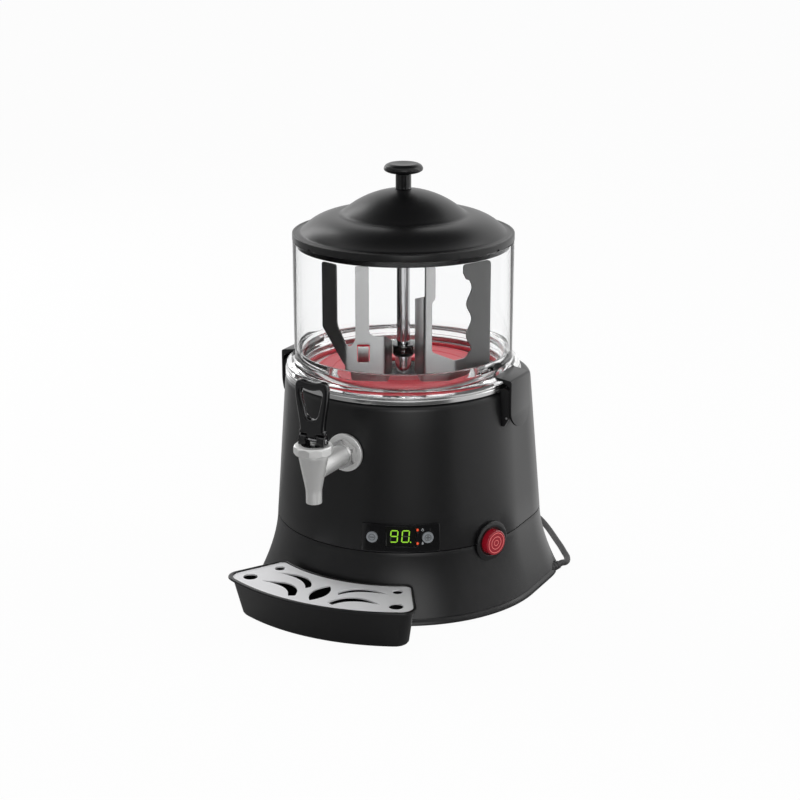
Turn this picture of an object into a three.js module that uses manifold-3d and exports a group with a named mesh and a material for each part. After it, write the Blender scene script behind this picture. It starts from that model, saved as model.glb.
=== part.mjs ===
// A table-top hot chocolate dispenser: a heated pan and a clear bowl on a moulded housing,
// a folded-sheet stirrer, a lift tap at the front and a drip tray with a slotted grid.
// Millimetres, +Z up. The tap and the drip tray face -Y, and the control panel is to their right.

import * as THREE from 'three';
import { mergeVertices, toCreasedNormals } from 'three/addons/utils/BufferGeometryUtils.js';
import Module from 'manifold-3d';

const wasm = await Module();
wasm.setup();


// Fits and shared clearances
const seatGap = 0.3;
const runningGap = 0.35;
const cutOverrun = 15;
const edgeRound = 1.2;
const sheet = 1.5;

// Two heights that the rest is hung from: the pan's floor and the seam of the housing
const panFloorHeight = 214;
const splitHeight = 71.5;

// Clear bowl
const bowlRadius = 108.2;
const bowlTaper = 0.3;
const bowlTopRadius = bowlRadius + bowlTaper;
const bowlWall = 3.2;
const bowlFlangeWidth = 7.8;
const bowlFlangeRadius = bowlRadius + bowlFlangeWidth;
const bowlFlangeThickness = 5;
const bowlShoulderHeight = 7.5;
const bowlNeckInset = 3.3;
const bowlNeckWall = 3.4;
const bowlNeckOuter = bowlRadius - bowlNeckInset;
const bowlNeckInner = bowlNeckOuter - bowlNeckWall;
const bowlStepRise = 28;
const bowlWallHeight = 109.2;
const bowlStepHeight = panFloorHeight + bowlStepRise;
const bowlTop = bowlStepHeight + bowlWallHeight;

// Heating pan, with a flanged rim and a centre well
const panRimMargin = 1.2;
const panRimRise = 8.7;
const panNeckGap = 1.3;
const panStepWidth = 1.6;
const panRimRadius = bowlFlangeRadius + panRimMargin;
const panRimTop = panFloorHeight + panRimRise;
const panRimInner = bowlNeckOuter + panNeckGap;
const panStepRadius = panRimInner + panStepWidth;
const deckHoleGap = 1.7;
const deckHoleRadius = panStepRadius + deckHoleGap;
const wellRadius = 39;
const wellDepth = 59;
const wellFloorHeight = panFloorHeight - wellDepth;

// Red silicone pieces
const matMargin = 13.5;
const matWellMargin = 2;
const matOuterRadius = bowlNeckInner - matMargin;
const matInnerRadius = wellRadius + matWellMargin;
const matThickness = 2.7;
const gasketOverlap = 2.5;
const gasketProud = 0.7;
const gasketInner = bowlNeckInner - gasketOverlap;
const gasketOuter = bowlNeckOuter + gasketProud;

// Housing: a round front that runs into straight sides and a flat back
const housingWall = 2.5;
const seamGap = 0.5;
const housingTopRise = 1.3;
const housingTop = panFloorHeight + housingTopRise;
const upperTaper = 10;
const upperBackTaper = 3.5;
const upperBackExtra = 1;
const upperFrontTop = panRimRadius + seatGap;
const upperFrontSplit = upperFrontTop + upperTaper;
const upperBackTop = upperFrontTop + upperBackExtra;
const upperBackSplit = upperBackTop + upperBackTaper;
const cornerRadiusTop = 90;
const cornerRadiusSplit = 84;
const skirtBottom = 3;
const skirtFlare = 18.5;
const skirtBackFlare = 5;
const skirtCornerLoss = 5;
const flarePowerShare = 1.7;
const deckRound = 6;
const deckThickness = 2.4;
const tongueDepth = 6;
const ventCount = 5;
const ventWidth = 4;
const ventLength = 34;
const ventPitch = 9;
const ventRise = 46.5;
const ventHeight = splitHeight + ventRise;

// Base plate and feet
const basePlateHeight = 6;
const basePlateThickness = 2;
const footRadius = 11;
const footStemRadius = 4;
const footSideInset = 35.5;
const footFrontInset = 65.5;
const footBackInset = 34;
const footPlaceX = upperFrontSplit - footSideInset;
const footFrontY = footFrontInset - upperFrontSplit;
const footBackY = upperBackSplit - footBackInset;
const bossRadius = 5;

// Lid
const lidProud = 0.2;
const lidRadius = bowlTopRadius + lidProud;
const lidRimHeight = 7;
const lidWall = 2.2;
const lidShoulderInset = 7.7;
const lidValleyInset = 46.7;
const lidValleyRise = 24.3;
const lidCrownRise = 24.5;
const lidShoulderRadius = lidRadius - lidShoulderInset;
const lidValleyRadius = lidRadius - lidValleyInset;
const lidValleyHeight = bowlTop + lidValleyRise;
const lidCrownHeight = lidValleyHeight + lidCrownRise;
const lidPlugDepth = 6;
const lidNotchCount = 13;
const lidNotchWidth = 3.6;
const lidNotchDepth = 1.8;
const knobNeckRadius = 7.7;
const knobNeckLength = 15;
const knobNeckTop = lidCrownHeight + knobNeckLength;
const knobRadius = 19.2;
const knobHeight = 10;
const knobTop = knobNeckTop + knobHeight;
const knobScrewRadius = 2;

// Column and stirrer
const shaftRadius = 5;
const columnRadius = 8;
const columnRise = 17.5;
const columnTop = panFloorHeight + columnRise;
const sealRadius = 10;
const sealHeight = 3.5;
const bushingRadius = 14;
const bushingHeight = 9;
const bushingBottom = columnTop + sealHeight;
const bushingTop = bushingBottom + bushingHeight;
const tubeRadius = 6.65;
const shaftGrip = 18;
const shaftTop = bushingTop + shaftGrip;
const stirrerHeadroom = 10.2;
const stirrerTop = bowlTop - stirrerHeadroom;
const tubeProud = 4;
const tubeTop = stirrerTop + tubeProud;
const stirrerAzimuth = 27;
const bladeRise = 4.6;
const bladeBottom = panFloorHeight + bladeRise;
const bladeShares = {
  front: 0.573, leftTip: [0.721, 0.37], leftBend: 0.5175, rightTip: [0.7763, 0.305], rightBend: 0.4529,
};
const bladeFront = bowlRadius * bladeShares.front;
const leftHubX = 18;
const leftBendX = bowlRadius * bladeShares.leftBend;
const [leftTipX, leftTipY] = bladeShares.leftTip.map((share) => share * bowlRadius);
const rightHubX = 20;
const rightBendX = bowlRadius * bladeShares.rightBend;
const [rightTipX, rightTipY] = bladeShares.rightTip.map((share) => share * bowlRadius);
const hubX = 11.4;
const hubY = 8.6;
const leftWebRise = 43.4;
const leftHubStep = 6;
const leftFlankDrop = 12;
const wingArmDrop = 23;
const wingArmStep = 10;
const wingArmSlope = 5;
const leftWebHeight = bladeBottom + leftWebRise;
const leftHubHeight = leftWebHeight + leftHubStep;
const leftFlankBack = leftWebHeight - leftFlankDrop;
const wingArmBottom = leftWebHeight - wingArmDrop;
const wingArmOuter = leftWebHeight + wingArmStep;
const wingArmInner = wingArmOuter + wingArmSlope;
const wingFingerWidth = 20;
const fingerWidth = 13;
const fingerOffset = 15;
const windowWidth = 12;
const windowHeight = 19;
const windowTop = leftWebHeight;
const windowBottom = windowTop - windowHeight;
const windowOffset = 14.5;
const rightWindowRise = 25.4;
const rightWindowSlope = 8;
const rightWindowLow = bladeBottom + rightWindowRise;
const rightWindowHigh = rightWindowLow + rightWindowSlope;
const rightFlankDrop = 34;
const rightFlankSlope = 15;
const rightFlankFront = stirrerTop - rightFlankDrop;
const rightFlankBack = rightFlankFront - rightFlankSlope;
const hubFingerWide = 10.5;
const hubFingerNarrow = 7.4;
const hubFingerStepDrop = 4;
const hubFingerStep = rightFlankFront - hubFingerStepDrop;
const waveNarrow = 15;
const waveWide = 21.5;
const waveEnd = 10.5;
const bladeCornerRound = 10;

// Drive under the pan
const tankInset = 7.8;
const tankRadius = panStepRadius - tankInset;
const tankDrop = 13;
const tankFloorHeight = wellFloorHeight - tankDrop;
const heaterInset = 28;
const heaterRadius = tankRadius - heaterInset;
const heaterTubeRadius = 4;
const heaterTailX = 20;
const gearboxWidth = 70;
const gearboxDepth = 92;
const gearboxDrop = 16;
const gearboxHeight = 36;
const gearboxTop = tankFloorHeight - gearboxDrop;
const gearboxBottom = gearboxTop - gearboxHeight;
const motorRadius = 22;
const motorHeadroom = 30;
const motorBottom = basePlateHeight + basePlateThickness + motorHeadroom;
const motorOffset = 20;
const bracketRise = 2.6;
const bracketTop = gearboxTop + bracketRise;
const bracketLegX = 52;
const bracketWidth = 104;
const boardWidth = 88;
const boardHeight = 38;
const boardThickness = 1.6;
const boardInset = 6.5;
const boardDistance = upperFrontTop - boardInset;
const boardPostRadius = 3;
const probeRadius = 4;
const probeX = 40;
const probeY = -40;

// Control panel
const panelAzimuth = 25.8;
const panelHalfAngle = 17;
const panelRise = 1.5;
const panelHeight = 27.3;
const panelBottom = splitHeight + panelRise;
const panelTop = panelBottom + panelHeight;
const panelThickness = 1.8;
const windowHalfAngle = 6.4;
const windowRecess = 1;
const displayMargin = 5.6;
const displayHeight = 19.2;
const displayBottom = panelBottom + displayMargin;
const displayTop = displayBottom + displayHeight;
const displayAzimuth = 25.8;
const buttonRadius = 5.5;
const buttonRise = 14.2;
const buttonHeight = panelBottom + buttonRise;
const buttonAzimuths = [13.5, 37.4];
const buttonProud = 1.4;
const buttonTravel = 0.8;
const buttonStemRadius = 2.2;
const boardRaise = 4.8;
const boardMiddle = buttonHeight + boardRaise;
const ledRadius = 1.6;
const ledAzimuth = 33;
const ledDrop = 5.9;
const ledSpacing = 13.4;
const ledHeights = [buttonHeight - ledDrop, buttonHeight - ledDrop + ledSpacing];

// Power switch, on the seam between the two housing shells
const switchAzimuth = 68.7;
const bezelRadius = 20;
const bezelProud = 2.6;
const switchHoleRadius = 17;
const switchBarrelRadius = 16;
const switchDepth = 24;
const capRadius = 12.4;
const capProud = 8.2;
const capDepth = 9;
const capRingWidth = 1.2;
const capRingShare = 0.62;

// Tap, at the height of the well's drain
const tapRise = 12;
const tapHeight = wellFloorHeight + tapRise;
const tapProjection = 55.5;
const tapReach = upperFrontSplit + tapProjection;
const washerRadius = 18.6;
const washerThickness = 3.2;
const nutAcross = 26;
const nutThickness = 8;
const shankRadius = 10;
const shankInnerLength = 14;
const shankBore = 5.5;
const outletRadius = 7.5;
const outletBore = 5.3;
const outletDrop = 31;
const outletBottom = tapHeight - outletDrop;
const collarDrop = 18.5;
const collarHeight = tapHeight - collarDrop;
const coneTopRadius = 14;
const coneRise = 15;
const coneTop = tapHeight + coneRise;
const bonnetRadius = 18.5;
const bonnetStep = 2.4;
const bonnetHeight = 8.6;
const bonnetBottom = coneTop + bonnetStep;
const bonnetTop = bonnetBottom + bonnetHeight;
const bonnetFacets = 10;
const chamberRadius = 9.5;
const chamberRise = 5;
const chamberFloor = tapHeight + chamberRise;
const plungerRadius = 3.2;
const plungerNeckRadius = 1.5;
const plungerLift = 2.6;
const seatCupRadius = 8.4;
const seatCupHeight = 5;
const pivotRise = 4.6;
const pivotHeight = bonnetTop + pivotRise;
const pivotRadius = 2;
const lugHalfSpan = 9.4;
const lugThickness = 3.6;
const stemHalfWidth = 5.2;
const stemLength = 9.4;
const stemTop = pivotHeight + stemLength;
const loopWidth = 34;
const loopHeight = 47.5;
const loopTop = stemTop + loopHeight;
const loopThickness = 8;
const loopBar = 5.2;

// Bowl latches
const latchWidth = 44;
const latchStandOff = 10.3;
const latchFace = panRimRadius + latchStandOff;
const latchPlate = 2;
const latchSeatRise = 3.6;
const latchSeatHeight = panRimTop + latchSeatRise;
const latchSeatMargin = 0.8;
const latchHookHeight = 3.7;
const latchTopHeight = latchSeatHeight + latchHookHeight;
const latchHookGap = 0.8;
const latchHookReach = latchFace - bowlRadius - latchHookGap;
const latchHookDrop = 2.4;
const latchHookHeel = 4;
const cheekRise = 3.7;
const cheekThickness = 3;
const cheekInset = 2.3;
const cheekTaper = 4.8;
const cheekTop = housingTop + cheekRise;
const cheekEdge = latchFace - cheekInset;
const cheekBottomEdge = cheekEdge - cheekTaper;
const latchPivotInset = 5.1;
const latchPivotDrop = 29.4;
const latchPivotX = latchFace - latchPivotInset;
const latchPivotHeight = cheekTop - latchPivotDrop;
const cheekTail = 8.6;
const cheekBottom = latchPivotHeight - cheekTail;
const latchTail = 11.6;
const latchFoot = latchPivotHeight - latchTail;
const latchFlare = 2.6;
const latchPinRadius = 1.3;

// Drip tray and grid
const trayBottom = 3.6;
const trayHeight = 39.9;
const trayTop = trayBottom + trayHeight;
const trayStandOff = 10.9;
const trayRimDepth = 68.6;
const trayRimInner = upperFrontSplit + trayStandOff;
const trayRimRadius = trayRimInner + trayRimDepth;
const trayFrontSlope = 12;
const trayBackSlope = 10.6;
const trayFootRadius = trayRimRadius - trayFrontSlope;
const trayFootInner = trayRimInner + trayBackSlope;
const trayFootAngle = 28.2;
const trayNeckAngle = 29.9;
const trayRimAngle = 31.2;
const trayWall = 2.4;
const trayLip = 3;
const trayCorner = 13;
const gridLedge = 3.2;
const gridThickness = 1.5;
const trayTongueWidth = 20;
const trayTongueThickness = 3;
const trayTongueHeight = 14.5;
const trayTongueX = 38;
const trayTongueTuck = 3.5;
const trayTongueLap = 3;
const trayTongueReach = upperFrontSplit - trayTongueTuck;
const trayTongueRoot = trayFootInner + trayTongueLap;
const cupHoleRadius = 7;
const backHoleRadius = 5;
const frontHoleInset = 19;
const backHoleInset = 15.1;
const frontHoleReach = trayRimRadius - frontHoleInset;
const backHoleReach = trayRimInner + backHoleInset;
const holeAzimuth = 24.9;

// The grid's openings, for its right-hand half: across in shares of the grid's outer radius,
// and out in shares of the way from its back edge to its front edge
const frontSlotShares = {
  tip: [0.317, 0.532],
  outerBend: [0.126, 0.243],
  heelOuter: [0.086, 0.805],
  heelInner: [0.118, 0.859],
  innerBend: [0.156, 0.506],
};
const backSlotShares = {
  tip: [0.3, 0.139],
  outerBend: [0.115, -0.049],
  heelOuter: [0.072, 0.411],
  heelInner: [0.088, 0.489],
  innerBend: [0.137, 0.146],
};
const leafShares = { near: 0.27, far: 0.825, halfWidth: 0.056 };

// Mains lead, coil and plug
const cordRadius = 3.25;
const cordSides = 6;
const reliefLength = 30;
const reliefBaseRadius = 5.6;
const reliefTipRadius = 4.2;
const reliefFlangeRadius = 6.2;
const reliefHeight = 6.6;
const reliefCornerAngle = 20;
const reliefProud = 2;
const reliefHeadingAngle = 77;
const coilX = 5;
const coilStandOff = 62;
const coilY = upperBackSplit + coilStandOff;
const coilInnerRadius = 27;
const coilPitch = 7;
const coilTurns = 3;
const plugRadius = 18.5;
const plugHeight = 25;
const plugSleeveLength = 28;
const plugPinRadius = 2.4;
const plugPinLength = 19;
const plugPinSpacing = 19;
const plugPinSeat = 5;

// The lead's route on the table, chosen by hand: out of the skirt, down to the table, round the
// rear corner and across to the coil
const leadPlaces = [
  [143.9, 88, 5],
  [142.7, 96.5, 3.8],
  [138.2, 107, 3.25],
  [130.6, 118, 3.25],
  [121.6, 131, 3.25],
  [111.4, 144.6, 3.25],
  [101, 158.6, 3.25],
  [90.4, 172.6, 3.25],
  [79.4, 186.2, 3.25],
  [67.6, 199.2, 3.25],
  [54.6, 211.4, 3.25],
  [41, 221.6, 3.25],
  [27.4, 228.8, 3.25],
];

// Counts of steps along curves
const bodySteps = 18;
const cornerSteps = 5;
const roundSteps = 30;
const smallSteps = 12;
const footSteps = 10;
const hiddenSteps = 18;
const traySteps = 10;
const trayCornerSteps = 3;
const weldDistance = 0.01;

// The origin is at the middle of the footprint, so the bowl's axis stands behind it.
const bowlAxisY = (trayRimRadius - upperBackSplit - skirtBackFlare) / 2;

const degrees = THREE.MathUtils.degToRad;
const lerp = THREE.MathUtils.lerp;

// Finishes
function finish(color, roughness, metalness, opacity = 1) {
  return new THREE.MeshStandardMaterial({ color, roughness, metalness, opacity, transparent: opacity < 1 });
}

const blackShell = finish(0x17171a, 0.42, 0);
const glossBlack = finish(0x0d0d0f, 0.16, 0);
const lidBlack = finish(0x121214, 0.3, 0);
const rubber = finish(0x111112, 0.8, 0);
const steel = finish(0xc4c5c6, 0.28, 1);
const satinSteel = finish(0xa4a5a6, 0.4, 1);
const clearPlastic = finish(0xeaf2f4, 0.05, 0, 0.25);
const redSilicone = finish(0xb3222a, 0.5, 0);
const redLens = finish(0xb3121c, 0.25, 0);
const orangeLens = finish(0xd8431c, 0.3, 0);
const silverPlastic = finish(0x9ea4a8, 0.4, 0.2);
const darkLens = finish(0x14170f, 0.1, 0);
const boardGreen = finish(0x1f5a34, 0.6, 0);
const zincGrey = finish(0x8d9092, 0.5, 0.8);
const brassPins = finish(0xc6b06a, 0.3, 1);

// Solids

function toSolid(geometry) {
  const bare = geometry.clone();
  bare.deleteAttribute('normal');
  bare.deleteAttribute('uv');
  const merged = mergeVertices(bare);
  const spots = merged.attributes.position;
  const corners = merged.index.array;
  const triangles = [];
  let sixVolumes = 0;
  const [a, b, c] = [new THREE.Vector3(), new THREE.Vector3(), new THREE.Vector3()];
  for (let i = 0; i < corners.length; i += 3) {
    const [p, q, r] = [corners[i], corners[i + 1], corners[i + 2]];
    if (p === q || q === r || r === p) continue;
    triangles.push([p, q, r]);
    a.fromBufferAttribute(spots, p);
    b.fromBufferAttribute(spots, q);
    c.fromBufferAttribute(spots, r);
    sixVolumes += a.dot(b.cross(c));
  }
  if (sixVolumes < 0) triangles.forEach((triangle) => triangle.reverse());
  const mesh = new wasm.Mesh({
    numProp: 3,
    vertProperties: new Float32Array(spots.array),
    triVerts: new Uint32Array(triangles.flat()),
  });
  return new wasm.Manifold(mesh);
}

function toGeometry(solid) {
  const mesh = solid.getMesh();
  const geometry = new THREE.BufferGeometry();
  geometry.setAttribute('position', new THREE.BufferAttribute(new Float32Array(mesh.vertProperties), 3));
  geometry.setIndex(new THREE.BufferAttribute(new Uint32Array(mesh.triVerts), 1));
  return geometry;
}

function shifted(solid, x, y, z) {
  return toSolid(toGeometry(solid).translate(x, y, z));
}

function mirrored(solid) {
  return toSolid(toGeometry(solid).scale(-1, 1, 1));
}

function joined(solids) {
  return solids.reduce((whole, solid) => whole.add(solid));
}

function cut(solid, tools) {
  return tools.reduce((rest, tool) => rest.subtract(tool), solid);
}

function moved(geometry, { turn = [0, 0, 0], to = [0, 0, 0] }) {
  const matrix = new THREE.Matrix4().makeRotationFromEuler(new THREE.Euler(...turn.map(degrees), 'XYZ'));
  matrix.setPosition(...to);
  return geometry.clone().applyMatrix4(matrix);
}

// Turns a geometry that points along +Z so that it points outwards at an azimuth from the front.
function facing(geometry, azimuth, height, distance = 0) {
  const turned = geometry.clone().rotateX(Math.PI / 2).translate(0, -distance, height);
  return turned.rotateZ(degrees(azimuth));
}

function block(x0, x1, y0, y1, z0, z1) {
  const geometry = new THREE.BoxGeometry(Math.abs(x1 - x0), Math.abs(y1 - y0), Math.abs(z1 - z0));
  return geometry.translate((x0 + x1) / 2, (y0 + y1) / 2, (z0 + z1) / 2);
}

function rod(radius, z0, z1, steps = smallSteps, topRadius = radius) {
  const geometry = new THREE.CylinderGeometry(topRadius, radius, z1 - z0, steps);
  return geometry.rotateX(Math.PI / 2).translate(0, 0, (z0 + z1) / 2);
}

// A turned solid about +Z, from a profile of radius and height that starts and ends on the axis.
function turned(profile, steps = roundSteps) {
  const points = profile.map(([radius, height]) => new THREE.Vector2(radius, height));
  return new THREE.LatheGeometry(points, steps).rotateX(Math.PI / 2);
}

// A turned ring, from a profile that closes on itself.
function turnedRing(profile, steps = roundSteps) {
  return turned([...profile, profile[0]], steps);
}

// Skins a stack of outlines that all have the same number of points.
function skin(outlines, { capped }) {
  const count = outlines[0].length;
  const positions = outlines.flat().flatMap((point) => [point.x, point.y, point.z]);
  const index = [];
  const bands = capped ? outlines.length - 1 : outlines.length;
  for (let band = 0; band < bands; band += 1) {
    const low = band * count;
    const high = ((band + 1) % outlines.length) * count;
    for (let i = 0; i < count; i += 1) {
      const next = (i + 1) % count;
      index.push(low + i, low + next, high + next, low + i, high + next, high + i);
    }
  }
  if (capped) {
    const faces = THREE.ShapeUtils.triangulateShape(outlines[0], []);
    faces.forEach(([p, q, r]) => index.push(r, q, p));
    const last = (outlines.length - 1) * count;
    const ends = THREE.ShapeUtils.triangulateShape(outlines[outlines.length - 1], []);
    ends.forEach(([p, q, r]) => index.push(last + p, last + q, last + r));
  }
  const geometry = new THREE.BufferGeometry();
  geometry.setAttribute('position', new THREE.Float32BufferAttribute(positions, 3));
  geometry.setIndex(index);
  return geometry;
}

function arcPoints(centreX, centreY, radius, from, to, steps, height) {
  const points = [];
  for (let i = 0; i <= steps; i += 1) {
    const angle = degrees(lerp(from, to, i / steps));
    const x = centreX + radius * Math.cos(angle);
    const y = centreY + radius * Math.sin(angle);
    points.push(new THREE.Vector3(x, y, height));
  }
  return points;
}

function withoutRepeats(points) {
  const kept = points.filter((point, i) => i === 0 || point.distanceTo(points[i - 1]) > weldDistance);
  if (kept[0].distanceTo(kept[kept.length - 1]) <= weldDistance) kept.pop();
  return kept;
}

function wound(points, clockwise) {
  return THREE.ShapeUtils.isClockWise(points) === clockwise ? points : [...points].reverse();
}

// An outline drawn on the XY plane, raised to a depth
function extruded(shape, depth, curveSegments = 6) {
  const { shape: edge, holes } = shape.extractPoints(curveSegments);
  const clean = new THREE.Shape(wound(withoutRepeats(edge), false));
  clean.holes = holes.map((hole) => new THREE.Path(wound(withoutRepeats(hole), true)));
  return new THREE.ExtrudeGeometry(clean, { depth, bevelEnabled: false });
}

const machine = new THREE.Group();
machine.position.y = bowlAxisY;

function place(name, solid, material, parent = machine) {
  const geometry = toCreasedNormals(toGeometry(solid), degrees(35));
  const mesh = new THREE.Mesh(geometry, material);
  mesh.name = name;
  parent.add(mesh);
  return mesh;
}

// Housing outlines

function upperSection(height) {
  const share = (height - splitHeight) / (housingTop - splitHeight);
  return {
    front: lerp(upperFrontSplit, upperFrontTop, share),
    back: lerp(upperBackSplit, upperBackTop, share),
    corner: lerp(cornerRadiusSplit, cornerRadiusTop, share),
  };
}

function skirtSection(height) {
  const share = Math.max(0, (splitHeight - height) / (splitHeight - skirtBottom)) ** flarePowerShare;
  return {
    front: upperFrontSplit + skirtFlare * share,
    back: upperBackSplit + skirtBackFlare * share,
    corner: cornerRadiusSplit - skirtCornerLoss * share,
  };
}

function sectionAt(height) {
  return height < splitHeight ? skirtSection(height) : upperSection(height);
}

function housingOutline(height, inset, section = sectionAt(height)) {
  const front = section.front - inset;
  const back = section.back - inset;
  const corner = section.corner - inset;
  return [
    ...arcPoints(0, 0, front, 180, 360, bodySteps, height),
    ...arcPoints(front - corner, back - corner, corner, 0, 90, cornerSteps, height),
    ...arcPoints(corner - front, back - corner, corner, 90, 180, cornerSteps, height),
  ];
}

function circleOutline(radius, height) {
  return [
    ...arcPoints(0, 0, radius, 180, 360, bodySteps, height),
    ...arcPoints(0, 0, radius, 2, 88, cornerSteps, height),
    ...arcPoints(0, 0, radius, 92, 178, cornerSteps, height),
  ];
}

const skirtLevelShares = [0, 0.14, 0.32, 0.56, 1];

// The housing grown by a gap, to cut the back of whatever seats on it
function grownHousing(gap) {
  const low = skirtLevelShares.map((share) => lerp(skirtBottom, splitHeight - seamGap, share));
  const outlines = [...low, housingTop + cutOverrun].map((height) => housingOutline(height, -gap));
  return toSolid(skin(outlines, { capped: true }));
}

const housingCutter = grownHousing(seatGap);

// Switch, panel and tap holes through the shells

function switchHole() {
  const hole = rod(switchHoleRadius, -switchDepth - cutOverrun, cutOverrun, 20);
  return toSolid(facing(hole, switchAzimuth, splitHeight, upperFrontSplit));
}

function tapHole() {
  const hole = rod(shankRadius + seatGap, 0, 3 * cutOverrun);
  return toSolid(facing(hole, 0, tapHeight, upperFrontTop - cutOverrun));
}

function buttonHoles(radius) {
  return buttonAzimuths.map((azimuth) => {
    const hole = rod(radius, -cutOverrun, cutOverrun);
    return toSolid(facing(hole, azimuth, buttonHeight, sectionAt(buttonHeight).front));
  });
}

function displayHole() {
  const front = sectionAt(displayBottom).front;
  return sectorSolid({
    from: front - cutOverrun,
    to: front + cutOverrun,
    azimuth: displayAzimuth,
    halfAngle: windowHalfAngle / 2,
    bottom: displayBottom + panelThickness,
    top: displayTop - panelThickness,
    steps: 3,
  });
}

// A block bent round the bowl's axis, with straight radial ends
function sectorSolid({ from, to, azimuth, halfAngle, bottom, top, steps = 8 }) {
  const middle = azimuth - 90;
  const levels = [bottom, top].map((height) => [
    ...arcPoints(0, 0, to, middle - halfAngle, middle + halfAngle, steps, height),
    ...arcPoints(0, 0, from, middle + halfAngle, middle - halfAngle, steps, height),
  ]);
  return toSolid(skin(levels, { capped: true }));
}

function ventSlots() {
  return Array.from({ length: ventCount }, (_, i) => {
    const x = (i - (ventCount - 1) / 2) * ventPitch;
    const [y, z] = [upperBackTop - cutOverrun, ventHeight];
    return toSolid(block(x - ventWidth / 2, x + ventWidth / 2, y, upperBackTop + cutOverrun,
      z - ventLength / 2, z + ventLength / 2));
  });
}

function upperHousing() {
  const insetTop = housingWall;
  const tongueInset = housingWall + seatGap;
  const outer = [
    housingOutline(splitHeight, 0, upperSection(splitHeight)),
    housingOutline(housingTop - deckRound, 0),
    housingOutline(housingTop - deckRound * 0.42, deckRound * 0.13),
    housingOutline(housingTop - deckRound * 0.1, deckRound * 0.45),
    housingOutline(housingTop, deckRound),
  ];
  const deck = [
    circleOutline(deckHoleRadius, housingTop),
    circleOutline(deckHoleRadius, housingTop - deckThickness),
    housingOutline(housingTop - deckThickness, deckRound + housingWall),
    housingOutline(housingTop - deckRound, insetTop),
  ];
  const inner = [
    housingOutline(splitHeight, insetTop, upperSection(splitHeight)),
    housingOutline(splitHeight - seatGap, tongueInset + housingWall * 0.7),
    housingOutline(splitHeight - tongueDepth, tongueInset + housingWall * 0.7),
    housingOutline(splitHeight - tongueDepth, tongueInset),
    housingOutline(splitHeight, tongueInset, upperSection(splitHeight)),
  ];
  const shell = toSolid(skin([...outer, ...deck, ...inner], { capped: false }));
  const postFrom = boardDistance + boardThickness + seatGap;
  const wallCore = grownHousing(-housingWall / 2);
  const wallInside = sectionAt(buttonHeight).front - housingWall;
  const posts = [-1, 1].flatMap((side) =>
    [-1, 1].map((level) => {
      const post = rod(boardPostRadius, postFrom, wallInside, 6);
      const x = (side * boardWidth) / 2 - side * 2 * boardPostRadius;
      const z = (level * boardHeight) / 2 - level * 2 * boardPostRadius;
      return toSolid(facing(post.translate(x, z, 0), panelAzimuth, boardMiddle)).intersect(wallCore);
    })
  );
  const holes = [switchHole(), tapHole(), displayHole(), ...ventSlots()];
  holes.push(...buttonHoles(buttonStemRadius + runningGap));
  holes.push(...ledRods(ledRadius + seatGap));
  return cut(joined([shell, ...posts]), holes);
}

function lowerSkirt() {
  const top = splitHeight - seamGap;
  const levels = skirtLevelShares.map((share) => lerp(skirtBottom, top, share));
  const outer = levels.map((height) => housingOutline(height, 0));
  const inner = levels.map((height) => housingOutline(height, housingWall)).reverse();
  const shell = toSolid(skin([...outer, ...inner], { capped: false }));
  const bosses = feetPlaces().map(([x, y]) => {
    const reach = Math.sign(x) * 2 * footSideInset;
    const boss = rod(bossRadius, basePlateHeight + basePlateThickness + seatGap, 3 * footRadius, 8);
    const arm = block(0, reach, -bossRadius / 2, bossRadius / 2, 2 * footRadius, 3 * footRadius);
    const web = toSolid(moved(arm, { to: [x, y, 0] })).intersect(grownHousing(-housingWall / 2));
    return toSolid(moved(boss, { to: [x, y, 0] })).add(web);
  });
  const slots = [-1, 1].map((side) => {
    const half = trayTongueWidth / 2 + seatGap;
    const x = side * trayTongueX;
    const low = trayTongueHeight - seatGap;
    const high = trayTongueHeight + trayTongueThickness + seatGap;
    return toSolid(block(x - half, x + half, -trayTongueRoot, -trayTongueReach + cutOverrun, low, high));
  });
  const notch = reliefTool(reliefTipRadius + 1.2 * edgeRound);
  return cut(joined([shell, ...bosses]), [...slots, switchHole(), notch]);
}

// Base plate, feet

function feetPlaces() {
  return [
    [-footPlaceX, footFrontY],
    [footPlaceX, footFrontY],
    [-footPlaceX, footBackY],
    [footPlaceX, footBackY],
  ];
}

function basePlate() {
  const heights = [basePlateHeight, basePlateHeight + basePlateThickness];
  const plate = toSolid(
    skin(
      heights.map((height) => housingOutline(height, housingWall + seatGap + edgeRound)),
      { capped: true }
    )
  );
  const holes = feetPlaces().map(([x, y]) =>
    toSolid(moved(rod(footStemRadius + seatGap, 0, cutOverrun), { to: [x, y, 0] }))
  );
  const slots = Array.from({ length: ventCount - 2 }, (_, i) => {
    const x = (i - (ventCount - 3) / 2) * ventPitch * 2;
    return toSolid(block(x - ventWidth / 2, x + ventWidth / 2, footFrontY, footFrontY + ventLength, 0, cutOverrun));
  });
  return cut(plate, [...holes, ...slots, reliefTool(reliefFlangeRadius + seatGap)]);
}

function rubberFoot() {
  const top = basePlateHeight - seatGap;
  return toSolid(
    turned(
      [
        [0, 0],
        [footRadius - edgeRound, 0],
        [footRadius, edgeRound],
        [footRadius, top],
        [footStemRadius, top],
        [footStemRadius, basePlateHeight + basePlateThickness],
        [0, basePlateHeight + basePlateThickness],
      ],
      footSteps
    )
  );
}

// Pan, seals, column

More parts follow.
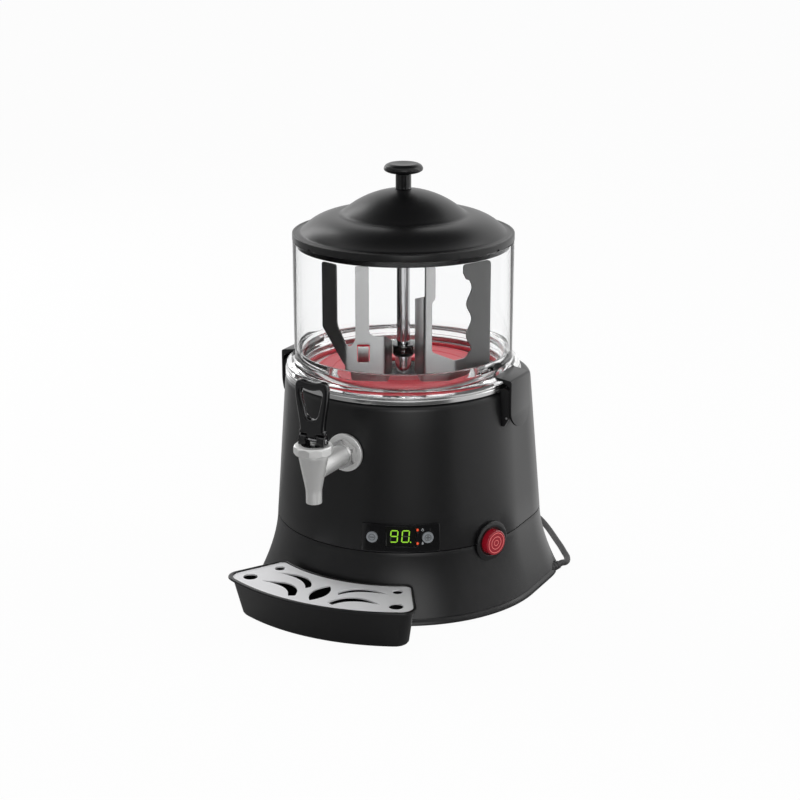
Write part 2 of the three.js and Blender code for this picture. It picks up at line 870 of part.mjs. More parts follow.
function heatingPan() {
  const under = panFloorHeight - sheet;
  const bore = columnRadius + seatGap;
  const groove = panRimTop - 2 * edgeRound;
  return toSolid(
    turnedRing([
      [bore, wellFloorHeight - sheet],
      [wellRadius + sheet, wellFloorHeight - sheet],
      [wellRadius + sheet, under],
      [panStepRadius, under],
      [panStepRadius, housingTop + seatGap],
      [panRimRadius, housingTop + seatGap],
      [panRimRadius, groove - edgeRound / 2],
      [panRimRadius - edgeRound / 2, groove],
      [panRimRadius, groove + edgeRound / 2],
      [panRimRadius, panRimTop - edgeRound / 2],
      [panRimRadius - edgeRound / 2, panRimTop],
      [panRimInner, panRimTop],
      [panRimInner, panFloorHeight],
      [wellRadius, panFloorHeight],
      [wellRadius, wellFloorHeight],
      [bore, wellFloorHeight],
    ])
  ).subtract(drainHole(wellRadius - cutOverrun / 2, wellRadius + cutOverrun));
}

function drainHole(from, to) {
  return toSolid(facing(rod(shankRadius + seatGap, from, to), 0, tapHeight));
}

function drainPipe() {
  const from = wellRadius - 2 * sheet;
  const to = upperFrontTop - cutOverrun;
  const outside = toSolid(facing(rod(shankRadius, from, to), 0, tapHeight));
  const bore = toSolid(facing(rod(shankBore, from - cutOverrun, to + cutOverrun), 0, tapHeight));
  return outside.subtract(bore);
}

function redMat() {
  const bottom = panFloorHeight + seatGap;
  const top = bottom + matThickness;
  return toSolid(
    turnedRing([
      [matInnerRadius, bottom],
      [matOuterRadius, bottom],
      [matOuterRadius, top + edgeRound / 2],
      [matOuterRadius - edgeRound, top + edgeRound / 2],
      [matOuterRadius - 2 * edgeRound, top],
      [matInnerRadius, top],
    ], 28)
  );
}

function bowlGasket() {
  const bottom = panFloorHeight + seatGap;
  const top = bottom + matThickness;
  return toSolid(
    turnedRing([
      [gasketInner, bottom],
      [gasketOuter, bottom],
      [gasketOuter, top],
      [gasketInner + edgeRound, top],
      [gasketInner, top - edgeRound],
    ], 28)
  );
}

function bowl() {
  const neckBottom = panFloorHeight + matThickness + 2 * seatGap;
  const flangeBottom = panRimTop + seatGap;
  const flangeTop = flangeBottom + bowlFlangeThickness;
  const shoulder = bowlFlangeRadius - bowlRadius;
  const inside = bowlRadius - bowlWall;
  const shape = toSolid(
    turnedRing([
      [bowlNeckInner, neckBottom],
      [bowlNeckOuter, neckBottom],
      [bowlNeckOuter, flangeBottom],
      [bowlFlangeRadius, flangeBottom],
      [bowlFlangeRadius, flangeTop - edgeRound / 2],
      [bowlRadius + shoulder * 0.72, flangeTop + bowlShoulderHeight * 0.22],
      [bowlRadius + shoulder * 0.25, flangeTop + bowlShoulderHeight * 0.52],
      [bowlRadius, flangeTop + bowlShoulderHeight],
      [bowlTopRadius, bowlTop],
      [bowlTopRadius - bowlWall, bowlTop],
      [inside, bowlStepHeight + edgeRound],
      [inside - edgeRound, bowlStepHeight],
      [bowlNeckInner, bowlStepHeight - edgeRound],
    ])
  );
  const hookInner = latchFace - latchHookReach - seatGap;
  const half = latchWidth / 2 + latchSeatMargin;
  const seats = [-1, 1].map((side) =>
    toSolid(block(side * hookInner, side * latchFace, -half, half, latchSeatHeight, bowlStepHeight))
  );
  return cut(shape, seats);
}

// Lid

function domeCurve(from, to, bulge, steps) {
  const curve = new THREE.QuadraticBezierCurve(
    new THREE.Vector2(...from),
    new THREE.Vector2(lerp(from[0], to[0], 0.5) + bulge * 0.5, lerp(from[1], to[1], 0.5) + bulge),
    new THREE.Vector2(...to)
  );
  return curve.getPoints(steps).map((point) => [point.x, point.y]);
}

function lidOutside(inset, steps) {
  const rimTop = bowlTop + seatGap + lidRimHeight;
  const bulge = lidWall * 4;
  return [
    ...domeCurve([lidShoulderRadius - inset, rimTop - inset], [lidValleyRadius, lidValleyHeight - inset], bulge, steps),
    ...domeCurve([lidValleyRadius - lidWall, lidValleyHeight + lidWall / 3 - inset],
      [knobNeckRadius, lidCrownHeight - inset], bulge, steps),
  ];
}

function lid() {
  const rimBottom = bowlTop + seatGap;
  const rimTop = rimBottom + lidRimHeight;
  const plug = bowlTopRadius - bowlWall - runningGap;
  const screwBore = knobScrewRadius + seatGap;
  const solid = toSolid(
    turnedRing([
      [plug - lidWall, rimBottom - lidPlugDepth],
      [plug, rimBottom - lidPlugDepth],
      [plug, rimBottom],
      [lidRadius, rimBottom],
      [lidRadius, rimTop - edgeRound],
      [lidRadius - edgeRound, rimTop],
      ...lidOutside(0, 3),
      [screwBore, lidCrownHeight],
      [screwBore, lidCrownHeight - lidWall],
      ...lidOutside(lidWall, 2).reverse(),
      [plug - lidWall, rimBottom + lidWall],
    ])
  );
  const notches = Array.from({ length: lidNotchCount }, (_, i) => {
    const half = lidNotchWidth / 2;
    const notch = block(-half, half, -lidRadius - cutOverrun, -lidRadius + edgeRound, rimBottom - cutOverrun,
      rimBottom + lidNotchDepth);
    return toSolid(notch.rotateZ((2 * Math.PI * i) / lidNotchCount + degrees(stirrerAzimuth)));
  });
  return cut(solid, notches);
}

function knobNeck() {
  const top = knobNeckTop;
  const outside = rod(knobNeckRadius, lidCrownHeight + seatGap, top, smallSteps);
  return toSolid(outside).subtract(toSolid(rod(knobScrewRadius + seatGap, 0, top + cutOverrun, 12)));
}

function knob() {
  const bottom = knobNeckTop + seatGap;
  const height = knobTop - bottom;
  const cap = toSolid(
    turned(
      [
        [0, bottom],
        [knobNeckRadius * 1.3, bottom],
        [knobRadius * 0.84, bottom + height * 0.14],
        [knobRadius * 0.98, bottom + height * 0.32],
        [knobRadius, bottom + height * 0.5],
        [knobRadius * 0.93, bottom + height * 0.78],
        [knobRadius * 0.74, knobTop],
        [knobRadius * 0.5, knobTop - height * 0.04],
        [0, knobTop - height * 0.12],
      ],
      20
    )
  );
  return cap.subtract(toSolid(rod(knobScrewRadius + seatGap, 0, bottom + height / 2, 12)));
}

function knobScrew() {
  const headTop = lidCrownHeight - lidWall - seatGap;
  const end = knobNeckTop + (knobTop - knobNeckTop) / 3;
  const head = toSolid(rod(2.2 * knobScrewRadius, headTop - knobScrewRadius, headTop, 6));
  return head.add(toSolid(rod(knobScrewRadius, headTop - knobScrewRadius / 2, end, 12)));
}

// Column, shaft, stirrer

function columnSleeve() {
  const bottom = bracketTop + seatGap;
  const outside = toSolid(rod(columnRadius, bottom, columnTop, 16));
  return outside.subtract(toSolid(rod(shaftRadius + runningGap, bottom - cutOverrun, columnTop + cutOverrun, 16)));
}

function shaftSeal() {
  const bottom = columnTop + seatGap;
  const top = bushingBottom - seatGap;
  return toSolid(
    turnedRing(
      [
        [shaftRadius + runningGap, bottom],
        [sealRadius, bottom],
        [sealRadius, (bottom + top) / 2],
        [columnRadius, top],
        [shaftRadius + runningGap, top],
      ],
      16
    )
  );
}

function driveShaft() {
  return toSolid(rod(shaftRadius, gearboxTop - cutOverrun, shaftTop, 16));
}

function stirrerBushing() {
  const chamfer = edgeRound;
  return toSolid(
    turnedRing(
      [
        [shaftRadius + seatGap, bushingBottom],
        [bushingRadius - chamfer, bushingBottom],
        [bushingRadius, bushingBottom + chamfer],
        [bushingRadius, bushingTop - chamfer],
        [bushingRadius - chamfer, bushingTop],
        [shaftRadius + seatGap, bushingTop],
      ],
      20
    )
  );
}

function stirrerTube() {
  const bottom = bushingTop + seatGap;
  const bore = shaftRadius + seatGap;
  return toSolid(
    turned(
      [
        [0, shaftTop + edgeRound],
        [bore, shaftTop + edgeRound],
        [bore, bottom],
        [tubeRadius, bottom],
        [tubeRadius, tubeTop - edgeRound],
        [tubeRadius - edgeRound, tubeTop],
        [0, tubeTop],
      ],
      16
    )
  );
}

// A flat panel of the folded sheet, between two places seen from above, from an outline of
// distance along the panel and height
function sheetPanel(from, to, shape) {
  const along = new THREE.Vector2(to[0] - from[0], to[1] - from[1]);
  const geometry = extruded(shape, sheet, 5).translate(0, 0, -sheet / 2).rotateX(Math.PI / 2);
  geometry.rotateZ(Math.atan2(along.y, along.x)).translate(from[0], from[1], 0);
  return toSolid(geometry);
}

function distance(from, to) {
  return Math.hypot(to[0] - from[0], to[1] - from[1]);
}

function leftWing(from, to) {
  const reach = distance(from, to);
  const inner = reach - wingFingerWidth;
  const round = fingerWidth / 6;
  const shape = new THREE.Shape();
  shape.moveTo(-sheet / 2, wingArmBottom);
  shape.lineTo(reach, wingArmOuter);
  shape.lineTo(reach, stirrerTop - round);
  shape.quadraticCurveTo(reach, stirrerTop, reach - round, stirrerTop);
  shape.lineTo(inner + round, stirrerTop);
  shape.quadraticCurveTo(inner, stirrerTop, inner, stirrerTop - round);
  shape.lineTo(inner, wingArmInner);
  shape.lineTo(-sheet / 2, leftWebHeight);
  return shape;
}

function leftFront(from, to) {
  const reach = distance(from, to);
  const fingerEnd = fingerOffset + fingerWidth;
  const bay = reach - fingerEnd - sheet / 2;
  const shape = new THREE.Shape();
  shape.moveTo(-sheet / 2, bladeBottom);
  shape.lineTo(reach + sheet / 2, bladeBottom);
  shape.lineTo(reach + sheet / 2, leftWebHeight);
  shape.lineTo(reach - sheet / 2, leftWebHeight);
  shape.quadraticCurveTo(reach - bay / 2, leftWebHeight - bay / 2, fingerEnd, leftWebHeight);
  shape.lineTo(fingerEnd, stirrerTop);
  shape.lineTo(fingerOffset, stirrerTop);
  shape.lineTo(fingerOffset, leftHubHeight + fingerWidth);
  shape.quadraticCurveTo(fingerOffset, leftHubHeight, fingerOffset / 3, leftHubHeight);
  shape.lineTo(-sheet / 2, leftHubHeight);
  const hole = new THREE.Path();
  const holeEnd = windowOffset + windowWidth;
  hole.moveTo(windowOffset, windowBottom);
  hole.lineTo(windowOffset, windowTop);
  hole.lineTo(holeEnd, windowTop);
  hole.lineTo(holeEnd, windowBottom);
  shape.holes.push(hole);
  return shape;
}

function flank(from, to, frontHeight, backHeight) {
  const reach = distance(from, to) + sheet / 2;
  const shape = new THREE.Shape();
  shape.moveTo(-sheet / 2, bladeBottom);
  shape.lineTo(reach, bladeBottom);
  shape.lineTo(reach, backHeight - bushingRadius / 2);
  shape.quadraticCurveTo(reach, backHeight, reach - bushingRadius / 2, backHeight);
  shape.lineTo(-sheet / 2, frontHeight);
  return shape;
}

function rightFront(from, to) {
  const reach = distance(from, to);
  const round = hubFingerNarrow / 2;
  const shape = new THREE.Shape();
  shape.moveTo(-sheet / 2, bladeBottom);
  shape.lineTo(reach + sheet / 2, bladeBottom);
  shape.lineTo(reach + sheet / 2, rightWindowLow);
  shape.lineTo(hubFingerNarrow + round, rightWindowHigh);
  shape.quadraticCurveTo(hubFingerNarrow, rightWindowHigh, hubFingerNarrow, rightWindowHigh + round);
  shape.lineTo(hubFingerNarrow, hubFingerStep - round);
  shape.quadraticCurveTo(hubFingerNarrow, hubFingerStep, hubFingerWide, hubFingerStep + round / 2);
  shape.lineTo(hubFingerWide, stirrerTop);
  shape.lineTo(-sheet / 2, stirrerTop);
  return shape;
}

// The wide wing has a wavy inner edge: three swells and three hollows down its finger.
function rightWing(from, to) {
  const reach = distance(from, to);
  const round = bladeCornerRound;
  const waveTopHeight = stirrerTop - waveEnd / 2;
  const waveHeight = (waveTopHeight - rightWindowLow) / 6;
  const shape = new THREE.Shape();
  shape.moveTo(-sheet / 2, bladeBottom);
  shape.lineTo(reach - round, bladeBottom);
  shape.quadraticCurveTo(reach, bladeBottom, reach, bladeBottom + round);
  shape.lineTo(reach, stirrerTop - round / 2);
  shape.quadraticCurveTo(reach, stirrerTop, reach - round / 2, stirrerTop);
  shape.lineTo(waveEnd + waveEnd / 3, stirrerTop);
  shape.quadraticCurveTo(waveEnd, stirrerTop, waveEnd, waveTopHeight);
  const swells = [waveWide, waveNarrow, waveWide, waveNarrow, waveWide];
  const wave = swells.map((across, i) => new THREE.Vector2(across, waveTopHeight - (i + 1) * waveHeight));
  shape.splineThru(wave);
  shape.quadraticCurveTo(waveWide, rightWindowLow, waveNarrow, rightWindowLow);
  shape.lineTo(-sheet / 2, rightWindowLow);
  return shape;
}

// The strap behind the bushing that joins the two blades into one piece
function hubStrap() {
  const outer = bushingRadius + seatGap + sheet;
  const strap = toSolid(rod(outer, bushingBottom + edgeRound / 2, bushingTop - edgeRound / 2, 32));
  const front = block(-outer, outer, -outer - sheet, -hubY - sheet, 0, 2 * bushingTop);
  return strap.subtract(toSolid(front));
}

function stirrerBlades() {
  const leftCorner = [-leftHubX, -bladeFront];
  const leftBend = [-leftBendX, -bladeFront];
  const leftTip = [-leftTipX, -leftTipY];
  const rightCorner = [rightHubX, -bladeFront];
  const rightBend = [rightBendX, -bladeFront];
  const rightTip = [rightTipX, -rightTipY];
  const leftHub = [-hubX, -hubY];
  const rightHub = [hubX, -hubY];
  const lean = windowWidth / 2;
  const tongue = new THREE.Shape();
  tongue.moveTo(0, windowBottom - sheet);
  tongue.lineTo(sheet, windowBottom - sheet);
  tongue.lineTo(sheet + lean, windowTop - 2 * sheet);
  tongue.lineTo(lean, windowTop - 2 * sheet);
  const tongueSolid = extruded(tongue, windowWidth - 2 * sheet, 2).rotateX(Math.PI / 2).rotateZ(-Math.PI / 2);
  const tongueX = -leftHubX - windowOffset - sheet;
  const folds = [leftCorner, leftBend, rightCorner, rightBend].map(([x, y]) => {
    const height = x > 0 ? rightWindowLow : wingArmBottom;
    return toSolid(rod(sheet / 2, bladeBottom, height, 8).translate(x, y, 0));
  });
  const blades = joined([
    sheetPanel(leftBend, leftTip, leftWing(leftBend, leftTip)),
    sheetPanel(leftCorner, leftBend, leftFront(leftCorner, leftBend)),
    sheetPanel(leftCorner, leftHub, flank(leftCorner, leftHub, leftHubHeight, leftFlankBack)),
    sheetPanel(rightCorner, rightHub, flank(rightCorner, rightHub, rightFlankFront, rightFlankBack)),
    sheetPanel(rightCorner, rightBend, rightFront(rightCorner, rightBend)),
    sheetPanel(rightBend, rightTip, rightWing(rightBend, rightTip)),
    toSolid(tongueSolid.translate(tongueX, -bladeFront + sheet / 2, 0)),
    hubStrap(),
    ...folds,
  ]);
  return blades.subtract(toSolid(rod(bushingRadius + seatGap, 0, 2 * stirrerTop, 28)));
}

// Water tank, heater and gear motor

const heaterTailY = Math.sqrt(heaterRadius ** 2 - heaterTailX ** 2);
const heaterTailRadius = heaterTubeRadius * 0.9;

function waterTank() {
  const top = panFloorHeight - sheet - seatGap;
  const ring = toSolid(
    turnedRing([
      [columnRadius + seatGap, tankFloorHeight],
      [tankRadius, tankFloorHeight],
      [tankRadius, top],
      [tankRadius - sheet, top],
      [tankRadius - sheet, tankFloorHeight + sheet],
      [columnRadius + seatGap, tankFloorHeight + sheet],
    ], hiddenSteps)
  );
  const tails = [-heaterTailX, heaterTailX].map((x) =>
    toSolid(rod(heaterTubeRadius + seatGap, 0, 2 * tankFloorHeight, 8).translate(x, heaterTailY, 0))
  );
  const probe = toSolid(rod(probeRadius + seatGap, 0, 2 * tankFloorHeight, 8).translate(probeX, probeY, 0));
  return cut(ring, [...tails, probe, drainHole(tankRadius - cutOverrun, tankRadius + cutOverrun)]);
}

function heatingElement() {
  const height = tankFloorHeight + sheet + seatGap + heaterTubeRadius;
  const ring = new THREE.TorusGeometry(heaterRadius, heaterTubeRadius, 5, hiddenSteps).translate(0, 0, height);
  const tails = [-heaterTailX, heaterTailX].map((x) =>
    toSolid(rod(heaterTailRadius, tankFloorHeight - 2 * heaterTubeRadius, height, 8).translate(x, heaterTailY, 0))
  );
  return joined([toSolid(ring), ...tails]);
}

function temperatureProbe() {
  const collar = toSolid(rod(1.8 * probeRadius, tankFloorHeight - probeRadius, tankFloorHeight - seatGap, 12));
  const stem = toSolid(rod(probeRadius, tankFloorHeight - probeRadius, tankFloorHeight + 6 * probeRadius, 12));
  return shifted(collar.add(stem), probeX, probeY, 0);
}

function gearbox() {
  const half = gearboxWidth / 2;
  const depth = gearboxDepth / 2;
  const box = toSolid(block(-half, half, -depth, depth, gearboxBottom, gearboxTop));
  const cover = toSolid(block(-half + sheet, half - sheet, -depth - sheet, depth + sheet,
    gearboxBottom + 3 * sheet, gearboxTop - 3 * sheet));
  const bore = rod(shaftRadius + runningGap, gearboxTop - cutOverrun - runningGap, gearboxTop + cutOverrun, 16);
  return box.add(cover).subtract(toSolid(bore));
}

function gearMotor() {
  const top = gearboxBottom - seatGap;
  const can = toSolid(turned(
    [
      [0, motorBottom],
      [motorRadius - edgeRound, motorBottom],
      [motorRadius, motorBottom + edgeRound],
      [motorRadius, top - 2 * edgeRound],
      [motorRadius * 0.8, top],
      [0, top],
    ],
    16
  ));
  return shifted(can, 0, motorOffset, 0);
}

function motorBracket() {
  const under = bracketTop - sheet - seatGap;
  const half = bracketWidth / 2;
  const leg = bracketLegX;
  const foot = basePlateHeight + basePlateThickness + seatGap;
  const top = toSolid(block(-leg, leg, -half, half, under, under + sheet));
  const legs = [-1, 1].flatMap((side) => [
    toSolid(block(side * leg - sheet, side * leg, -half, half, foot, under + sheet)),
    toSolid(block(side * leg - sheet, side * leg + side * 4 * sheet, -half, half, foot, foot + sheet)),
  ]);
  const bore = toSolid(rod(columnRadius + seatGap, 0, 2 * bracketTop, 16));
  return joined([top, ...legs]).subtract(bore);
}

function boardSolid() {
  const geometry = block(-boardWidth / 2, boardWidth / 2, -boardHeight / 2, boardHeight / 2, boardDistance,
    boardDistance + boardThickness);
  return toSolid(facing(geometry, panelAzimuth, boardMiddle));
}

// Control panel

function panelShell(from, to) {
  const heights = [panelBottom, panelTop];
  const middle = panelAzimuth - 90;
  const levels = heights.map((height) => {
    const front = sectionAt(height).front;
    return [
      ...arcPoints(0, 0, front + to, middle - panelHalfAngle, middle + panelHalfAngle, 10, height),
      ...arcPoints(0, 0, front + from, middle + panelHalfAngle, middle - panelHalfAngle, 10, height),
    ];
  });
  return toSolid(skin(levels, { capped: true }));
}

function displayBlock(grow, from, to) {
  const front = sectionAt(displayTop).front;
  return sectorSolid({
    from: front + from,
    to: front + to,
    azimuth: displayAzimuth,
    halfAngle: windowHalfAngle + grow,
    bottom: displayBottom - grow * panelThickness,
    top: displayTop + grow * panelThickness,
    steps: 4,
  });
}

function ledRods(radius) {
  return ledHeights.map((height) => {
    const front = sectionAt(height).front;
    return toSolid(facing(rod(radius, front - 2 * housingWall, front + 3 * panelThickness, 8), ledAzimuth, height));
  });
}

function controlPanel() {
  const plate = panelShell(seatGap, seatGap + panelThickness);
  const recess = displayBlock(0.25, panelThickness, 3 * panelThickness);
  return cut(plate, [recess, ...buttonHoles(buttonRadius + runningGap), ...ledRods(ledRadius + seatGap)]);
}

function displayWindow() {
  const face = seatGap + panelThickness;
  return displayBlock(0, panelThickness + seatGap, face + windowRecess + seatGap);
}

function ledLens(index) {
  const height = ledHeights[index];
  const front = sectionAt(height).front;
  const face = front + seatGap + panelThickness + seatGap;
  const inner = front - housingWall;
  return toSolid(facing(rod(ledRadius, inner, face, 8), ledAzimuth, height));
}

function panelButton(azimuth) {
  const front = sectionAt(buttonHeight).front;
  const back = front + seatGap + buttonTravel;
  const face = front + seatGap + panelThickness + buttonProud;
  const cap = toSolid(facing(turned(
    [
      [0, back],
      [buttonRadius, back],
      [buttonRadius, face - edgeRound / 2],
      [buttonRadius - edgeRound / 2, face],
      [buttonRadius * 0.7, face - edgeRound / 4],
      [0, face - edgeRound / 3],
    ],
    smallSteps
  ), azimuth, buttonHeight));
  const spread = degrees(azimuth - panelAzimuth);
  const boardFace = (boardDistance + boardThickness + seatGap + buttonTravel + buttonStemRadius) / Math.cos(spread);
  const stem = toSolid(facing(rod(buttonStemRadius, boardFace, back + edgeRound / 2, 12), azimuth, buttonHeight));
  return cap.add(stem);
}

// Power switch

function switchBezel() {
  const front = upperFrontSplit;
  const face = front + bezelProud;
  const bore = capRadius + runningGap;
  const flange = toSolid(facing(turnedRing(
    [
      [bore, front - 3 * housingWall],
      [bezelRadius, front - 3 * housingWall],
      [bezelRadius, face - edgeRound],
      [bezelRadius - edgeRound, face],
      [bore + 2 * edgeRound, face],
      [bore, face - edgeRound],
    ],
    20
  ), switchAzimuth, splitHeight)).subtract(housingCutter);
  const barrel = toSolid(facing(turned(
    [
      [0, front - switchDepth],
      [switchBarrelRadius, front - switchDepth],
      [switchBarrelRadius, face - edgeRound],
      [bore, face - edgeRound],
      [bore, front - switchDepth + housingWall],
      [0, front - switchDepth + housingWall],
    ],
    20
  ), switchAzimuth, splitHeight));
  return flange.add(barrel);
}

function powerCap() {
  const face = upperFrontSplit + capProud;
  const back = face - capProud - capDepth;
  const ring = capRadius * capRingShare;
  return toSolid(facing(turned(
    [
      [0, back],
      [capRadius, back],
      [capRadius, face - edgeRound],
      [capRadius - edgeRound, face],
      [ring, face],
      [ring - capRingWidth / 2, face - capRingWidth / 2],
      [ring - capRingWidth, face],
      [0, face],
    ],
    20
  ), switchAzimuth, splitHeight));
}

// Tap

function tapWasher() {
  const wall = sectionAt(tapHeight).front;
  const ring = toSolid(facing(turnedRing(
    [
      [shankRadius + seatGap, wall - 2 * washerThickness],
      [washerRadius, wall - 2 * washerThickness],
      [washerRadius, wall + washerThickness - edgeRound],
      [washerRadius - edgeRound, wall + washerThickness],
      [shankRadius + seatGap, wall + washerThickness],
    ],
    20
  ), 0, tapHeight));
  return ring.subtract(housingCutter);
}

function tapNut() {
  const start = sectionAt(tapHeight).front + washerThickness + seatGap;
  const nut = rod(nutAcross / Math.sqrt(3), start, start + nutThickness, 6);
  const chamfer = turned(
    [
      [0, start],
      [nutAcross * 0.54, start],
      [nutAcross * 0.58, start + nutThickness * 0.2],
      [nutAcross * 0.58, start + nutThickness * 0.8],
      [nutAcross * 0.5, start + nutThickness],
      [0, start + nutThickness],
    ],
    12
  );
  const bore = rod(shankRadius + seatGap, 0, 2 * start, smallSteps);
  const [solid, round, hole] = [nut, chamfer, bore].map((geometry) => toSolid(facing(geometry, 0, tapHeight)));
  return solid.intersect(round).subtract(hole);
}

function tapBody() {
  const shankStart = upperFrontTop - shankInnerLength;
  const shank = toSolid(facing(rod(shankRadius, shankStart, tapReach), 0, tapHeight));
  const shankHole = toSolid(facing(rod(shankBore, shankStart - cutOverrun, tapReach), 0, tapHeight));
  const cone = toSolid(turned(
    [
      [0, outletBottom],
      [outletRadius - edgeRound / 2, outletBottom],
      [outletRadius, outletBottom + edgeRound / 2],
      [outletRadius, collarHeight],
      [outletRadius + edgeRound / 2, collarHeight + edgeRound / 2],
      [coneTopRadius, coneTop],
      [coneTopRadius, bonnetBottom - seatGap],
      [0, bonnetBottom - seatGap],
    ],
    20
  ).translate(0, -tapReach, 0));
  const bore = toSolid(rod(outletBore, 0, 2 * bonnetTop).translate(0, -tapReach, 0));
  const chamber = toSolid(rod(chamberRadius, chamberFloor, 2 * bonnetTop, 20).translate(0, -tapReach, 0));
  return cut(cone.add(shank), [bore, chamber, shankHole]);
}

function tapBonnet() {
  const facets = rod(bonnetRadius / Math.cos(Math.PI / bonnetFacets), bonnetBottom, bonnetTop, bonnetFacets);
  const round = turned(
    [
      [0, bonnetBottom],
      [coneTopRadius + edgeRound, bonnetBottom],
      [bonnetRadius, bonnetBottom + 2 * edgeRound],
      [bonnetRadius, bonnetTop - edgeRound],
      [bonnetRadius - 2 * edgeRound, bonnetTop],
      [0, bonnetTop],
    ],
    20
  );
  const top = lugHalfSpan + lugThickness / 2;
  const well = turned(
    [
      [0, bonnetBottom + 3 * edgeRound],
      [top, bonnetBottom + 3 * edgeRound],
      [top + edgeRound, bonnetTop + edgeRound],
      [0, bonnetTop + edgeRound],
    ],
    16
  );
  const hole = rod(plungerRadius + runningGap, 0, 2 * bonnetTop, smallSteps);
  const [solid, trim, recess, bore] = [facets, round, well, hole].map((geometry) =>
    toSolid(geometry.translate(0, -tapReach, 0))
  );
  return solid.intersect(trim).subtract(recess).subtract(bore);
}

function tapYoke() {
  const bottom = bonnetBottom + 3 * edgeRound + seatGap;
  const disc = toSolid(rod(lugHalfSpan + lugThickness / 2 - seatGap, bottom, bottom + 2 * edgeRound, 16));
  const lugs = [-1, 1].map((side) => {
    const shape = new THREE.Shape();
    const half = stemHalfWidth;
    shape.moveTo(-half, 0);
    shape.lineTo(half, 0);
    shape.lineTo(half, pivotHeight - bottom);
    shape.absarc(0, pivotHeight - bottom, half, 0, Math.PI);
    const ear = extruded(shape, lugThickness, 4).rotateX(Math.PI / 2).rotateZ(Math.PI / 2);
    return toSolid(ear.translate(side * (lugHalfSpan - lugThickness / 2) - lugThickness / 2, 0, bottom));
  });
  const pinHole = toSolid(moved(rod(pivotRadius + seatGap, -cutOverrun, cutOverrun, 16), {
    turn: [0, 90, 0], to: [0, 0, pivotHeight],
  }));
  const bore = toSolid(rod(plungerRadius + runningGap, 0, 2 * bonnetTop, smallSteps));
  return shifted(cut(joined([disc, ...lugs]), [pinHole, bore]), 0, -tapReach, 0);
}

function tapPin() {
  const half = lugHalfSpan + edgeRound / 2;
  const pin = moved(rod(pivotRadius, -half, half, 16), { turn: [0, 90, 0], to: [0, -tapReach, pivotHeight] });
  return toSolid(pin);
}

function tapHandle() {
  const cheek = lugHalfSpan - lugThickness - runningGap;
  const half = stemHalfWidth;
  const waist = loopWidth * 0.36;
  const outer = new THREE.Shape();
  outer.moveTo(-cheek, pivotHeight);
  outer.lineTo(-cheek, stemTop - loopBar / 2);
  outer.lineTo(-waist, stemTop);
  outer.bezierCurveTo(-waist, stemTop + loopBar * 2, -loopWidth / 2, loopTop - loopBar * 4, -loopWidth / 2,
    loopTop - loopBar * 1.6);
  outer.quadraticCurveTo(-loopWidth / 2, loopTop, -loopWidth * 0.3, loopTop);
  outer.quadraticCurveTo(0, loopTop - loopBar * 0.6, loopWidth * 0.3, loopTop);
  outer.quadraticCurveTo(loopWidth / 2, loopTop, loopWidth / 2, loopTop - loopBar * 1.6);
  outer.bezierCurveTo(loopWidth / 2, loopTop - loopBar * 4, waist, stemTop + loopBar * 2, waist, stemTop);
  outer.lineTo(cheek, stemTop - loopBar / 2);
  outer.lineTo(cheek, pivotHeight);
  outer.absarc(0, pivotHeight, cheek, 0, Math.PI, true);
  const inner = loopWidth / 2 - loopBar;
  const holeLow = stemTop + 2 * loopBar;
  const holeTop = loopTop - loopBar * 1.5;
  const hole = new THREE.Path();
  hole.moveTo(0, holeLow);
  hole.quadraticCurveTo(-loopBar, holeLow, -loopBar * 1.4, holeLow + loopBar);
  hole.lineTo(-inner, holeTop - loopBar);
  hole.quadraticCurveTo(-inner, holeTop, -inner * 0.7, holeTop);
  hole.quadraticCurveTo(0, holeTop - loopBar * 0.6, inner * 0.7, holeTop);
  hole.quadraticCurveTo(inner, holeTop, inner, holeTop - loopBar);
  hole.lineTo(loopBar * 1.4, holeLow + loopBar);
  hole.quadraticCurveTo(loopBar, holeLow, 0, holeLow);
  outer.holes.push(hole);
  const plate = toSolid(extruded(outer, loopThickness, 4).translate(0, 0, -loopThickness / 2)
    .rotateX(Math.PI / 2).translate(0, -tapReach, 0));
  const pinHole = toSolid(moved(rod(pivotRadius + runningGap, -cutOverrun, cutOverrun, 16), {
    turn: [0, 90, 0], to: [0, -tapReach, pivotHeight],
  }));
  const heel = toSolid(moved(rod(half, -cheek, cheek, 14), {
    turn: [0, 90, 0], to: [0, -tapReach, pivotHeight],
  }));
  const slotHalf = plungerNeckRadius + 2 * seatGap;
  const slot = toSolid(block(-slotHalf, slotHalf, -tapReach - half - edgeRound, -tapReach + half + edgeRound,
    pivotHeight - 2 * half, pivotHeight + half / 2));
  return cut(plate.intersect(clipAbove(pivotHeight)).add(heel), [pinHole, slot]);
}

function clipAbove(height) {
  const wide = 2 * loopWidth;
  return toSolid(block(-wide, wide, -tapReach - wide, -tapReach + wide, height, loopTop + wide));
}

function tapPlunger() {
  const neckBottom = pivotHeight - stemHalfWidth - plungerLift - 2 * seatGap;
  const stem = turned(
    [
      [0, chamberFloor - 2 * seatCupHeight],
      [plungerRadius, chamberFloor - 2 * seatCupHeight],
      [plungerRadius, neckBottom - edgeRound],
      [plungerNeckRadius, neckBottom],
      [plungerNeckRadius, pivotHeight - stemHalfWidth],
      [0, pivotHeight - stemHalfWidth],
    ],
    12
  );
  return toSolid(stem.translate(0, -tapReach, 0));
}

function tapSeat() {
  const bottom = chamberFloor + seatGap;
  const ring = turnedRing(
    [
      [plungerRadius + seatGap, bottom],
      [seatCupRadius - edgeRound, bottom],
      [seatCupRadius, bottom + edgeRound],
      [seatCupRadius, bottom + seatCupHeight],
      [plungerRadius + seatGap, bottom + seatCupHeight],
    ],
    16
  );
  return toSolid(ring.translate(0, -tapReach, 0));
}

// Bowl latches, built for the +X side and turned for the other

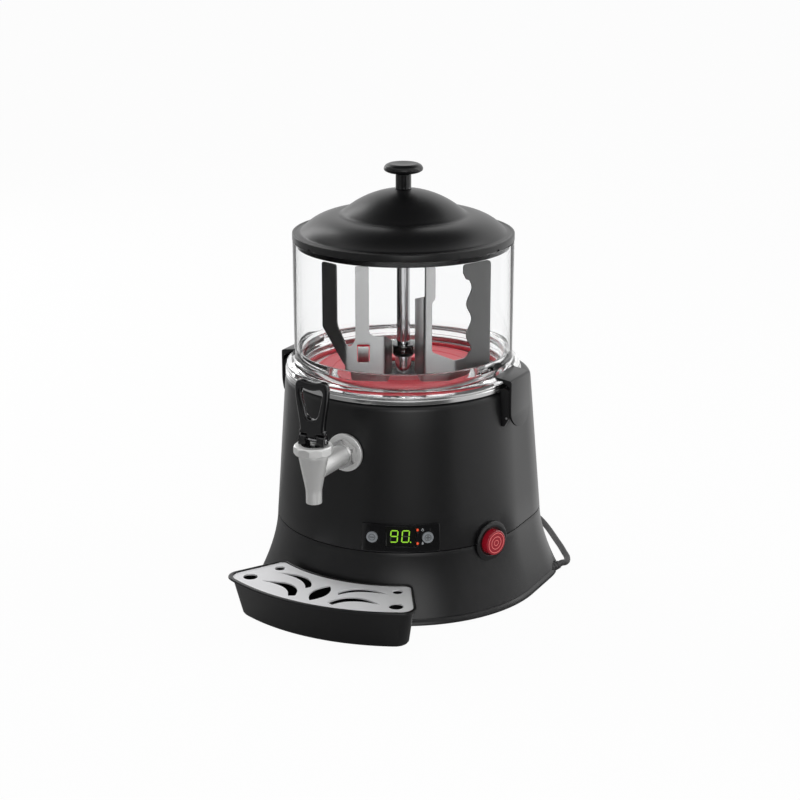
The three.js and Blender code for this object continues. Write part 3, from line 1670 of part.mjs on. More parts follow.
function latchBracket() {
  const half = latchWidth / 2 - seatGap;
  const wallSide = upperFrontTop - 2 * housingWall;
  const eye = cheekEdge - latchPivotX;
  const profile = new THREE.Shape();
  profile.moveTo(wallSide, cheekBottom);
  profile.lineTo(cheekBottomEdge, cheekBottom);
  profile.lineTo(cheekEdge - eye / 4, latchPivotHeight - eye / 2);
  profile.lineTo(cheekEdge, latchPivotHeight + eye / 4);
  profile.lineTo(cheekEdge, cheekTop - eye);
  profile.lineTo(cheekEdge - eye, cheekTop);
  profile.lineTo(wallSide, cheekTop);
  const cheeks = [-half + cheekThickness, half].map((y) =>
    toSolid(extruded(profile, cheekThickness).rotateX(Math.PI / 2).translate(0, y, 0))
  );
  const back = toSolid(block(wallSide, latchPivotX - edgeRound, -half, half,
    latchPivotHeight + 4 * latchPinRadius, cheekTop));
  const pinHole = moved(rod(latchPinRadius + seatGap, -latchWidth, latchWidth, 12), {
    turn: [90, 0, 0], to: [latchPivotX, 0, latchPivotHeight],
  });
  const rim = toSolid(turned([
    [0, housingTop],
    [panRimRadius + seatGap, housingTop],
    [panRimRadius + seatGap, cheekTop + cutOverrun],
    [0, cheekTop + cutOverrun],
  ]));
  return cut(joined([...cheeks, back]), [housingCutter, rim, toSolid(pinHole)]);
}

function latchLever() {
  const half = latchWidth / 2;
  const hookInner = latchFace - latchHookReach;
  const profile = new THREE.Shape();
  const plateInner = latchFace - latchPlate;
  const footInner = plateInner + latchFlare;
  profile.moveTo(hookInner, latchTopHeight);
  profile.lineTo(latchFace - edgeRound, latchTopHeight - latchHookDrop);
  profile.lineTo(latchFace, latchTopHeight - latchHookDrop - edgeRound);
  profile.lineTo(latchFace, latchPivotHeight + 2 * edgeRound);
  profile.quadraticCurveTo(latchFace, latchPivotHeight - edgeRound, latchFace + latchFlare, latchFoot);
  profile.lineTo(footInner, latchFoot);
  profile.quadraticCurveTo(plateInner, latchPivotHeight - 2 * edgeRound, plateInner, latchPivotHeight + 2 * edgeRound);
  profile.lineTo(plateInner, latchTopHeight - latchHookDrop - latchHookHeel);
  profile.lineTo(bowlFlangeRadius + edgeRound, latchSeatHeight + seatGap);
  profile.lineTo(hookInner, latchSeatHeight + seatGap);
  const sheetSolid = toSolid(extruded(profile, latchWidth, 5).rotateX(Math.PI / 2).translate(0, half, 0));
  const outline = new THREE.Shape();
  outline.moveTo(-half, latchTopHeight + cutOverrun);
  outline.lineTo(-half, latchPivotHeight + half / 2);
  outline.bezierCurveTo(-half, latchFoot + half / 4, -half / 2, latchFoot, 0, latchFoot);
  outline.bezierCurveTo(half / 2, latchFoot, half, latchFoot + half / 4, half, latchPivotHeight + half / 2);
  outline.lineTo(half, latchTopHeight + cutOverrun);
  const tool = toSolid(extruded(outline, latchFace, 5).rotateX(Math.PI / 2).rotateZ(Math.PI / 2)
    .translate(upperFrontTop - cutOverrun, 0, 0));
  const hubHalf = half - cheekThickness - 2 * seatGap;
  const hub = toSolid(moved(rod(latchPinRadius + seatGap + 1.1 * edgeRound / 1.2, -hubHalf, hubHalf, 14), {
    turn: [90, 0, 0], to: [latchPivotX, 0, latchPivotHeight],
  }));
  const web = toSolid(block(latchPivotX, plateInner + seatGap, -hubHalf, hubHalf,
    latchPivotHeight - latchPinRadius, latchPivotHeight + 2 * latchPinRadius));
  const pinHole = toSolid(moved(rod(latchPinRadius + seatGap, -latchWidth, latchWidth, 12), {
    turn: [90, 0, 0], to: [latchPivotX, 0, latchPivotHeight],
  }));
  return cut(sheetSolid.intersect(tool).add(hub).add(web), [pinHole]);
}

function latchPin() {
  const half = latchWidth / 2;
  return toSolid(moved(rod(latchPinRadius, -half, half, 12), {
    turn: [90, 0, 0], to: [latchPivotX, 0, latchPivotHeight],
  }));
}

// Drip tray

// A ring sector with rounded corners, open towards the bowl's axis
function sectorOutline(inner, outer, halfAngle, corner, height) {
  const middle = -90;
  const frontTurn = THREE.MathUtils.radToDeg(Math.asin(corner / (outer - corner)));
  const backTurn = THREE.MathUtils.radToDeg(Math.asin(corner / 2 / (inner + corner / 2)));
  const spot = (radius, angle) => [radius * Math.cos(degrees(angle)), radius * Math.sin(degrees(angle))];
  const frontLeft = middle - halfAngle + frontTurn;
  const frontRight = middle + halfAngle - frontTurn;
  const backLeft = middle - halfAngle + backTurn;
  const backRight = middle + halfAngle - backTurn;
  const cornerSpot = (radius, angle, from, to, size) =>
    arcPoints(...spot(radius, angle), size, from, to, trayCornerSteps, height);
  return [
    ...cornerSpot(outer - corner, frontLeft, middle - halfAngle - 90, frontLeft, corner),
    ...arcPoints(0, 0, outer, frontLeft, frontRight, traySteps, height).slice(1, -1),
    ...cornerSpot(outer - corner, frontRight, frontRight, middle + halfAngle + 90, corner),
    ...cornerSpot(inner + corner / 2, backRight, middle + halfAngle + 90, backRight + 180, corner / 2),
    ...arcPoints(0, 0, inner, backRight, backLeft, traySteps, height).slice(1, -1),
    ...cornerSpot(inner + corner / 2, backLeft, backLeft + 180, middle - halfAngle + 270, corner / 2),
  ];
}

function dripTray() {
  const neck = trayTop - trayLip;
  const share = (neck - trayBottom) / (trayTop - trayBottom);
  const neckOuter = lerp(trayFootRadius, trayRimRadius - trayLip, share);
  const neckInner = lerp(trayFootInner, trayRimInner, share);
  const ledge = trayTop - edgeRound - gridThickness - seatGap;
  const wallInner = (height) => ({
    inner: lerp(trayFootInner, trayRimInner, (height - trayBottom) / (trayTop - trayBottom)),
    outer: lerp(trayFootRadius, trayRimRadius - trayLip, (height - trayBottom) / (trayTop - trayBottom)),
  });
  const floorTop = trayBottom + trayWall;
  const angleInset = (wall, radius) => THREE.MathUtils.radToDeg(wall / radius);
  const ledgeWall = wallInner(ledge);
  const floorWall = wallInner(floorTop);
  const rimWall = trayRimRadius - gridEdgeOuter() - seatGap;
  const outline = sectorOutline;
  const levels = [
    outline(trayFootInner + edgeRound, trayFootRadius - edgeRound, trayFootAngle - angleInset(edgeRound,
      trayFootRadius), trayCorner, trayBottom),
    outline(trayFootInner, trayFootRadius, trayFootAngle, trayCorner, trayBottom + edgeRound),
    outline(neckInner, neckOuter, trayNeckAngle, trayCorner, neck),
    outline(trayRimInner, trayRimRadius, trayRimAngle, trayCorner, neck + edgeRound / 2),
    outline(trayRimInner, trayRimRadius, trayRimAngle, trayCorner, trayTop - edgeRound / 2),
    outline(trayRimInner + edgeRound / 2, trayRimRadius - edgeRound / 2, trayRimAngle - angleInset(edgeRound / 2,
      trayRimRadius), trayCorner, trayTop),
    outline(gridEdgeInner() - seatGap, gridEdgeOuter() + seatGap, gridHalfAngle() + angleInset(seatGap,
      trayRimInner), trayCorner, trayTop),
    outline(gridEdgeInner() - seatGap, gridEdgeOuter() + seatGap, gridHalfAngle() + angleInset(seatGap,
      trayRimInner), trayCorner, ledge),
    outline(gridEdgeInner() + gridLedge, ledgeWall.outer - trayWall - rimWall / 2,
      trayNeckAngle - angleInset(trayWall + gridLedge, trayRimInner), trayCorner, ledge),
    outline(floorWall.inner + trayWall, floorWall.outer - trayWall,
      trayFootAngle - angleInset(trayWall, trayFootInner), trayCorner, floorTop),
  ];
  const shell = toSolid(skin(levels, { capped: true }));
  const tongues = [-1, 1].map((side) => {
    const half = trayTongueWidth / 2;
    const x = side * trayTongueX;
    const tongue = toSolid(block(x - half, x + half, -trayTongueRoot, -trayTongueReach, trayTongueHeight,
      trayTongueHeight + trayTongueThickness));
    const keep = toSolid(rod(trayFootInner + trayWall / 2, 0, trayTop, 64));
    return tongue.intersect(keep);
  });
  return joined([shell, ...tongues]);
}

function gridEdgeOuter() {
  return trayRimRadius - 2 * gridLedge;
}

function gridEdgeInner() {
  return trayRimInner + gridLedge * 0.8;
}

function gridHalfAngle() {
  return trayRimAngle - THREE.MathUtils.radToDeg((gridLedge * 1.3) / trayRimRadius) - edgeRound / 2;
}

function gridSpot([across, out]) {
  return [across * gridEdgeOuter(), -lerp(gridEdgeInner(), gridEdgeOuter(), out)];
}

function slotHole(shares, side) {
  const at = ([across, out]) => gridSpot([side * across, out]);
  const hole = new THREE.Path();
  hole.moveTo(...at(shares.tip));
  hole.quadraticCurveTo(...at(shares.outerBend), ...at(shares.heelOuter));
  hole.lineTo(...at(shares.heelInner));
  hole.quadraticCurveTo(...at(shares.innerBend), ...at(shares.tip));
  return hole;
}

function leafHole() {
  const { near, far, halfWidth } = leafShares;
  const middle = (near + far) / 2;
  const hole = new THREE.Path();
  hole.moveTo(...gridSpot([0, near]));
  hole.quadraticCurveTo(...gridSpot([2 * halfWidth, middle]), ...gridSpot([0, far]));
  hole.quadraticCurveTo(...gridSpot([-2 * halfWidth, middle]), ...gridSpot([0, near]));
  return hole;
}

function roundHole(radius, reach, azimuth) {
  const hole = new THREE.Path();
  hole.absarc(reach * Math.sin(degrees(azimuth)), -reach * Math.cos(degrees(azimuth)), radius, 0, 2 * Math.PI);
  return hole;
}

function dripGrid() {
  const edge = sectorOutline(gridEdgeInner(), gridEdgeOuter(), gridHalfAngle(), trayCorner, 0);
  const shape = new THREE.Shape(edge.map((point) => new THREE.Vector2(point.x, point.y)));
  shape.holes.push(leafHole());
  [-1, 1].forEach((side) => {
    shape.holes.push(slotHole(frontSlotShares, side), slotHole(backSlotShares, side));
    shape.holes.push(roundHole(cupHoleRadius, frontHoleReach, side * holeAzimuth));
    shape.holes.push(roundHole(backHoleRadius, backHoleReach, side * holeAzimuth));
  });
  const bottom = trayTop - edgeRound - gridThickness;
  return toSolid(extruded(shape, gridThickness, 6).translate(0, 0, bottom));
}

// Mains lead

function skirtCornerSpot(angle, height, proud) {
  const { front, back, corner } = sectionAt(height);
  const reach = corner + proud;
  const x = front - corner + reach * Math.cos(degrees(angle));
  return new THREE.Vector3(x, back - corner + reach * Math.sin(degrees(angle)), height);
}

const cordExit = skirtCornerSpot(reliefCornerAngle, reliefHeight, reliefProud);
const cordHeading = new THREE.Vector3(1, 0, 0).applyAxisAngle(
  new THREE.Vector3(0, 0, 1),
  degrees(reliefHeadingAngle)
);

function alongCord(geometry) {
  const turn = Math.atan2(cordHeading.y, cordHeading.x);
  return geometry.rotateY(Math.PI / 2).rotateZ(turn).translate(cordExit.x, cordExit.y, cordExit.z);
}

function reliefTool(radius) {
  return toSolid(alongCord(rod(radius, -reliefLength - 2 * seatGap, cutOverrun, 16)));
}

function cordRelief() {
  const flange = reliefFlangeRadius;
  const bore = reliefTipRadius;
  return toSolid(alongCord(turned(
    [
      [0, -reliefLength],
      [flange, -reliefLength],
      [flange, -reliefLength + 2 * edgeRound],
      [reliefBaseRadius, -reliefLength + 2 * edgeRound],
      [lerp(reliefBaseRadius, bore, 0.7), -reliefLength / 2],
      [bore, -2 * edgeRound],
      [cordRadius + edgeRound / 4, 0],
      [0, 0],
    ],
    12
  )));
}

function cordRoute() {
  const start = cordExit.clone().addScaledVector(cordHeading, seatGap);
  const onward = cordExit.clone().addScaledVector(cordHeading, 2 * cordRadius);
  const places = leadPlaces.map(([x, y, z]) => new THREE.Vector3(x, y, z));
  const arrive = coilPoint(0);
  const before = arrive.clone().setX(arrive.x + 2 * cordRadius + seatGap);
  const near = arrive.clone().setX(arrive.x + 4 * cordRadius);
  return new THREE.CatmullRomCurve3([start, onward, ...places, near, before], false, 'centripetal');
}

function cordLead() {
  const sides = Array.from({ length: cordSides }, (_, i) => {
    const angle = ((i + 0.5) * 2 * Math.PI) / cordSides;
    return new THREE.Vector2(cordRadius * Math.cos(angle), cordRadius * Math.sin(angle));
  });
  const shape = new THREE.Shape(sides);
  const geometry = new THREE.ExtrudeGeometry(shape, { steps: 32, bevelEnabled: false, extrudePath: cordRoute() });
  return toSolid(geometry);
}

// The coil winds in over three turns, climbs one layer in the half turn where it turns back,
// and winds out again on top.
function coilPoint(turn) {
  const reversal = coilTurns;
  const radius = coilInnerRadius + coilPitch * Math.abs(turn - reversal);
  const climb = THREE.MathUtils.clamp((turn - reversal + 0.25) / 0.5, 0, 1);
  const angle = degrees(90 + 360 * turn);
  return new THREE.Vector3(
    coilX + radius * Math.cos(angle),
    coilY + radius * Math.sin(angle),
    cordRadius + coilPitch * climb
  );
}

function cordCoil() {
  const stepsPerTurn = 24;
  const sides = 6;
  const count = 2 * coilTurns * stepsPerTurn;
  const spine = Array.from({ length: count + 1 }, (_, i) => coilPoint(i / stepsPerTurn));
  const end = spine[spine.length - 1];
  const straight = 2 * cordRadius;
  const path = [
    spine[0].clone().setX(spine[0].x + straight),
    ...spine,
    end.clone().setX(end.x - straight),
  ];
  const rings = path.map((point, i) => {
    const ahead = path[Math.min(i + 1, path.length - 1)];
    const behind = path[Math.max(i - 1, 0)];
    const along = ahead.clone().sub(behind).normalize();
    const side = new THREE.Vector3(0, 0, 1).cross(along).normalize();
    const up = along.clone().cross(side);
    return Array.from({ length: sides }, (_, k) => {
      const angle = ((k + 0.5) * 2 * Math.PI) / sides;
      return point.clone().addScaledVector(side, cordRadius * Math.cos(angle))
        .addScaledVector(up, cordRadius * Math.sin(angle));
    });
  });
  const geometry = skinAlong(rings);
  console.log(`coil: least gap between turns ${leastSelfGap(spine, stepsPerTurn).toFixed(2)} mm`);
  return toSolid(geometry);
}

// Skins rings that stand across a path, and closes both ends with a fan.
function skinAlong(rings) {
  const count = rings[0].length;
  const geometry = skin(rings, { capped: false });
  const bands = (rings.length - 1) * count * 6;
  const index = Array.from(geometry.index.array).slice(0, bands);
  const last = (rings.length - 1) * count;
  for (let i = 1; i < count - 1; i += 1) {
    index.push(0, i + 1, i, last, last + i, last + i + 1);
  }
  geometry.setIndex(index);
  return geometry;
}

function leastSelfGap(spine, stepsPerTurn) {
  let least = Infinity;
  for (let i = 0; i < spine.length; i += 1) {
    for (let j = i + stepsPerTurn / 2; j < spine.length; j += 1) {
      least = Math.min(least, spine[i].distanceTo(spine[j]));
    }
  }
  return least - 2 * cordRadius;
}

function plugPlace() {
  const end = coilPoint(2 * coilTurns);
  return new THREE.Vector3(end.x - 2 * cordRadius - seatGap - plugSleeveLength - plugRadius, end.y, 0);
}

function plugBody() {
  const at = plugPlace();
  const cordHeight = coilPoint(2 * coilTurns).z;
  const bulk = toSolid(turned(
    [
      [0, 0],
      [plugRadius - 2 * edgeRound, 0],
      [plugRadius, 2 * edgeRound],
      [plugRadius, plugHeight - edgeRound],
      [plugRadius - edgeRound, plugHeight],
      [0, plugHeight],
    ],
    20
  ));
  const sleeve = toSolid(rod(cordRadius * 2, plugRadius / 2, plugRadius + plugSleeveLength, 10, cordRadius * 1.15)
    .rotateY(Math.PI / 2).translate(0, 0, cordHeight));
  const seats = [-1, 1].map((side) =>
    toSolid(rod(plugPinRadius + seatGap, plugHeight - plugPinSeat, plugHeight + cutOverrun, 12)
      .translate(0, (side * plugPinSpacing) / 2, 0))
  );
  return shifted(cut(bulk.add(sleeve), seats), at.x, at.y, 0);
}

function plugPin(side) {
  const at = plugPlace();
  const bottom = plugHeight - plugPinSeat + seatGap;
  const top = plugHeight + plugPinLength;
  const pin = turned(
    [
      [0, bottom],
      [plugPinRadius, bottom],
      [plugPinRadius, top - plugPinRadius],
      [plugPinRadius * 0.7, top - plugPinRadius * 0.2],
      [0, top],
    ],
    12
  );
  return toSolid(pin.translate(at.x, at.y + (side * plugPinSpacing) / 2, 0));
}

// Assembly

place('lower_skirt', lowerSkirt(), blackShell);
place('upper_housing', upperHousing(), blackShell);
place('base_plate', basePlate(), zincGrey);
feetPlaces().forEach(([x, y], i) => {
  const foot = place(`rubber_foot_${i + 1}`, rubberFoot(), rubber);
  foot.position.set(x, y, 0);
});
place('heating_pan', heatingPan(), steel);
place('red_mat', redMat(), redSilicone);
place('bowl_gasket', bowlGasket(), redSilicone);
place('column_sleeve', columnSleeve(), steel);
place('shaft_seal', shaftSeal(), rubber);
place('drain_pipe', drainPipe(), satinSteel);
place('water_tank', waterTank(), satinSteel);
place('heating_element', heatingElement(), satinSteel);
place('temperature_probe', temperatureProbe(), brassPins);
place('gearbox', gearbox(), zincGrey);
place('gear_motor', gearMotor(), zincGrey);
place('motor_bracket', motorBracket(), satinSteel);
place('control_board', boardSolid(), boardGreen);

place('bowl', bowl(), clearPlastic);
place('lid', lid(), lidBlack);
place('lid_knob_neck', knobNeck(), glossBlack);
place('lid_knob', knob(), lidBlack);
place('lid_knob_screw', knobScrew(), steel);

const stirrer = new THREE.Group();
stirrer.rotation.z = degrees(stirrerAzimuth);
machine.add(stirrer);
place('drive_shaft', driveShaft(), steel, stirrer);
place('stirrer_bushing', stirrerBushing(), glossBlack, stirrer);
place('stirrer_tube', stirrerTube(), steel, stirrer);
place('stirrer_blades', stirrerBlades(), satinSteel, stirrer);

place('control_panel', controlPanel(), glossBlack);
place('display_window', displayWindow(), darkLens);
place('led_heat', ledLens(0), orangeLens);
place('led_power', ledLens(1), orangeLens);
place('button_minus', panelButton(buttonAzimuths[0]), silverPlastic);
place('button_plus', panelButton(buttonAzimuths[1]), silverPlastic);
place('switch_bezel', switchBezel(), glossBlack);
place('power_button', powerCap(), redLens);

place('tap_washer', tapWasher(), steel);
place('tap_nut', tapNut(), steel);
place('tap_body', tapBody(), satinSteel);
place('tap_bonnet', tapBonnet(), satinSteel);
place('tap_yoke', tapYoke(), glossBlack);
place('tap_pin', tapPin(), steel);
place('tap_handle', tapHandle(), glossBlack);
place('tap_plunger', tapPlunger(), steel);
place('tap_seat', tapSeat(), rubber);

['right', 'left'].forEach((side) => {
  const across = (solid) => (side === 'left' ? mirrored(solid) : solid);
  place(`latch_bracket_${side}`, across(latchBracket()), glossBlack);
  place(`latch_lever_${side}`, across(latchLever()), glossBlack);
  place(`latch_pin_${side}`, across(latchPin()), steel);
});

place('drip_tray', dripTray(), blackShell);
place('drip_grid', dripGrid(), steel);

place('cord_relief', cordRelief(), rubber);
place('cord_lead', cordLead(), rubber);
place('cord_coil', cordCoil(), rubber);
place('plug', plugBody(), rubber);
place('plug_pin_left', plugPin(-1), brassPins);
place('plug_pin_right', plugPin(1), brassPins);

export default machine;
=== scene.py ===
"""A table-top hot chocolate dispenser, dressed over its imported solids.

Everything is drawn in millimetres round the bowl's upright axis, with the tap towards -Y. Each
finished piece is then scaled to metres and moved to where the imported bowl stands.
"""

from __future__ import annotations

import logging
import math
from collections.abc import Callable, Iterator, Sequence
from contextlib import contextmanager
from dataclasses import dataclass, field
from enum import Enum

import bpy
from mathutils import Matrix, Vector

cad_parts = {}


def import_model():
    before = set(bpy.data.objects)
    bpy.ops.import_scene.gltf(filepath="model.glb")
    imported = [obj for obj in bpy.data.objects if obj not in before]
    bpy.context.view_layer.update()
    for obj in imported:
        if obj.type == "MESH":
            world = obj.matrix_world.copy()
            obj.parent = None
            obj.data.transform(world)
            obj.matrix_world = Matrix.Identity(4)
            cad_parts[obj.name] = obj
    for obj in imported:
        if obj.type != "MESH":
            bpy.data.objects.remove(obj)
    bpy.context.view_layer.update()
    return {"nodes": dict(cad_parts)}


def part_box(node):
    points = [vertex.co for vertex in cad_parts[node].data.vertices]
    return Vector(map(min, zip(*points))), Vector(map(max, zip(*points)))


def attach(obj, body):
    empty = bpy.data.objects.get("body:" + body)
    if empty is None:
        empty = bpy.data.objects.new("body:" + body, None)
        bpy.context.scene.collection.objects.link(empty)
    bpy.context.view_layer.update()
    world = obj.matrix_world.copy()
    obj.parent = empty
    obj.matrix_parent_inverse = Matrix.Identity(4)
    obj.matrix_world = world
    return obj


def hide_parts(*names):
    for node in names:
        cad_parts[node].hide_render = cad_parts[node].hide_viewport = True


log = logging.getLogger("dispenser")

MM = 0.001
FULL_TURN = 2 * math.pi
WELD = 0.004
SMOOTH_ANGLE = math.radians(32)
SHEET_ANGLE = math.radians(16)
BLACK = (0.0035, 0.0035, 0.004)
SIDES = (-1, 1)

Point = tuple[float, float]
Spot = tuple[float, float, float]
Piece = bpy.types.Object
Socket = bpy.types.NodeSocket
Material = bpy.types.Material


class Slot(Enum):
    """The record's material slots, one named by each finish."""

    SHELL = "black_shell"
    GLOSS = "gloss_black"
    LID = "lid_black"
    RUBBER = "rubber"
    POLISHED = "polished_steel"
    BRUSHED = "brushed_steel"
    CLEAR = "clear_plastic"
    SILICONE = "red_silicone"
    RED_LENS = "red_lens"
    ORANGE_LENS = "orange_lens"
    SILVER = "silver_plastic"
    DARK_WINDOW = "dark_window"
    BOARD = "board"
    ZINC = "zinc"
    BRASS = "brass"


class Body(Enum):
    """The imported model's bodies."""

    BASE = "base"
    LID = "lid"
    STIRRER = "stirrer"
    TAP_LEVER = "tap_lever"
    LATCH_LEFT = "latch_left"
    LATCH_RIGHT = "latch_right"
    TRAY = "drip_tray"
    GRID = "drip_grid"
    MINUS_KEY = "minus_key"
    PLUS_KEY = "plus_key"
    POWER_KEY = "power_key"


# Outlines


def lerp(start: float, end: float, share: float) -> float:
    """Returns the value at a share of the way from start to end."""
    return start + (end - start) * share


def spread(start: float, end: float, count: int) -> list[float]:
    """Returns values from start to end, both among them, a number of equal steps apart."""
    return [lerp(start, end, i / count) for i in range(count + 1)]


def curved(steps: int, *points: Point) -> list[Point]:
    """Samples a curve.

    Args:
        steps: How many straight steps stand for the curve.
        points: Its start, the control points that it leans towards, and its end.

    Returns:
        The points, with both ends.
    """
    degree = len(points) - 1
    line = []
    for t in spread(0, 1, steps):
        weights = [math.comb(degree, k) * t**k * (1 - t) ** (degree - k) for k in range(degree + 1)]
        line.append(tuple(sum(w * p[axis] for w, p in zip(weights, points)) for axis in (0, 1)))
    return line


def arc(centre: Point, radius: float, start: float, end: float, steps: int) -> list[Point]:
    """Samples an arc.

    Args:
        centre: The arc's centre.
        radius: The arc's radius.
        start: The first angle, in degrees from +X.
        end: The last angle, in degrees from +X.
        steps: How many straight steps stand for the arc.

    Returns:
        The points, with both ends.
    """
    angles = [math.radians(angle) for angle in spread(start, end, steps)]
    return [(centre[0] + radius * math.cos(a), centre[1] + radius * math.sin(a)) for a in angles]


def circle(radius: float, count: int, centre: Point = (0, 0)) -> list[Point]:
    """Returns this many points round a circle."""
    return arc(centre, radius, 0, 360 - 360 / count, count - 1)


def mirrored(points: Sequence[Point]) -> list[Point]:
    """Returns a line's mirror image, drawn backwards."""
    return [(-x, y) for x, y in reversed(points)]


def walked(points: Sequence[Point], reach: float) -> tuple[Point, int]:
    """Walks along a line of points.

    Args:
        points: The points, from where the walk starts.
        reach: How far to walk. It stops just short of the last point.

    Returns:
        The place that is reached, and the number of points that were passed.
    """
    left = reach
    for i, (a, b) in enumerate(zip(points, points[1:])):
        step = math.dist(a, b)
        last = i == len(points) - 2
        if step > left or last:
            share = min(left / step, 0.49 if last else 1) if step else 0
            return (lerp(a[0], b[0], share), lerp(a[1], b[1], share)), i
        left -= step
    return points[0], 0


def softened(points: Sequence[Point], reaches: dict[int, float], steps: int = 5) -> list[Point]:
    """Rounds some corners of an open line of points.

    Args:
        points: The line.
        reaches: For each corner to round, its index and how far back and on the rounding starts.
        steps: How many straight steps stand for each rounding.

    Returns:
        The line with its corners rounded.
    """
    line = list(points)
    for index in sorted(reaches, reverse=True):
        place = index % len(points)
        before, passed_back = walked(line[place::-1], reaches[index])
        after, passed_on = walked(line[place:], reaches[index])
        bend = curved(steps, before, line[place], after)
        line = [*line[: place - passed_back], *bend, *line[place + passed_on + 1 :]]
    return line


def softened_box(half: float, low: float, high: float, reach: float, steps: int) -> list[Point]:
    """Returns an upright rectangle round X = 0, with three of its corners rounded.

    Args:
        half: Half its width.
        low: Its lower edge.
        high: Its upper edge.
        reach: How far from a corner its rounding starts.
        steps: How many straight steps stand for each rounding.

    Returns:
        The points. The line stops just above where it starts.
    """
    corners = [(-half, low), (half, low), (half, high), (-half, high), (-half, low + 0.01)]
    return softened(corners, {1: reach, 2: reach, 3: reach}, steps)


# Modelling


def deselect_all() -> None:
    """Leaves no object selected."""
    bpy.ops.object.select_all(action="DESELECT")
    bpy.context.view_layer.objects.active = None


def take(*pieces: Piece) -> None:
    """Selects only these objects, and makes the first one active.

    Args:
        pieces: The objects, with the one to make active first.
    """
    deselect_all()
    for piece in pieces:
        piece.select_set(True)
    bpy.context.view_layer.objects.active = pieces[0]


@contextmanager
def editing(piece: Piece) -> Iterator[None]:
    """Opens one object in edit mode with all of it selected, and closes it again.

    Args:
        piece: The object.

    Yields:
        Nothing. The object is open for as long as the block runs.
    """
    take(piece)
    bpy.ops.object.mode_set(mode="EDIT")
    bpy.ops.mesh.select_mode(type="VERT")
    bpy.ops.mesh.select_all(action="SELECT")
    try:
        yield
    finally:
        bpy.ops.object.mode_set(mode="OBJECT")


def closed_up(piece: Piece) -> Piece:
    """Merges a mesh's double points and turns its faces outwards.

    Args:
        piece: The object.

    Returns:
        The same object.
    """
    with editing(piece):
        bpy.ops.mesh.remove_doubles(threshold=WELD)
        bpy.ops.mesh.normals_make_consistent(inside=False)
    return piece


def meshed(name: str, curve: bpy.types.Curve) -> Piece:
    """Makes a curve an object, and the object a closed mesh.

    Args:
        name: The new object's name.
        curve: The curve.

    Returns:
        The mesh object.
    """
    piece = bpy.data.objects.new(name, curve)
    bpy.context.scene.collection.objects.link(piece)
    take(piece)
    bpy.ops.object.convert(target="MESH")
    return closed_up(bpy.context.object)


def draw_line(name: str, points: Sequence[Point]) -> Piece:
    """Draws a profile on the XZ plane.

    Args:
        name: The new object's name.
        points: Radius and height of each point.

    Returns:
        An object of one line of vertices.
    """
    deselect_all()
    bpy.ops.mesh.primitive_plane_add(size=1, location=(points[0][0], 0, points[0][1]))
    piece = bpy.context.object
    piece.name = name
    with editing(piece):
        bpy.ops.mesh.merge(type="CENTER")
        for (r0, h0), (r1, h1) in zip(points, points[1:]):
            bpy.ops.mesh.extrude_vertices_move(TRANSFORM_OT_translate={"value": (r1 - r0, 0, h1 - h0)})
    bpy.ops.object.transform_apply(location=True, rotation=True, scale=True)
    return piece


def lathe(name: str, profile: Sequence[Point], steps: int = 96, ring: bool = False) -> Piece:
    """Turns a profile about +Z.

    Args:
        name: The new object's name.
        profile: Radius and height of each point.
        steps: How many steps the turn has.
        ring: Whether the profile closes on itself, away from the axis.

    Returns:
        The turned object.
    """
    piece = draw_line(name, [*profile, profile[0]] if ring else profile)
    with editing(piece):
        bpy.ops.mesh.spin(steps=steps, angle=FULL_TURN, center=(0, 0, 0), axis=(0, 0, 1))
    return closed_up(piece)


@dataclass(frozen=True)
class Turned:
    """A turned form: its corners as radius and height, how far each is rounded, and how finely."""

    corners: tuple[Point, ...]
    rounds: dict[int, float]
    fine: int = 4
    steps: int = 96
    ring: bool = True

    def make(self, name: str) -> Piece:
        """Turns the form."""
        return lathe(name, softened(self.corners, self.rounds, self.fine), self.steps, self.ring)


def rod(radius: float, low: float, high: float, steps: int = 48, edge: float = 0, fine: int = 3) -> Piece:
    """Makes a rod on +Z.

    Args:
        radius: Its radius.
        low: Where it starts.
        high: Where it ends.
        steps: How many steps the turn has.
        edge: How far its two edges are rounded.
        fine: How many straight steps stand for each rounding.

    Returns:
        The rod.
    """
    rounds = {1: edge, 2: edge} if edge else {}
    return Turned(((0, low), (radius, low), (radius, high), (0, high)), rounds, fine, steps, False).make("rod")


def loft(name: str, rings: Sequence[Sequence[Spot]], capped: bool = False) -> Piece:
    """Skins a stack of outlines.

    Args:
        name: The new object's name.
        rings: Outlines that all have the same number of points, and run the same way round.
        capped: Whether the first and the last outline are filled. Otherwise they are joined.

    Returns:
        A closed shell.
    """
    stack = list(rings) if capped else [*rings, rings[0]]
    count = len(stack[0])
    deselect_all()
    bpy.ops.mesh.primitive_circle_add(vertices=count, radius=1, location=(0, 0, 0))
    piece = bpy.context.object
    piece.name = name
    with editing(piece):
        for _ in stack[1:]:
            bpy.ops.mesh.extrude_region_move(TRANSFORM_OT_translate={"value": (0, 0, 1)})
    for vertex in piece.data.vertices:
        turned = math.atan2(vertex.co.y, vertex.co.x) / FULL_TURN
        vertex.co = stack[round(vertex.co.z)][round(turned * count) % count]
    with editing(piece):
        bpy.ops.mesh.remove_doubles(threshold=WELD)
        if capped:
            bpy.ops.mesh.select_all(action="DESELECT")
            bpy.ops.mesh.select_non_manifold()
            bpy.ops.mesh.fill_holes(sides=0)
            bpy.ops.mesh.select_all(action="SELECT")
        bpy.ops.mesh.normals_make_consistent(inside=False)
    return piece


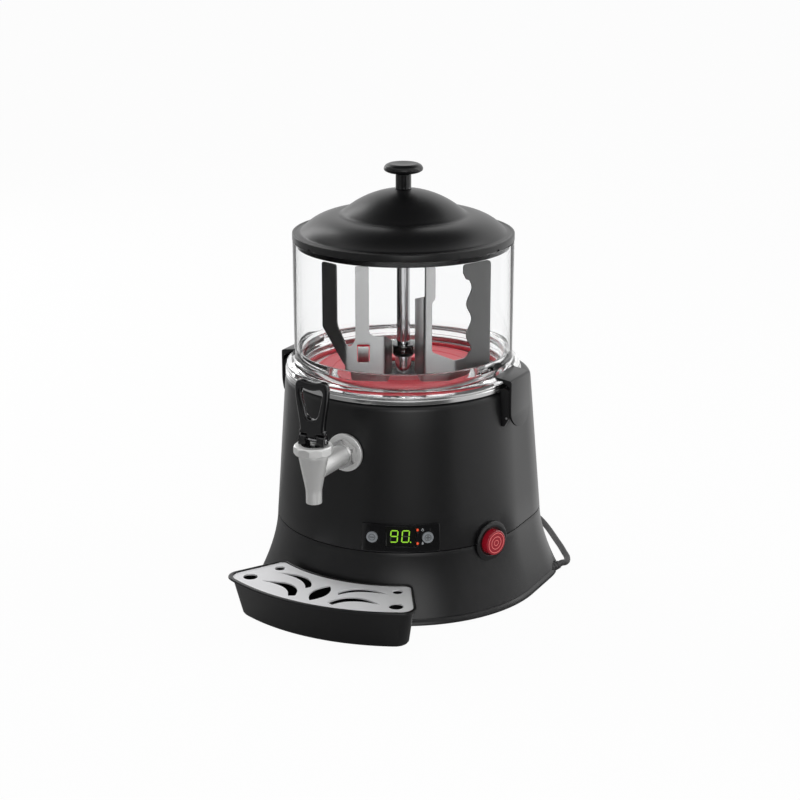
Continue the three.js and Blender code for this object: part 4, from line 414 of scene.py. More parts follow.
def plate(
    name: str,
    outline: Sequence[Point],
    thickness: float,
    holes: Sequence[Sequence[Point]] = (),
    edge: float = 0,
    edge_steps: int = 1,
) -> Piece:
    """Makes a flat plate on the XY plane.

    Args:
        name: The new object's name.
        outline: The plate's edge.
        thickness: The whole thickness, half of it on each side of the plane. Zero leaves a flat face.
        holes: The edges of its openings.
        edge: How far its edges are rounded.
        edge_steps: How fine the rounding is.

    Returns:
        The plate.
    """
    curve = bpy.data.curves.new(name, "CURVE")
    curve.dimensions = "2D"
    curve.fill_mode = "BOTH"
    for loop in (outline, *holes):
        spline = curve.splines.new("POLY")
        spline.points.add(len(loop) - 1)
        for point, (x, y) in zip(spline.points, loop):
            point.co = (x, y, 0, 1)
        spline.use_cyclic_u = True
    curve.extrude = max(thickness / 2 - edge, 0)
    curve.bevel_depth = edge
    curve.bevel_resolution = edge_steps
    curve.offset = -edge
    return meshed(name, curve)


def sliced(piece: Piece, places: Sequence[float], direction: Spot = (1, 0, 0)) -> Piece:
    """Cuts edges across a flat piece at some places along a direction, so that it can bend there.

    Args:
        piece: The flat piece.
        places: How far along the direction each cut is.
        direction: The direction, which each cut is square to.

    Returns:
        The piece.
    """
    with editing(piece):
        for place in places:
            bpy.ops.mesh.select_all(action="SELECT")
            bpy.ops.mesh.bisect(plane_co=Vector(direction) * place, plane_no=direction)
    return piece


def with_modifier(piece: Piece, kind: str, **settings: object) -> Piece:
    """Adds a modifier with these settings and applies it.

    Args:
        piece: The piece.
        kind: The modifier's type.
        settings: The modifier's properties.

    Returns:
        The piece.
    """
    modifier = piece.modifiers.new(kind.lower(), kind)
    for setting, value in settings.items():
        setattr(modifier, setting, value)
    take(piece)
    bpy.ops.object.modifier_apply(modifier=modifier.name)
    return piece


def combined(piece: Piece, *tools: Piece, how: str = "DIFFERENCE") -> Piece:
    """Cuts, joins or trims a piece with other solids, which are used up.

    Args:
        piece: The piece that is worked on.
        tools: The solids that it is worked with, one after another.
        how: The Boolean modifier's operation.

    Returns:
        The piece.
    """
    for tool in tools:
        with_modifier(piece, "BOOLEAN", operation=how, solver="EXACT", object=tool)
        bpy.data.objects.remove(tool)
    return piece


def bevelled(piece: Piece, width: float, segments: int = 2, angle: float = 40) -> Piece:
    """Rounds the edges that are sharper than an angle in degrees."""
    limit = math.radians(angle)
    return with_modifier(piece, "BEVEL", width=width, segments=segments, limit_method="ANGLE", angle_limit=limit)


def joined(name: str, *pieces: Piece) -> Piece:
    """Makes several objects into one.

    Args:
        name: The name of the whole.
        pieces: The objects. The first one takes up the others.

    Returns:
        The first object.
    """
    take(*pieces)
    if len(pieces) > 1:
        bpy.ops.object.join()
    pieces[0].name = name
    return pieces[0]


def moved(piece: Piece, matrix: Matrix) -> Piece:
    """Moves a piece's mesh, and leaves its object where it is.

    Args:
        piece: The piece.
        matrix: The move, which may mirror the piece.

    Returns:
        The piece.
    """
    piece.data.transform(matrix)
    if matrix.determinant() < 0:
        piece.data.flip_normals()
    return piece


def shift(x: float = 0, y: float = 0, z: float = 0) -> Matrix:
    """Returns the matrix of a plain move."""
    return Matrix.Translation((x, y, z))


def turn(degrees: float, axis: str = "Z") -> Matrix:
    """Returns the matrix of a turn about an axis."""
    return Matrix.Rotation(math.radians(degrees), 4, axis)


def facing(azimuth: float, height: float, distance: float = 0) -> Matrix:
    """Returns the matrix that stands a piece drawn along +Z out from the bowl's axis.

    Args:
        azimuth: Where it points, in degrees from the front towards +X.
        height: Its height.
        distance: How far from the axis its own zero is.

    Returns:
        The matrix. The piece's +X goes to its right and its +Y goes up.
    """
    return turn(azimuth) @ shift(y=-distance, z=height) @ turn(90, "X")


def block(name: str, low: Spot, high: Spot) -> Piece:
    """Makes a square tool between two corners, for cutting with.

    Args:
        name: The new object's name.
        low: The corner with the lowest coordinates.
        high: The corner with the highest coordinates.

    Returns:
        The tool.
    """
    deselect_all()
    middle = [(a + b) / 2 for a, b in zip(low, high)]
    size = [abs(b - a) for a, b in zip(low, high)]
    bpy.ops.mesh.primitive_cube_add(size=1, location=middle, scale=size)
    bpy.ops.object.transform_apply(location=True, rotation=True, scale=True)
    bpy.context.object.name = name
    return bpy.context.object


# Shader groups


class Wiring:
    """Adds nodes to the tree of one material or group, and links them."""

    def __init__(self, tree: bpy.types.NodeTree) -> None:
        """Starts on an empty tree."""
        self.tree = tree
        tree.nodes.clear()

    def add(self, kind: str, **settings: object) -> bpy.types.Node:
        """Adds a node.

        Args:
            kind: The node's type.
            settings: What names an input sets it, or is linked to it. The rest sets the node.

        Returns:
            The node.
        """
        node = self.tree.nodes.new(kind)
        for name, value in settings.items():
            label = name.replace("_", " ").title()
            if label not in node.inputs:
                setattr(node, name, value)
            elif isinstance(value, Socket):
                self.link(value, node.inputs[label])
            else:
                node.inputs[label].default_value = value
        return node

    def maths(self, operation: str, first: object, second: object = 0.0) -> Socket:
        """Adds a sum of two sockets or numbers, and returns what comes out of it.

        Args:
            operation: The kind of sum.
            first: The first socket or number.
            second: The second socket or number, where the sum has one.

        Returns:
            The result's socket.
        """
        node = self.tree.nodes.new("ShaderNodeMath")
        node.operation = operation
        for socket, value in zip(node.inputs, (first, second)):
            if isinstance(value, Socket):
                self.link(value, socket)
            else:
                socket.default_value = value
        return node.outputs[0]

    def noise(self, place: Socket, scale: object, detail: float) -> Socket:
        """Adds a noise texture at a place, and returns its value."""
        return self.add("ShaderNodeTexNoise", detail=detail, vector=place, scale=scale).outputs["Fac"]

    def link(self, source: Socket, target: Socket) -> None:
        """Joins an output to an input."""
        self.tree.links.new(source, target)

    def surface(self, share: Socket, first: Socket, second: Socket) -> None:
        """Mixes two shaders by a share of the second, and makes that the surface.

        Args:
            share: The share of the second shader.
            first: The first shader.
            second: The second shader.
        """
        mix = self.add("ShaderNodeMixShader")
        for socket, source in zip(mix.inputs, (share, first, second)):
            self.link(source, socket)
        self.add("ShaderNodeOutputMaterial", surface=mix.outputs[0])


Drawing = Callable[[Wiring, bpy.types.bpy_prop_collection, Socket], tuple[Socket, Socket]]


def pattern(name: str, inputs: dict[str, float], draw: Drawing) -> bpy.types.NodeTree:
    """Builds a shader group with the outputs Height and Roughness.

    Args:
        name: The group's name.
        inputs: Its inputs with their usual values, Roughness among them.
        draw: Adds the nodes, and returns the height and how far the roughness sways.

    Returns:
        The group.
    """
    tree = bpy.data.node_groups.new(name, "ShaderNodeTree")
    wiring = Wiring(tree)
    for label, value in inputs.items():
        socket = tree.interface.new_socket(name=label, in_out="INPUT", socket_type="NodeSocketFloat")
        socket.default_value = value
    for label in ("Height", "Roughness"):
        tree.interface.new_socket(name=label, in_out="OUTPUT", socket_type="NodeSocketFloat")
    given, made = wiring.add("NodeGroupInput").outputs, wiring.add("NodeGroupOutput").inputs
    height, sway = draw(wiring, given, wiring.add("ShaderNodeTexCoord").outputs["Object"])
    wiring.link(height, made["Height"])
    wiring.link(wiring.maths("ADD", given["Roughness"], sway), made["Roughness"])
    return tree


def moulded_grain(wiring: Wiring, given: bpy.types.bpy_prop_collection, place: Socket) -> tuple[Socket, Socket]:
    """Draws the fine spark-eroded grain of moulded plastic, with a slow cloud in its roughness.

    Args:
        wiring: The group's wiring.
        given: The group's inputs.
        place: The place on the object.

    Returns:
        The height, and how far the roughness sways.
    """
    grain = wiring.noise(place, given["Grain"], 3)
    cloud = wiring.noise(place, 17, 4)
    sway = wiring.maths("MULTIPLY", wiring.maths("SUBTRACT", cloud, 0.5), given["Cloud"])
    speckle = wiring.maths("MULTIPLY", wiring.maths("SUBTRACT", grain, 0.5), 0.06)
    return grain, wiring.maths("ADD", sway, speckle)


def turned_marks(wiring: Wiring, given: bpy.types.bpy_prop_collection, place: Socket) -> tuple[Socket, Socket]:
    """Draws the fine rings that a lathe or a polishing wheel leaves round an upright axis.

    Args:
        wiring: The group's wiring.
        given: The group's inputs.
        place: The place on the object.

    Returns:
        The height, and how far the roughness sways.
    """
    parts = wiring.add("ShaderNodeSeparateXYZ", vector=place).outputs
    across = wiring.maths("SUBTRACT", parts["X"], given["Across"])
    along = wiring.maths("SUBTRACT", parts["Y"], given["Along"])
    squares = [wiring.maths("MULTIPLY", side, side) for side in (across, along)]
    rings = wiring.add(
        "ShaderNodeCombineXYZ",
        x=wiring.maths("MULTIPLY", wiring.maths("SQRT", wiring.maths("ADD", *squares)), given["Density"]),
        y=wiring.maths("MULTIPLY", parts["Z"], given["Density"]),
        z=wiring.maths("MULTIPLY", wiring.maths("ARCTAN2", along, across), 1.5),
    )
    marks = wiring.noise(rings.outputs[0], 1.0, 3)
    mixed = wiring.maths("MULTIPLY", marks, wiring.noise(place, 24, 3))
    return marks, wiring.maths("MULTIPLY", wiring.maths("SUBTRACT", mixed, 0.25), given["Spread"])


def sheet_grain(wiring: Wiring, given: bpy.types.bpy_prop_collection, place: Socket) -> tuple[Socket, Socket]:
    """Draws the straight rolling grain of a steel sheet, along the axis whose input is small.

    Args:
        wiring: The group's wiring.
        given: The group's inputs.
        place: The place on the object.

    Returns:
        The height, and how far the roughness sways.
    """
    parts = wiring.add("ShaderNodeSeparateXYZ", vector=place).outputs
    wide = {axis.lower(): wiring.maths("MULTIPLY", parts[axis], given[f"Along {axis}"]) for axis in "XYZ"}
    streaks = wiring.noise(wiring.add("ShaderNodeCombineXYZ", **wide).outputs[0], 1.0, 3)
    smudges = wiring.noise(place, 31, 4)
    both = wiring.maths("ADD", wiring.maths("SUBTRACT", streaks, 0.5), wiring.maths("SUBTRACT", smudges, 0.5))
    return streaks, wiring.maths("MULTIPLY", both, given["Spread"])


class Groups:
    """The shader groups, each built once."""

    def __init__(self) -> None:
        """Builds the groups."""
        self.grain = pattern("moulded_grain", {"Grain": 900, "Roughness": 0.4, "Cloud": 0.05}, moulded_grain)
        inputs = {"Across": 0.0, "Along": 0.0, "Density": 1800, "Roughness": 0.25, "Spread": 0.12}
        self.turned = pattern("turned_marks", inputs, turned_marks)
        inputs = {"Along X": 1600, "Along Y": 1600, "Along Z": 24, "Roughness": 0.3, "Spread": 0.15}
        self.sheet = pattern("sheet_grain", inputs, sheet_grain)


# Finishes


Started = tuple[Material, Wiring, bpy.types.Node, bpy.types.bpy_prop_collection]


@dataclass(frozen=True)
class Finish:
    """What every finish has: a name, the record's slot, a colour and how rough it is."""

    name: str
    slot: Slot
    colour: Spot
    roughness: float

    def start(self, group: bpy.types.NodeTree, **values: float) -> Started:
        """Starts the material, with its roughness from a pattern.

        Args:
            group: The pattern's group.
            values: What the group's other inputs are set to.

        Returns:
            The material, its wiring, its shader and the pattern's outputs.
        """
        material = bpy.data.materials.new(self.name)
        material.use_nodes = True
        material.diffuse_color = (*self.colour, 1)
        wiring = Wiring(material.node_tree)
        marks = wiring.add("ShaderNodeGroup", node_tree=group, roughness=self.roughness, **values).outputs
        rough = marks["Roughness"]
        shader = wiring.add("ShaderNodeBsdfPrincipled", base_color=(*self.colour, 1), roughness=rough)
        wiring.add("ShaderNodeOutputMaterial", surface=shader.outputs[0])
        return material, wiring, shader, marks

    @staticmethod
    def bumped(wiring: Wiring, shader: bpy.types.Node, height: Socket, depth: float) -> None:
        """Feeds a height to the shader's normal through a bump of some depth in millimetres."""
        bump = wiring.add("ShaderNodeBump", strength=1.0, distance=depth * MM, height=height)
        wiring.link(bump.outputs[0], shader.inputs["Normal"])

    @staticmethod
    def shaded(wiring: Wiring, share: Socket, low: Sequence[float], high: Sequence[float], target: Socket) -> None:
        """Feeds a socket a colour that lies between two, by a share of the second.

        Args:
            wiring: The material's wiring.
            share: The share of the second colour.
            low: The first colour.
            high: The second colour.
            target: The socket that the colour is fed to.
        """
        shade = wiring.add("ShaderNodeMix", data_type="RGBA")
        wiring.link(share, shade.inputs[0])
        shade.inputs[6].default_value = (*low, 1)
        shade.inputs[7].default_value = (*high, 1)
        wiring.link(shade.outputs[2], target)


@dataclass(frozen=True)
class Moulded(Finish):
    """Moulded plastic, rubber or silicone."""

    grain: float = 900
    depth: float = 0.02
    cloud: float = 0.06
    coat: float = 0
    sheen: float = 0
    tint: float = 0.1

    def build(self, groups: Groups) -> Material:
        """Builds the material.

        Args:
            groups: The shader groups.

        Returns:
            The material.
        """
        material, wiring, shader, marks = self.start(groups.grain, grain=self.grain, cloud=self.cloud)
        self.bumped(wiring, shader, marks["Height"], self.depth)
        low, high = ([part * (1 + side * self.tint) for part in self.colour] for side in SIDES)
        self.shaded(wiring, marks["Height"], low, high, shader.inputs["Base Color"])
        shader.inputs["Coat Weight"].default_value = self.coat
        shader.inputs["Coat Roughness"].default_value = 0.08
        shader.inputs["Sheen Weight"].default_value = self.sheen
        return material


@dataclass(frozen=True)
class TurnedMetal(Finish):
    """Metal with fine rings round an upright axis, in metres."""

    along: float = 0
    density: float = 1800
    spread: float = 0.12
    depth: float = 0.004

    def build(self, groups: Groups) -> Material:
        """Builds the material.

        Args:
            groups: The shader groups.

        Returns:
            The material.
        """
        values = {"along": self.along, "density": self.density, "spread": self.spread}
        material, wiring, shader, marks = self.start(groups.turned, **values)
        shader.inputs["Metallic"].default_value = 1
        self.bumped(wiring, shader, marks["Height"], self.depth)
        return material


@dataclass(frozen=True)
class SheetMetal(Finish):
    """Sheet or cast metal with a straight grain."""

    grain: Spot = (1600, 1600, 24)
    spread: float = 0.15
    depth: float = 0.004

    def build(self, groups: Groups) -> Material:
        """Builds the material.

        Args:
            groups: The shader groups.

        Returns:
            The material.
        """
        values = dict(zip(("along_x", "along_y", "along_z"), self.grain))
        material, wiring, shader, marks = self.start(groups.sheet, spread=self.spread, **values)
        shader.inputs["Metallic"].default_value = 1
        self.bumped(wiring, shader, marks["Height"], self.depth)
        return material


@dataclass(frozen=True)
class Clear(Finish):
    """Clear moulded plastic, with faint flow marks."""

    ior: float = 1.12

    def build(self, groups: Groups) -> Material:
        """Builds the material.

        Args:
            groups: The shader groups.

        Returns:
            The material.
        """
        material, wiring, shader, marks = self.start(groups.grain, grain=60, cloud=0.02)
        shader.inputs["Transmission Weight"].default_value = 1
        shader.inputs["IOR"].default_value = self.ior
        rough = wiring.maths("MAXIMUM", marks["Roughness"], self.roughness)
        wiring.link(rough, shader.inputs["Roughness"])
        return material


@dataclass(frozen=True)
class Lit(Finish):
    """A lens or a segment that glows."""

    glow: Spot = (1, 1, 1)
    strength: float = 1
    coat: float = 0

    def build(self, groups: Groups) -> Material:
        """Builds the material.

        Args:
            groups: The shader groups.

        Returns:
            The material.
        """
        material, wiring, shader, marks = self.start(groups.grain, grain=600)
        dim = [part * 0.8 for part in self.glow]
        self.shaded(wiring, marks["Height"], dim, self.glow, shader.inputs["Emission Color"])
        shader.inputs["Emission Strength"].default_value = self.strength
        shader.inputs["Coat Weight"].default_value = self.coat
        return material


class Finishes:
    """All the finishes of the machine, built once each."""

    def __init__(self, axis_y: float, tap_y: float) -> None:
        """Builds the materials.

        Args:
            axis_y: How far along Y the bowl's axis stands, in metres.
            tap_y: How far along Y the tap's axis stands, in metres.
        """
        steel, clear, window = Slot.POLISHED, (0.985, 0.988, 0.99), Slot.DARK_WINDOW
        red, lamp, silver = Slot.RED_LENS, Slot.ORANGE_LENS, Slot.SILVER
        self.table = {
            "shell": Moulded("shell_black", Slot.SHELL, BLACK, 0.36, grain=1100, depth=0.012),
            "gloss": Moulded("gloss_black", Slot.GLOSS, BLACK, 0.14, grain=300, depth=0.003, coat=0.3),
            "lid": Moulded("lid_black", Slot.LID, BLACK, 0.35, grain=1500, depth=0.006),
            "tray": Moulded("tray_black", Slot.GLOSS, (0.005, 0.005, 0.0055), 0.33, grain=1300, depth=0.01),
            "rubber": Moulded("cord_rubber", Slot.RUBBER, (0.012, 0.012, 0.013), 0.62, 2200, 0.03, sheen=0.1),
            "silicone": Moulded("red_silicone", Slot.SILICONE, (0.8, 0.045, 0.07), 0.42, 700, 0.01, sheen=0.15),
            "silver": Moulded("key_silver", silver, (0.21, 0.225, 0.24), 0.35, grain=1500, depth=0.006),
            "mark": Moulded("print_grey", silver, (0.3, 0.31, 0.32), 0.5, grain=2000, depth=0.002),
            "dark_mark": Moulded("print_dark", silver, (0.07, 0.075, 0.08), 0.5, grain=2000, depth=0.002),
            "window": Moulded("window_smoke", window, (0.0035, 0.004, 0.003), 0.08, 200, 0.002, coat=0.4),
            "idle": Moulded("segment_idle", window, (0.035, 0.05, 0.018), 0.4, grain=1500, depth=0.002),
            "red_cap": Lit("cap_red", red, (0.2, 0.004, 0.012), 0.2, (0.5, 0.012, 0.025), 0.16, 0.6),
            "red_ring": Lit("cap_ring", red, (0.7, 0.16, 0.16), 0.25, (0.9, 0.16, 0.14), 0.15, 0.4),
            "digit": Lit("segment_green", window, (0.1, 0.3, 0.02), 0.4, (0.36, 0.75, 0.015), 0.7),
            "lamp": Lit("lamp_orange", lamp, (0.6, 0.05, 0.015), 0.3, (1, 0.1, 0.02), 0.45, 0.3),
            "polished": TurnedMetal("steel_polished", steel, (0.6, 0.6, 0.61), 0.13, axis_y, 2600),
            "rim": TurnedMetal("steel_rim", steel, (0.66, 0.66, 0.66), 0.24, axis_y, 2200, 0.2),
            "cast": TurnedMetal("tap_steel", steel, (0.92, 0.92, 0.91), 0.55, tap_y, 1500, 0.16, 0.006),
            "blades": SheetMetal("steel_blades", Slot.BRUSHED, (0.4, 0.4, 0.4), 0.32, spread=0.06, depth=0.002),
            "grid": SheetMetal("steel_grid", steel, (0.93, 0.93, 0.94), 0.68, (26, 1500, 1500), 0.08),
            "satin": SheetMetal("steel_satin", steel, (0.5, 0.5, 0.51), 0.38),
            "zinc": SheetMetal("zinc_plate", Slot.ZINC, (0.42, 0.43, 0.44), 0.5, (300, 300, 300), 0.3, 0.02),
            "brass": SheetMetal("pin_brass", Slot.BRASS, (0.62, 0.5, 0.24), 0.28, (1500, 1500, 60)),
            "board": Moulded("board_green", Slot.BOARD, (0.02, 0.12, 0.05), 0.5, grain=1300, depth=0.02),
            "clear": Clear("bowl_clear", Slot.CLEAR, clear, 0.0),
            "flange": Clear("flange_clear", Slot.CLEAR, clear, 0.0, ior=1.45),
        }
        groups = Groups()
        self.made = {name: finish.build(groups) for name, finish in self.table.items()}

    def __getitem__(self, name: str) -> Material:
        """Returns the material of this name."""
        return self.made[name]


# The machine


@dataclass
class Shop:
    """What every sub-assembly is made with: the finishes and the bowl's axis."""

    finishes: Finishes
    axis_y: float

    def settle(
        self, piece: Piece, finish: str, *nodes: str, body: Body = Body.BASE, angle: float = SMOOTH_ANGLE
    ) -> Piece:
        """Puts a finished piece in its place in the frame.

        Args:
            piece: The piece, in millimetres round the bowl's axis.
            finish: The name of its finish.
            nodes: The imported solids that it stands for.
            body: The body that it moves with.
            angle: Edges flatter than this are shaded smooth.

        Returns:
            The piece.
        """
        piece.data.transform(Matrix.Translation((0, self.axis_y, 0)) @ Matrix.Scale(MM, 4))
        piece.data.name = piece.name
        piece.data.materials.clear()
        piece.data.materials.append(self.finishes[finish])
        take(piece)
        bpy.ops.object.shade_smooth_by_angle(angle=angle)
        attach(piece, body.value)
        if nodes:
            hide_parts(*nodes)
        log.info("%s: %d faces on %s", piece.name, len(piece.data.polygons), body.value)
        return piece


@dataclass(frozen=True)
class WallForm:
    """The housing's shape at any height: a round front, straight sides and a flat back."""

    split: float = 71.5
    top: float = 215.3
    bottom: float = 3
    at_split: Spot = (127.5, 122, 84)
    at_top: Spot = (117.5, 118.5, 90)
    flare: Spot = (18.5, 5, -5)
    flare_power: float = 1.7
    steps: int = 216

    def section(self, height: float) -> Spot:
        """Returns the front radius, the back distance and the corner radius at a height.

        Args:
            height: The height.

        Returns:
            The three measures, in that order.
        """
        if height >= self.split:
            share = (height - self.split) / (self.top - self.split)
            return tuple(lerp(low, high, share) for low, high in zip(self.at_split, self.at_top))
        share = ((self.split - height) / (self.split - self.bottom)) ** self.flare_power
        return tuple(size + grow * share for size, grow in zip(self.at_split, self.flare))

    def reach(self, angle: float, section: Spot) -> float:
        """Returns how far a section's outline is from the axis, in a direction in radians from +X.

        Args:
            angle: The direction.
            section: The front radius, the back distance and the corner radius.

        Returns:
            The distance.
        """
        front, back, corner = section
        along, away = abs(math.cos(angle)), math.sin(angle)
        if away <= 0:
            return front
        if along > 0 and front / along * away <= back - corner:
            return front / along
        if back / away * along <= front - corner:
            return back / away
        centre = (front - corner, back - corner)
        towards = along * centre[0] + away * centre[1]
        return towards + math.sqrt(towards**2 - centre[0] ** 2 - centre[1] ** 2 + corner**2)

    def ring(self, height: float, inset: float = 0) -> list[Spot]:
        """Returns the wall's outline at a height, moved inwards by an inset.

        Args:
            height: The height.
            inset: How far inwards the outline is moved.

        Returns:
            The outline's points.
        """
        section = tuple(size - inset for size in self.section(height))
        angles = [FULL_TURN * i / self.steps for i in range(self.steps)]
        reaches = [self.reach(angle, section) for angle in angles]
        return [(r * math.cos(a), r * math.sin(a), height) for r, a in zip(reaches, angles)]

    def circle(self, radius: float, height: float) -> list[Spot]:
        """Returns a plain circle with as many points as the wall's outlines."""
        return [(x, y, height) for x, y in circle(radius, self.steps)]

    def inside(self, heights: Sequence[float], inset: float) -> Piece:
        """Makes a solid tool that fills the wall, moved inwards by an inset, between two heights."""
        return loft("inside", [self.ring(height, inset) for height in heights], capped=True)

    def wrapped(self, piece: Piece, azimuth: float, height: float, proud: float) -> Piece:
        """Bends a flat piece round the wall's front.

        Args:
            piece: The piece on the XY plane: X runs to the right, Y runs up, Z outwards.
            azimuth: Where its zero goes, in degrees from the front.
            height: The height of its zero.
            proud: How far its zero stands out from the wall.

        Returns:
            The piece.
        """
        radius = self.section(height)[0]
        for vertex in piece.data.vertices:
            angle = math.radians(azimuth) + vertex.co.x / radius
            level = height + vertex.co.y
            reach = self.section(level)[0] + proud + vertex.co.z
            vertex.co = (reach * math.sin(angle), -reach * math.cos(angle), level)
        return piece

    def standing(self, piece: Piece, azimuth: float, height: float, proud: float = 0) -> Piece:
        """Stands a piece drawn along +Z out from the wall's front."""
        return moved(piece, facing(azimuth, height, self.section(height)[0] + proud))


@dataclass
class Housing:
    """The two black shells, with the openings that the other pieces need, and the rubber feet."""

    shop: Shop
    wall: WallForm
    tap: Tap
    panel: ControlPanel
    switch: PowerSwitch
    lead: MainsLead
    thickness: float = 2.5
    seam: float = 0.5
    seam_round: float = 0.7
    wall_levels: Spot = (99.5, 148, 186)
    deck_round: float = 6
    deck_thickness: float = 2.4
    deck_hole: float = 109.5
    groove: Point = (8.4, 0.6)
    tap_hole: float = 10.3
    switch_hole: float = 17
    stem_hole: float = 2.55
    lamp_hole: float = 1.9
    lead_notch: float = 5.64
    vent_size: Point = (4, 34)
    vent_pitch: float = 9
    vent_count: int = 5
    vent_height: float = 118
    foot_places: tuple[Point, ...] = ((-92, -62), (92, -62), (-92, 88), (92, 88))
    foot: Turned = Turned(
        ((0, 0.917), (3.667, 0.611), (5.5, 0), (11, 0), (11, 5.7), (4, 5.7), (4, 8), (0, 8)),
        {1: 0.917, 2: 0.917, 3: 1.833, 4: 0.611}, steps=48, ring=False,
    )
    boss_radius: float = 5
    boss_span: Point = (8.3, 33)
    boss_web: float = 71
    tongue_slot: tuple[float, float, float, float] = (38, 10.3, 14.2, 17.8)
    tongue_span: Point = (-154, -122)
    levels: int = 16

    def bore(self, azimuth: float, height: float, radius: float, steps: int = 24) -> Piece:
        """Makes a tool that bores a hole through the wall's front."""
        return self.wall.standing(rod(radius, -20, 20, steps), azimuth, height)

    def vent(self, place: float) -> Piece:
        """Makes the tool for one upright slot with round ends in the back, at a place along X.

        Args:
            place: How far along X the slot is.

        Returns:
            The tool.
        """
        half, straight = self.vent_size[0] / 2, (self.vent_size[1] - self.vent_size[0]) / 2
        outline = [*arc((0, straight), half, 0, 180, 8), *arc((0, -straight), half, 180, 360, 8)]
        upright = shift(place, self.wall.at_top[1], self.vent_height) @ turn(90, "X")
        return moved(plate("vent", outline, 40), upright)

    def upper_shell(self) -> Piece:
        """Makes the upper housing with its deck and its openings.

        Returns:
            The upper housing.
        """
        wall, low, high, edge = self.wall, self.wall.split, self.wall.top, self.seam_round
        rings = [wall.ring(low, 2 * edge), wall.ring(low + 0.3 * edge, 0.3 * edge), wall.ring(low + edge)]
        rings += [wall.ring(level) for level in self.wall_levels]
        for angle in spread(0, math.pi / 2, 8):
            level = high - self.deck_round * (1 - math.sin(angle))
            rings.append(wall.ring(level, self.deck_round * (1 - math.cos(angle))))
        rings += [
            wall.circle(self.deck_hole + edge, high),
            wall.circle(self.deck_hole, high - edge),
            wall.circle(self.deck_hole, high - self.deck_thickness),
            wall.ring(high - self.deck_thickness, self.deck_round + self.thickness),
            wall.ring(high - self.deck_round, self.thickness),
            wall.ring(low, self.thickness),
        ]
        panel, tap, half_row = self.panel, self.tap, (self.vent_count - 1) / 2
        vents = [self.vent((i - half_row) * self.vent_pitch) for i in range(self.vent_count)]
        tools = [self.bore(self.switch.azimuth, low, self.switch_hole, 48)]
        tools.append(self.bore(0, tap.height, self.tap_hole, 48))
        tools.append(joined("vents", *vents))
        tools += [self.bore(azimuth, panel.key_height, self.stem_hole) for azimuth in panel.key_azimuths]
        tools += [self.bore(panel.lamp_azimuth, height, self.lamp_hole) for height in panel.lamp_heights]
        return combined(loft("upper_shell", rings), *tools)

    def lower_shell(self) -> Piece:
        """Makes the flared skirt, with the fine groove above its foot and the notch for the lead.

        Returns:
            The lower housing.
        """
        wall, low, high, edge = self.wall, self.wall.bottom, self.wall.split - self.seam, self.seam_round
        groove, depth = self.groove
        outer = [(low, 1.2), (low + 0.4, 0.4), (low + 1.2, 0), (groove - 1.1, 0), (groove - 0.5, depth)]
        outer += [(groove + 0.5, depth), (groove + 1.1, 0)]
        outer += [(level, 0) for level in spread(groove + 1.1, high - edge, self.levels)[1:]]
        outer += [(high - 0.3 * edge, 0.3 * edge), (high, 2 * edge)]
        inner = [(level, self.thickness) for level in spread(high, low, self.levels)]
        shell = loft("lower_shell", [wall.ring(z, inset) for z, inset in outer + inner])
        combined(shell, *self.bosses(), how="UNION")
        x, half, z0, z1 = self.tongue_slot
        back, front = self.tongue_span
        slots = [block("slot", (side * x - half, back, z0), (side * x + half, front, z1)) for side in SIDES]
        switch_bore = self.bore(self.switch.azimuth, wall.split, self.switch_hole, 48)
        return combined(shell, *slots, switch_bore, moved(rod(self.lead_notch, -32, 14), self.lead.way_out()))

    def bosses(self) -> list[Piece]:
        """Makes the screw bosses over the feet, each with a web to the skirt's inside.

        Returns:
            The bosses and the webs.
        """
        bosses, half, (bottom, high) = [], self.boss_radius / 2, self.boss_span
        low = high * 2 / 3
        for x, y in self.foot_places:
            bosses.append(moved(rod(self.boss_radius, bottom, high, 24), shift(x, y)))
            web = block("web", (x, y - half, low), (x + math.copysign(self.boss_web, x), y + half, high))
            inside = self.wall.inside((low - 1, (low + high) / 2, high + 1), self.thickness / 2)
            bosses.append(combined(web, inside, how="INTERSECT"))
        return bosses

    def build(self) -> None:
        """Builds and places the housing's pieces."""
        self.shop.settle(self.lower_shell(), "shell", "lower_skirt")
        self.shop.settle(self.upper_shell(), "shell", "upper_housing")
        for i, (x, y) in enumerate(self.foot_places, 1):
            self.shop.settle(moved(self.foot.make(f"foot_{i}"), shift(x, y)), "rubber", f"rubber_foot_{i}")


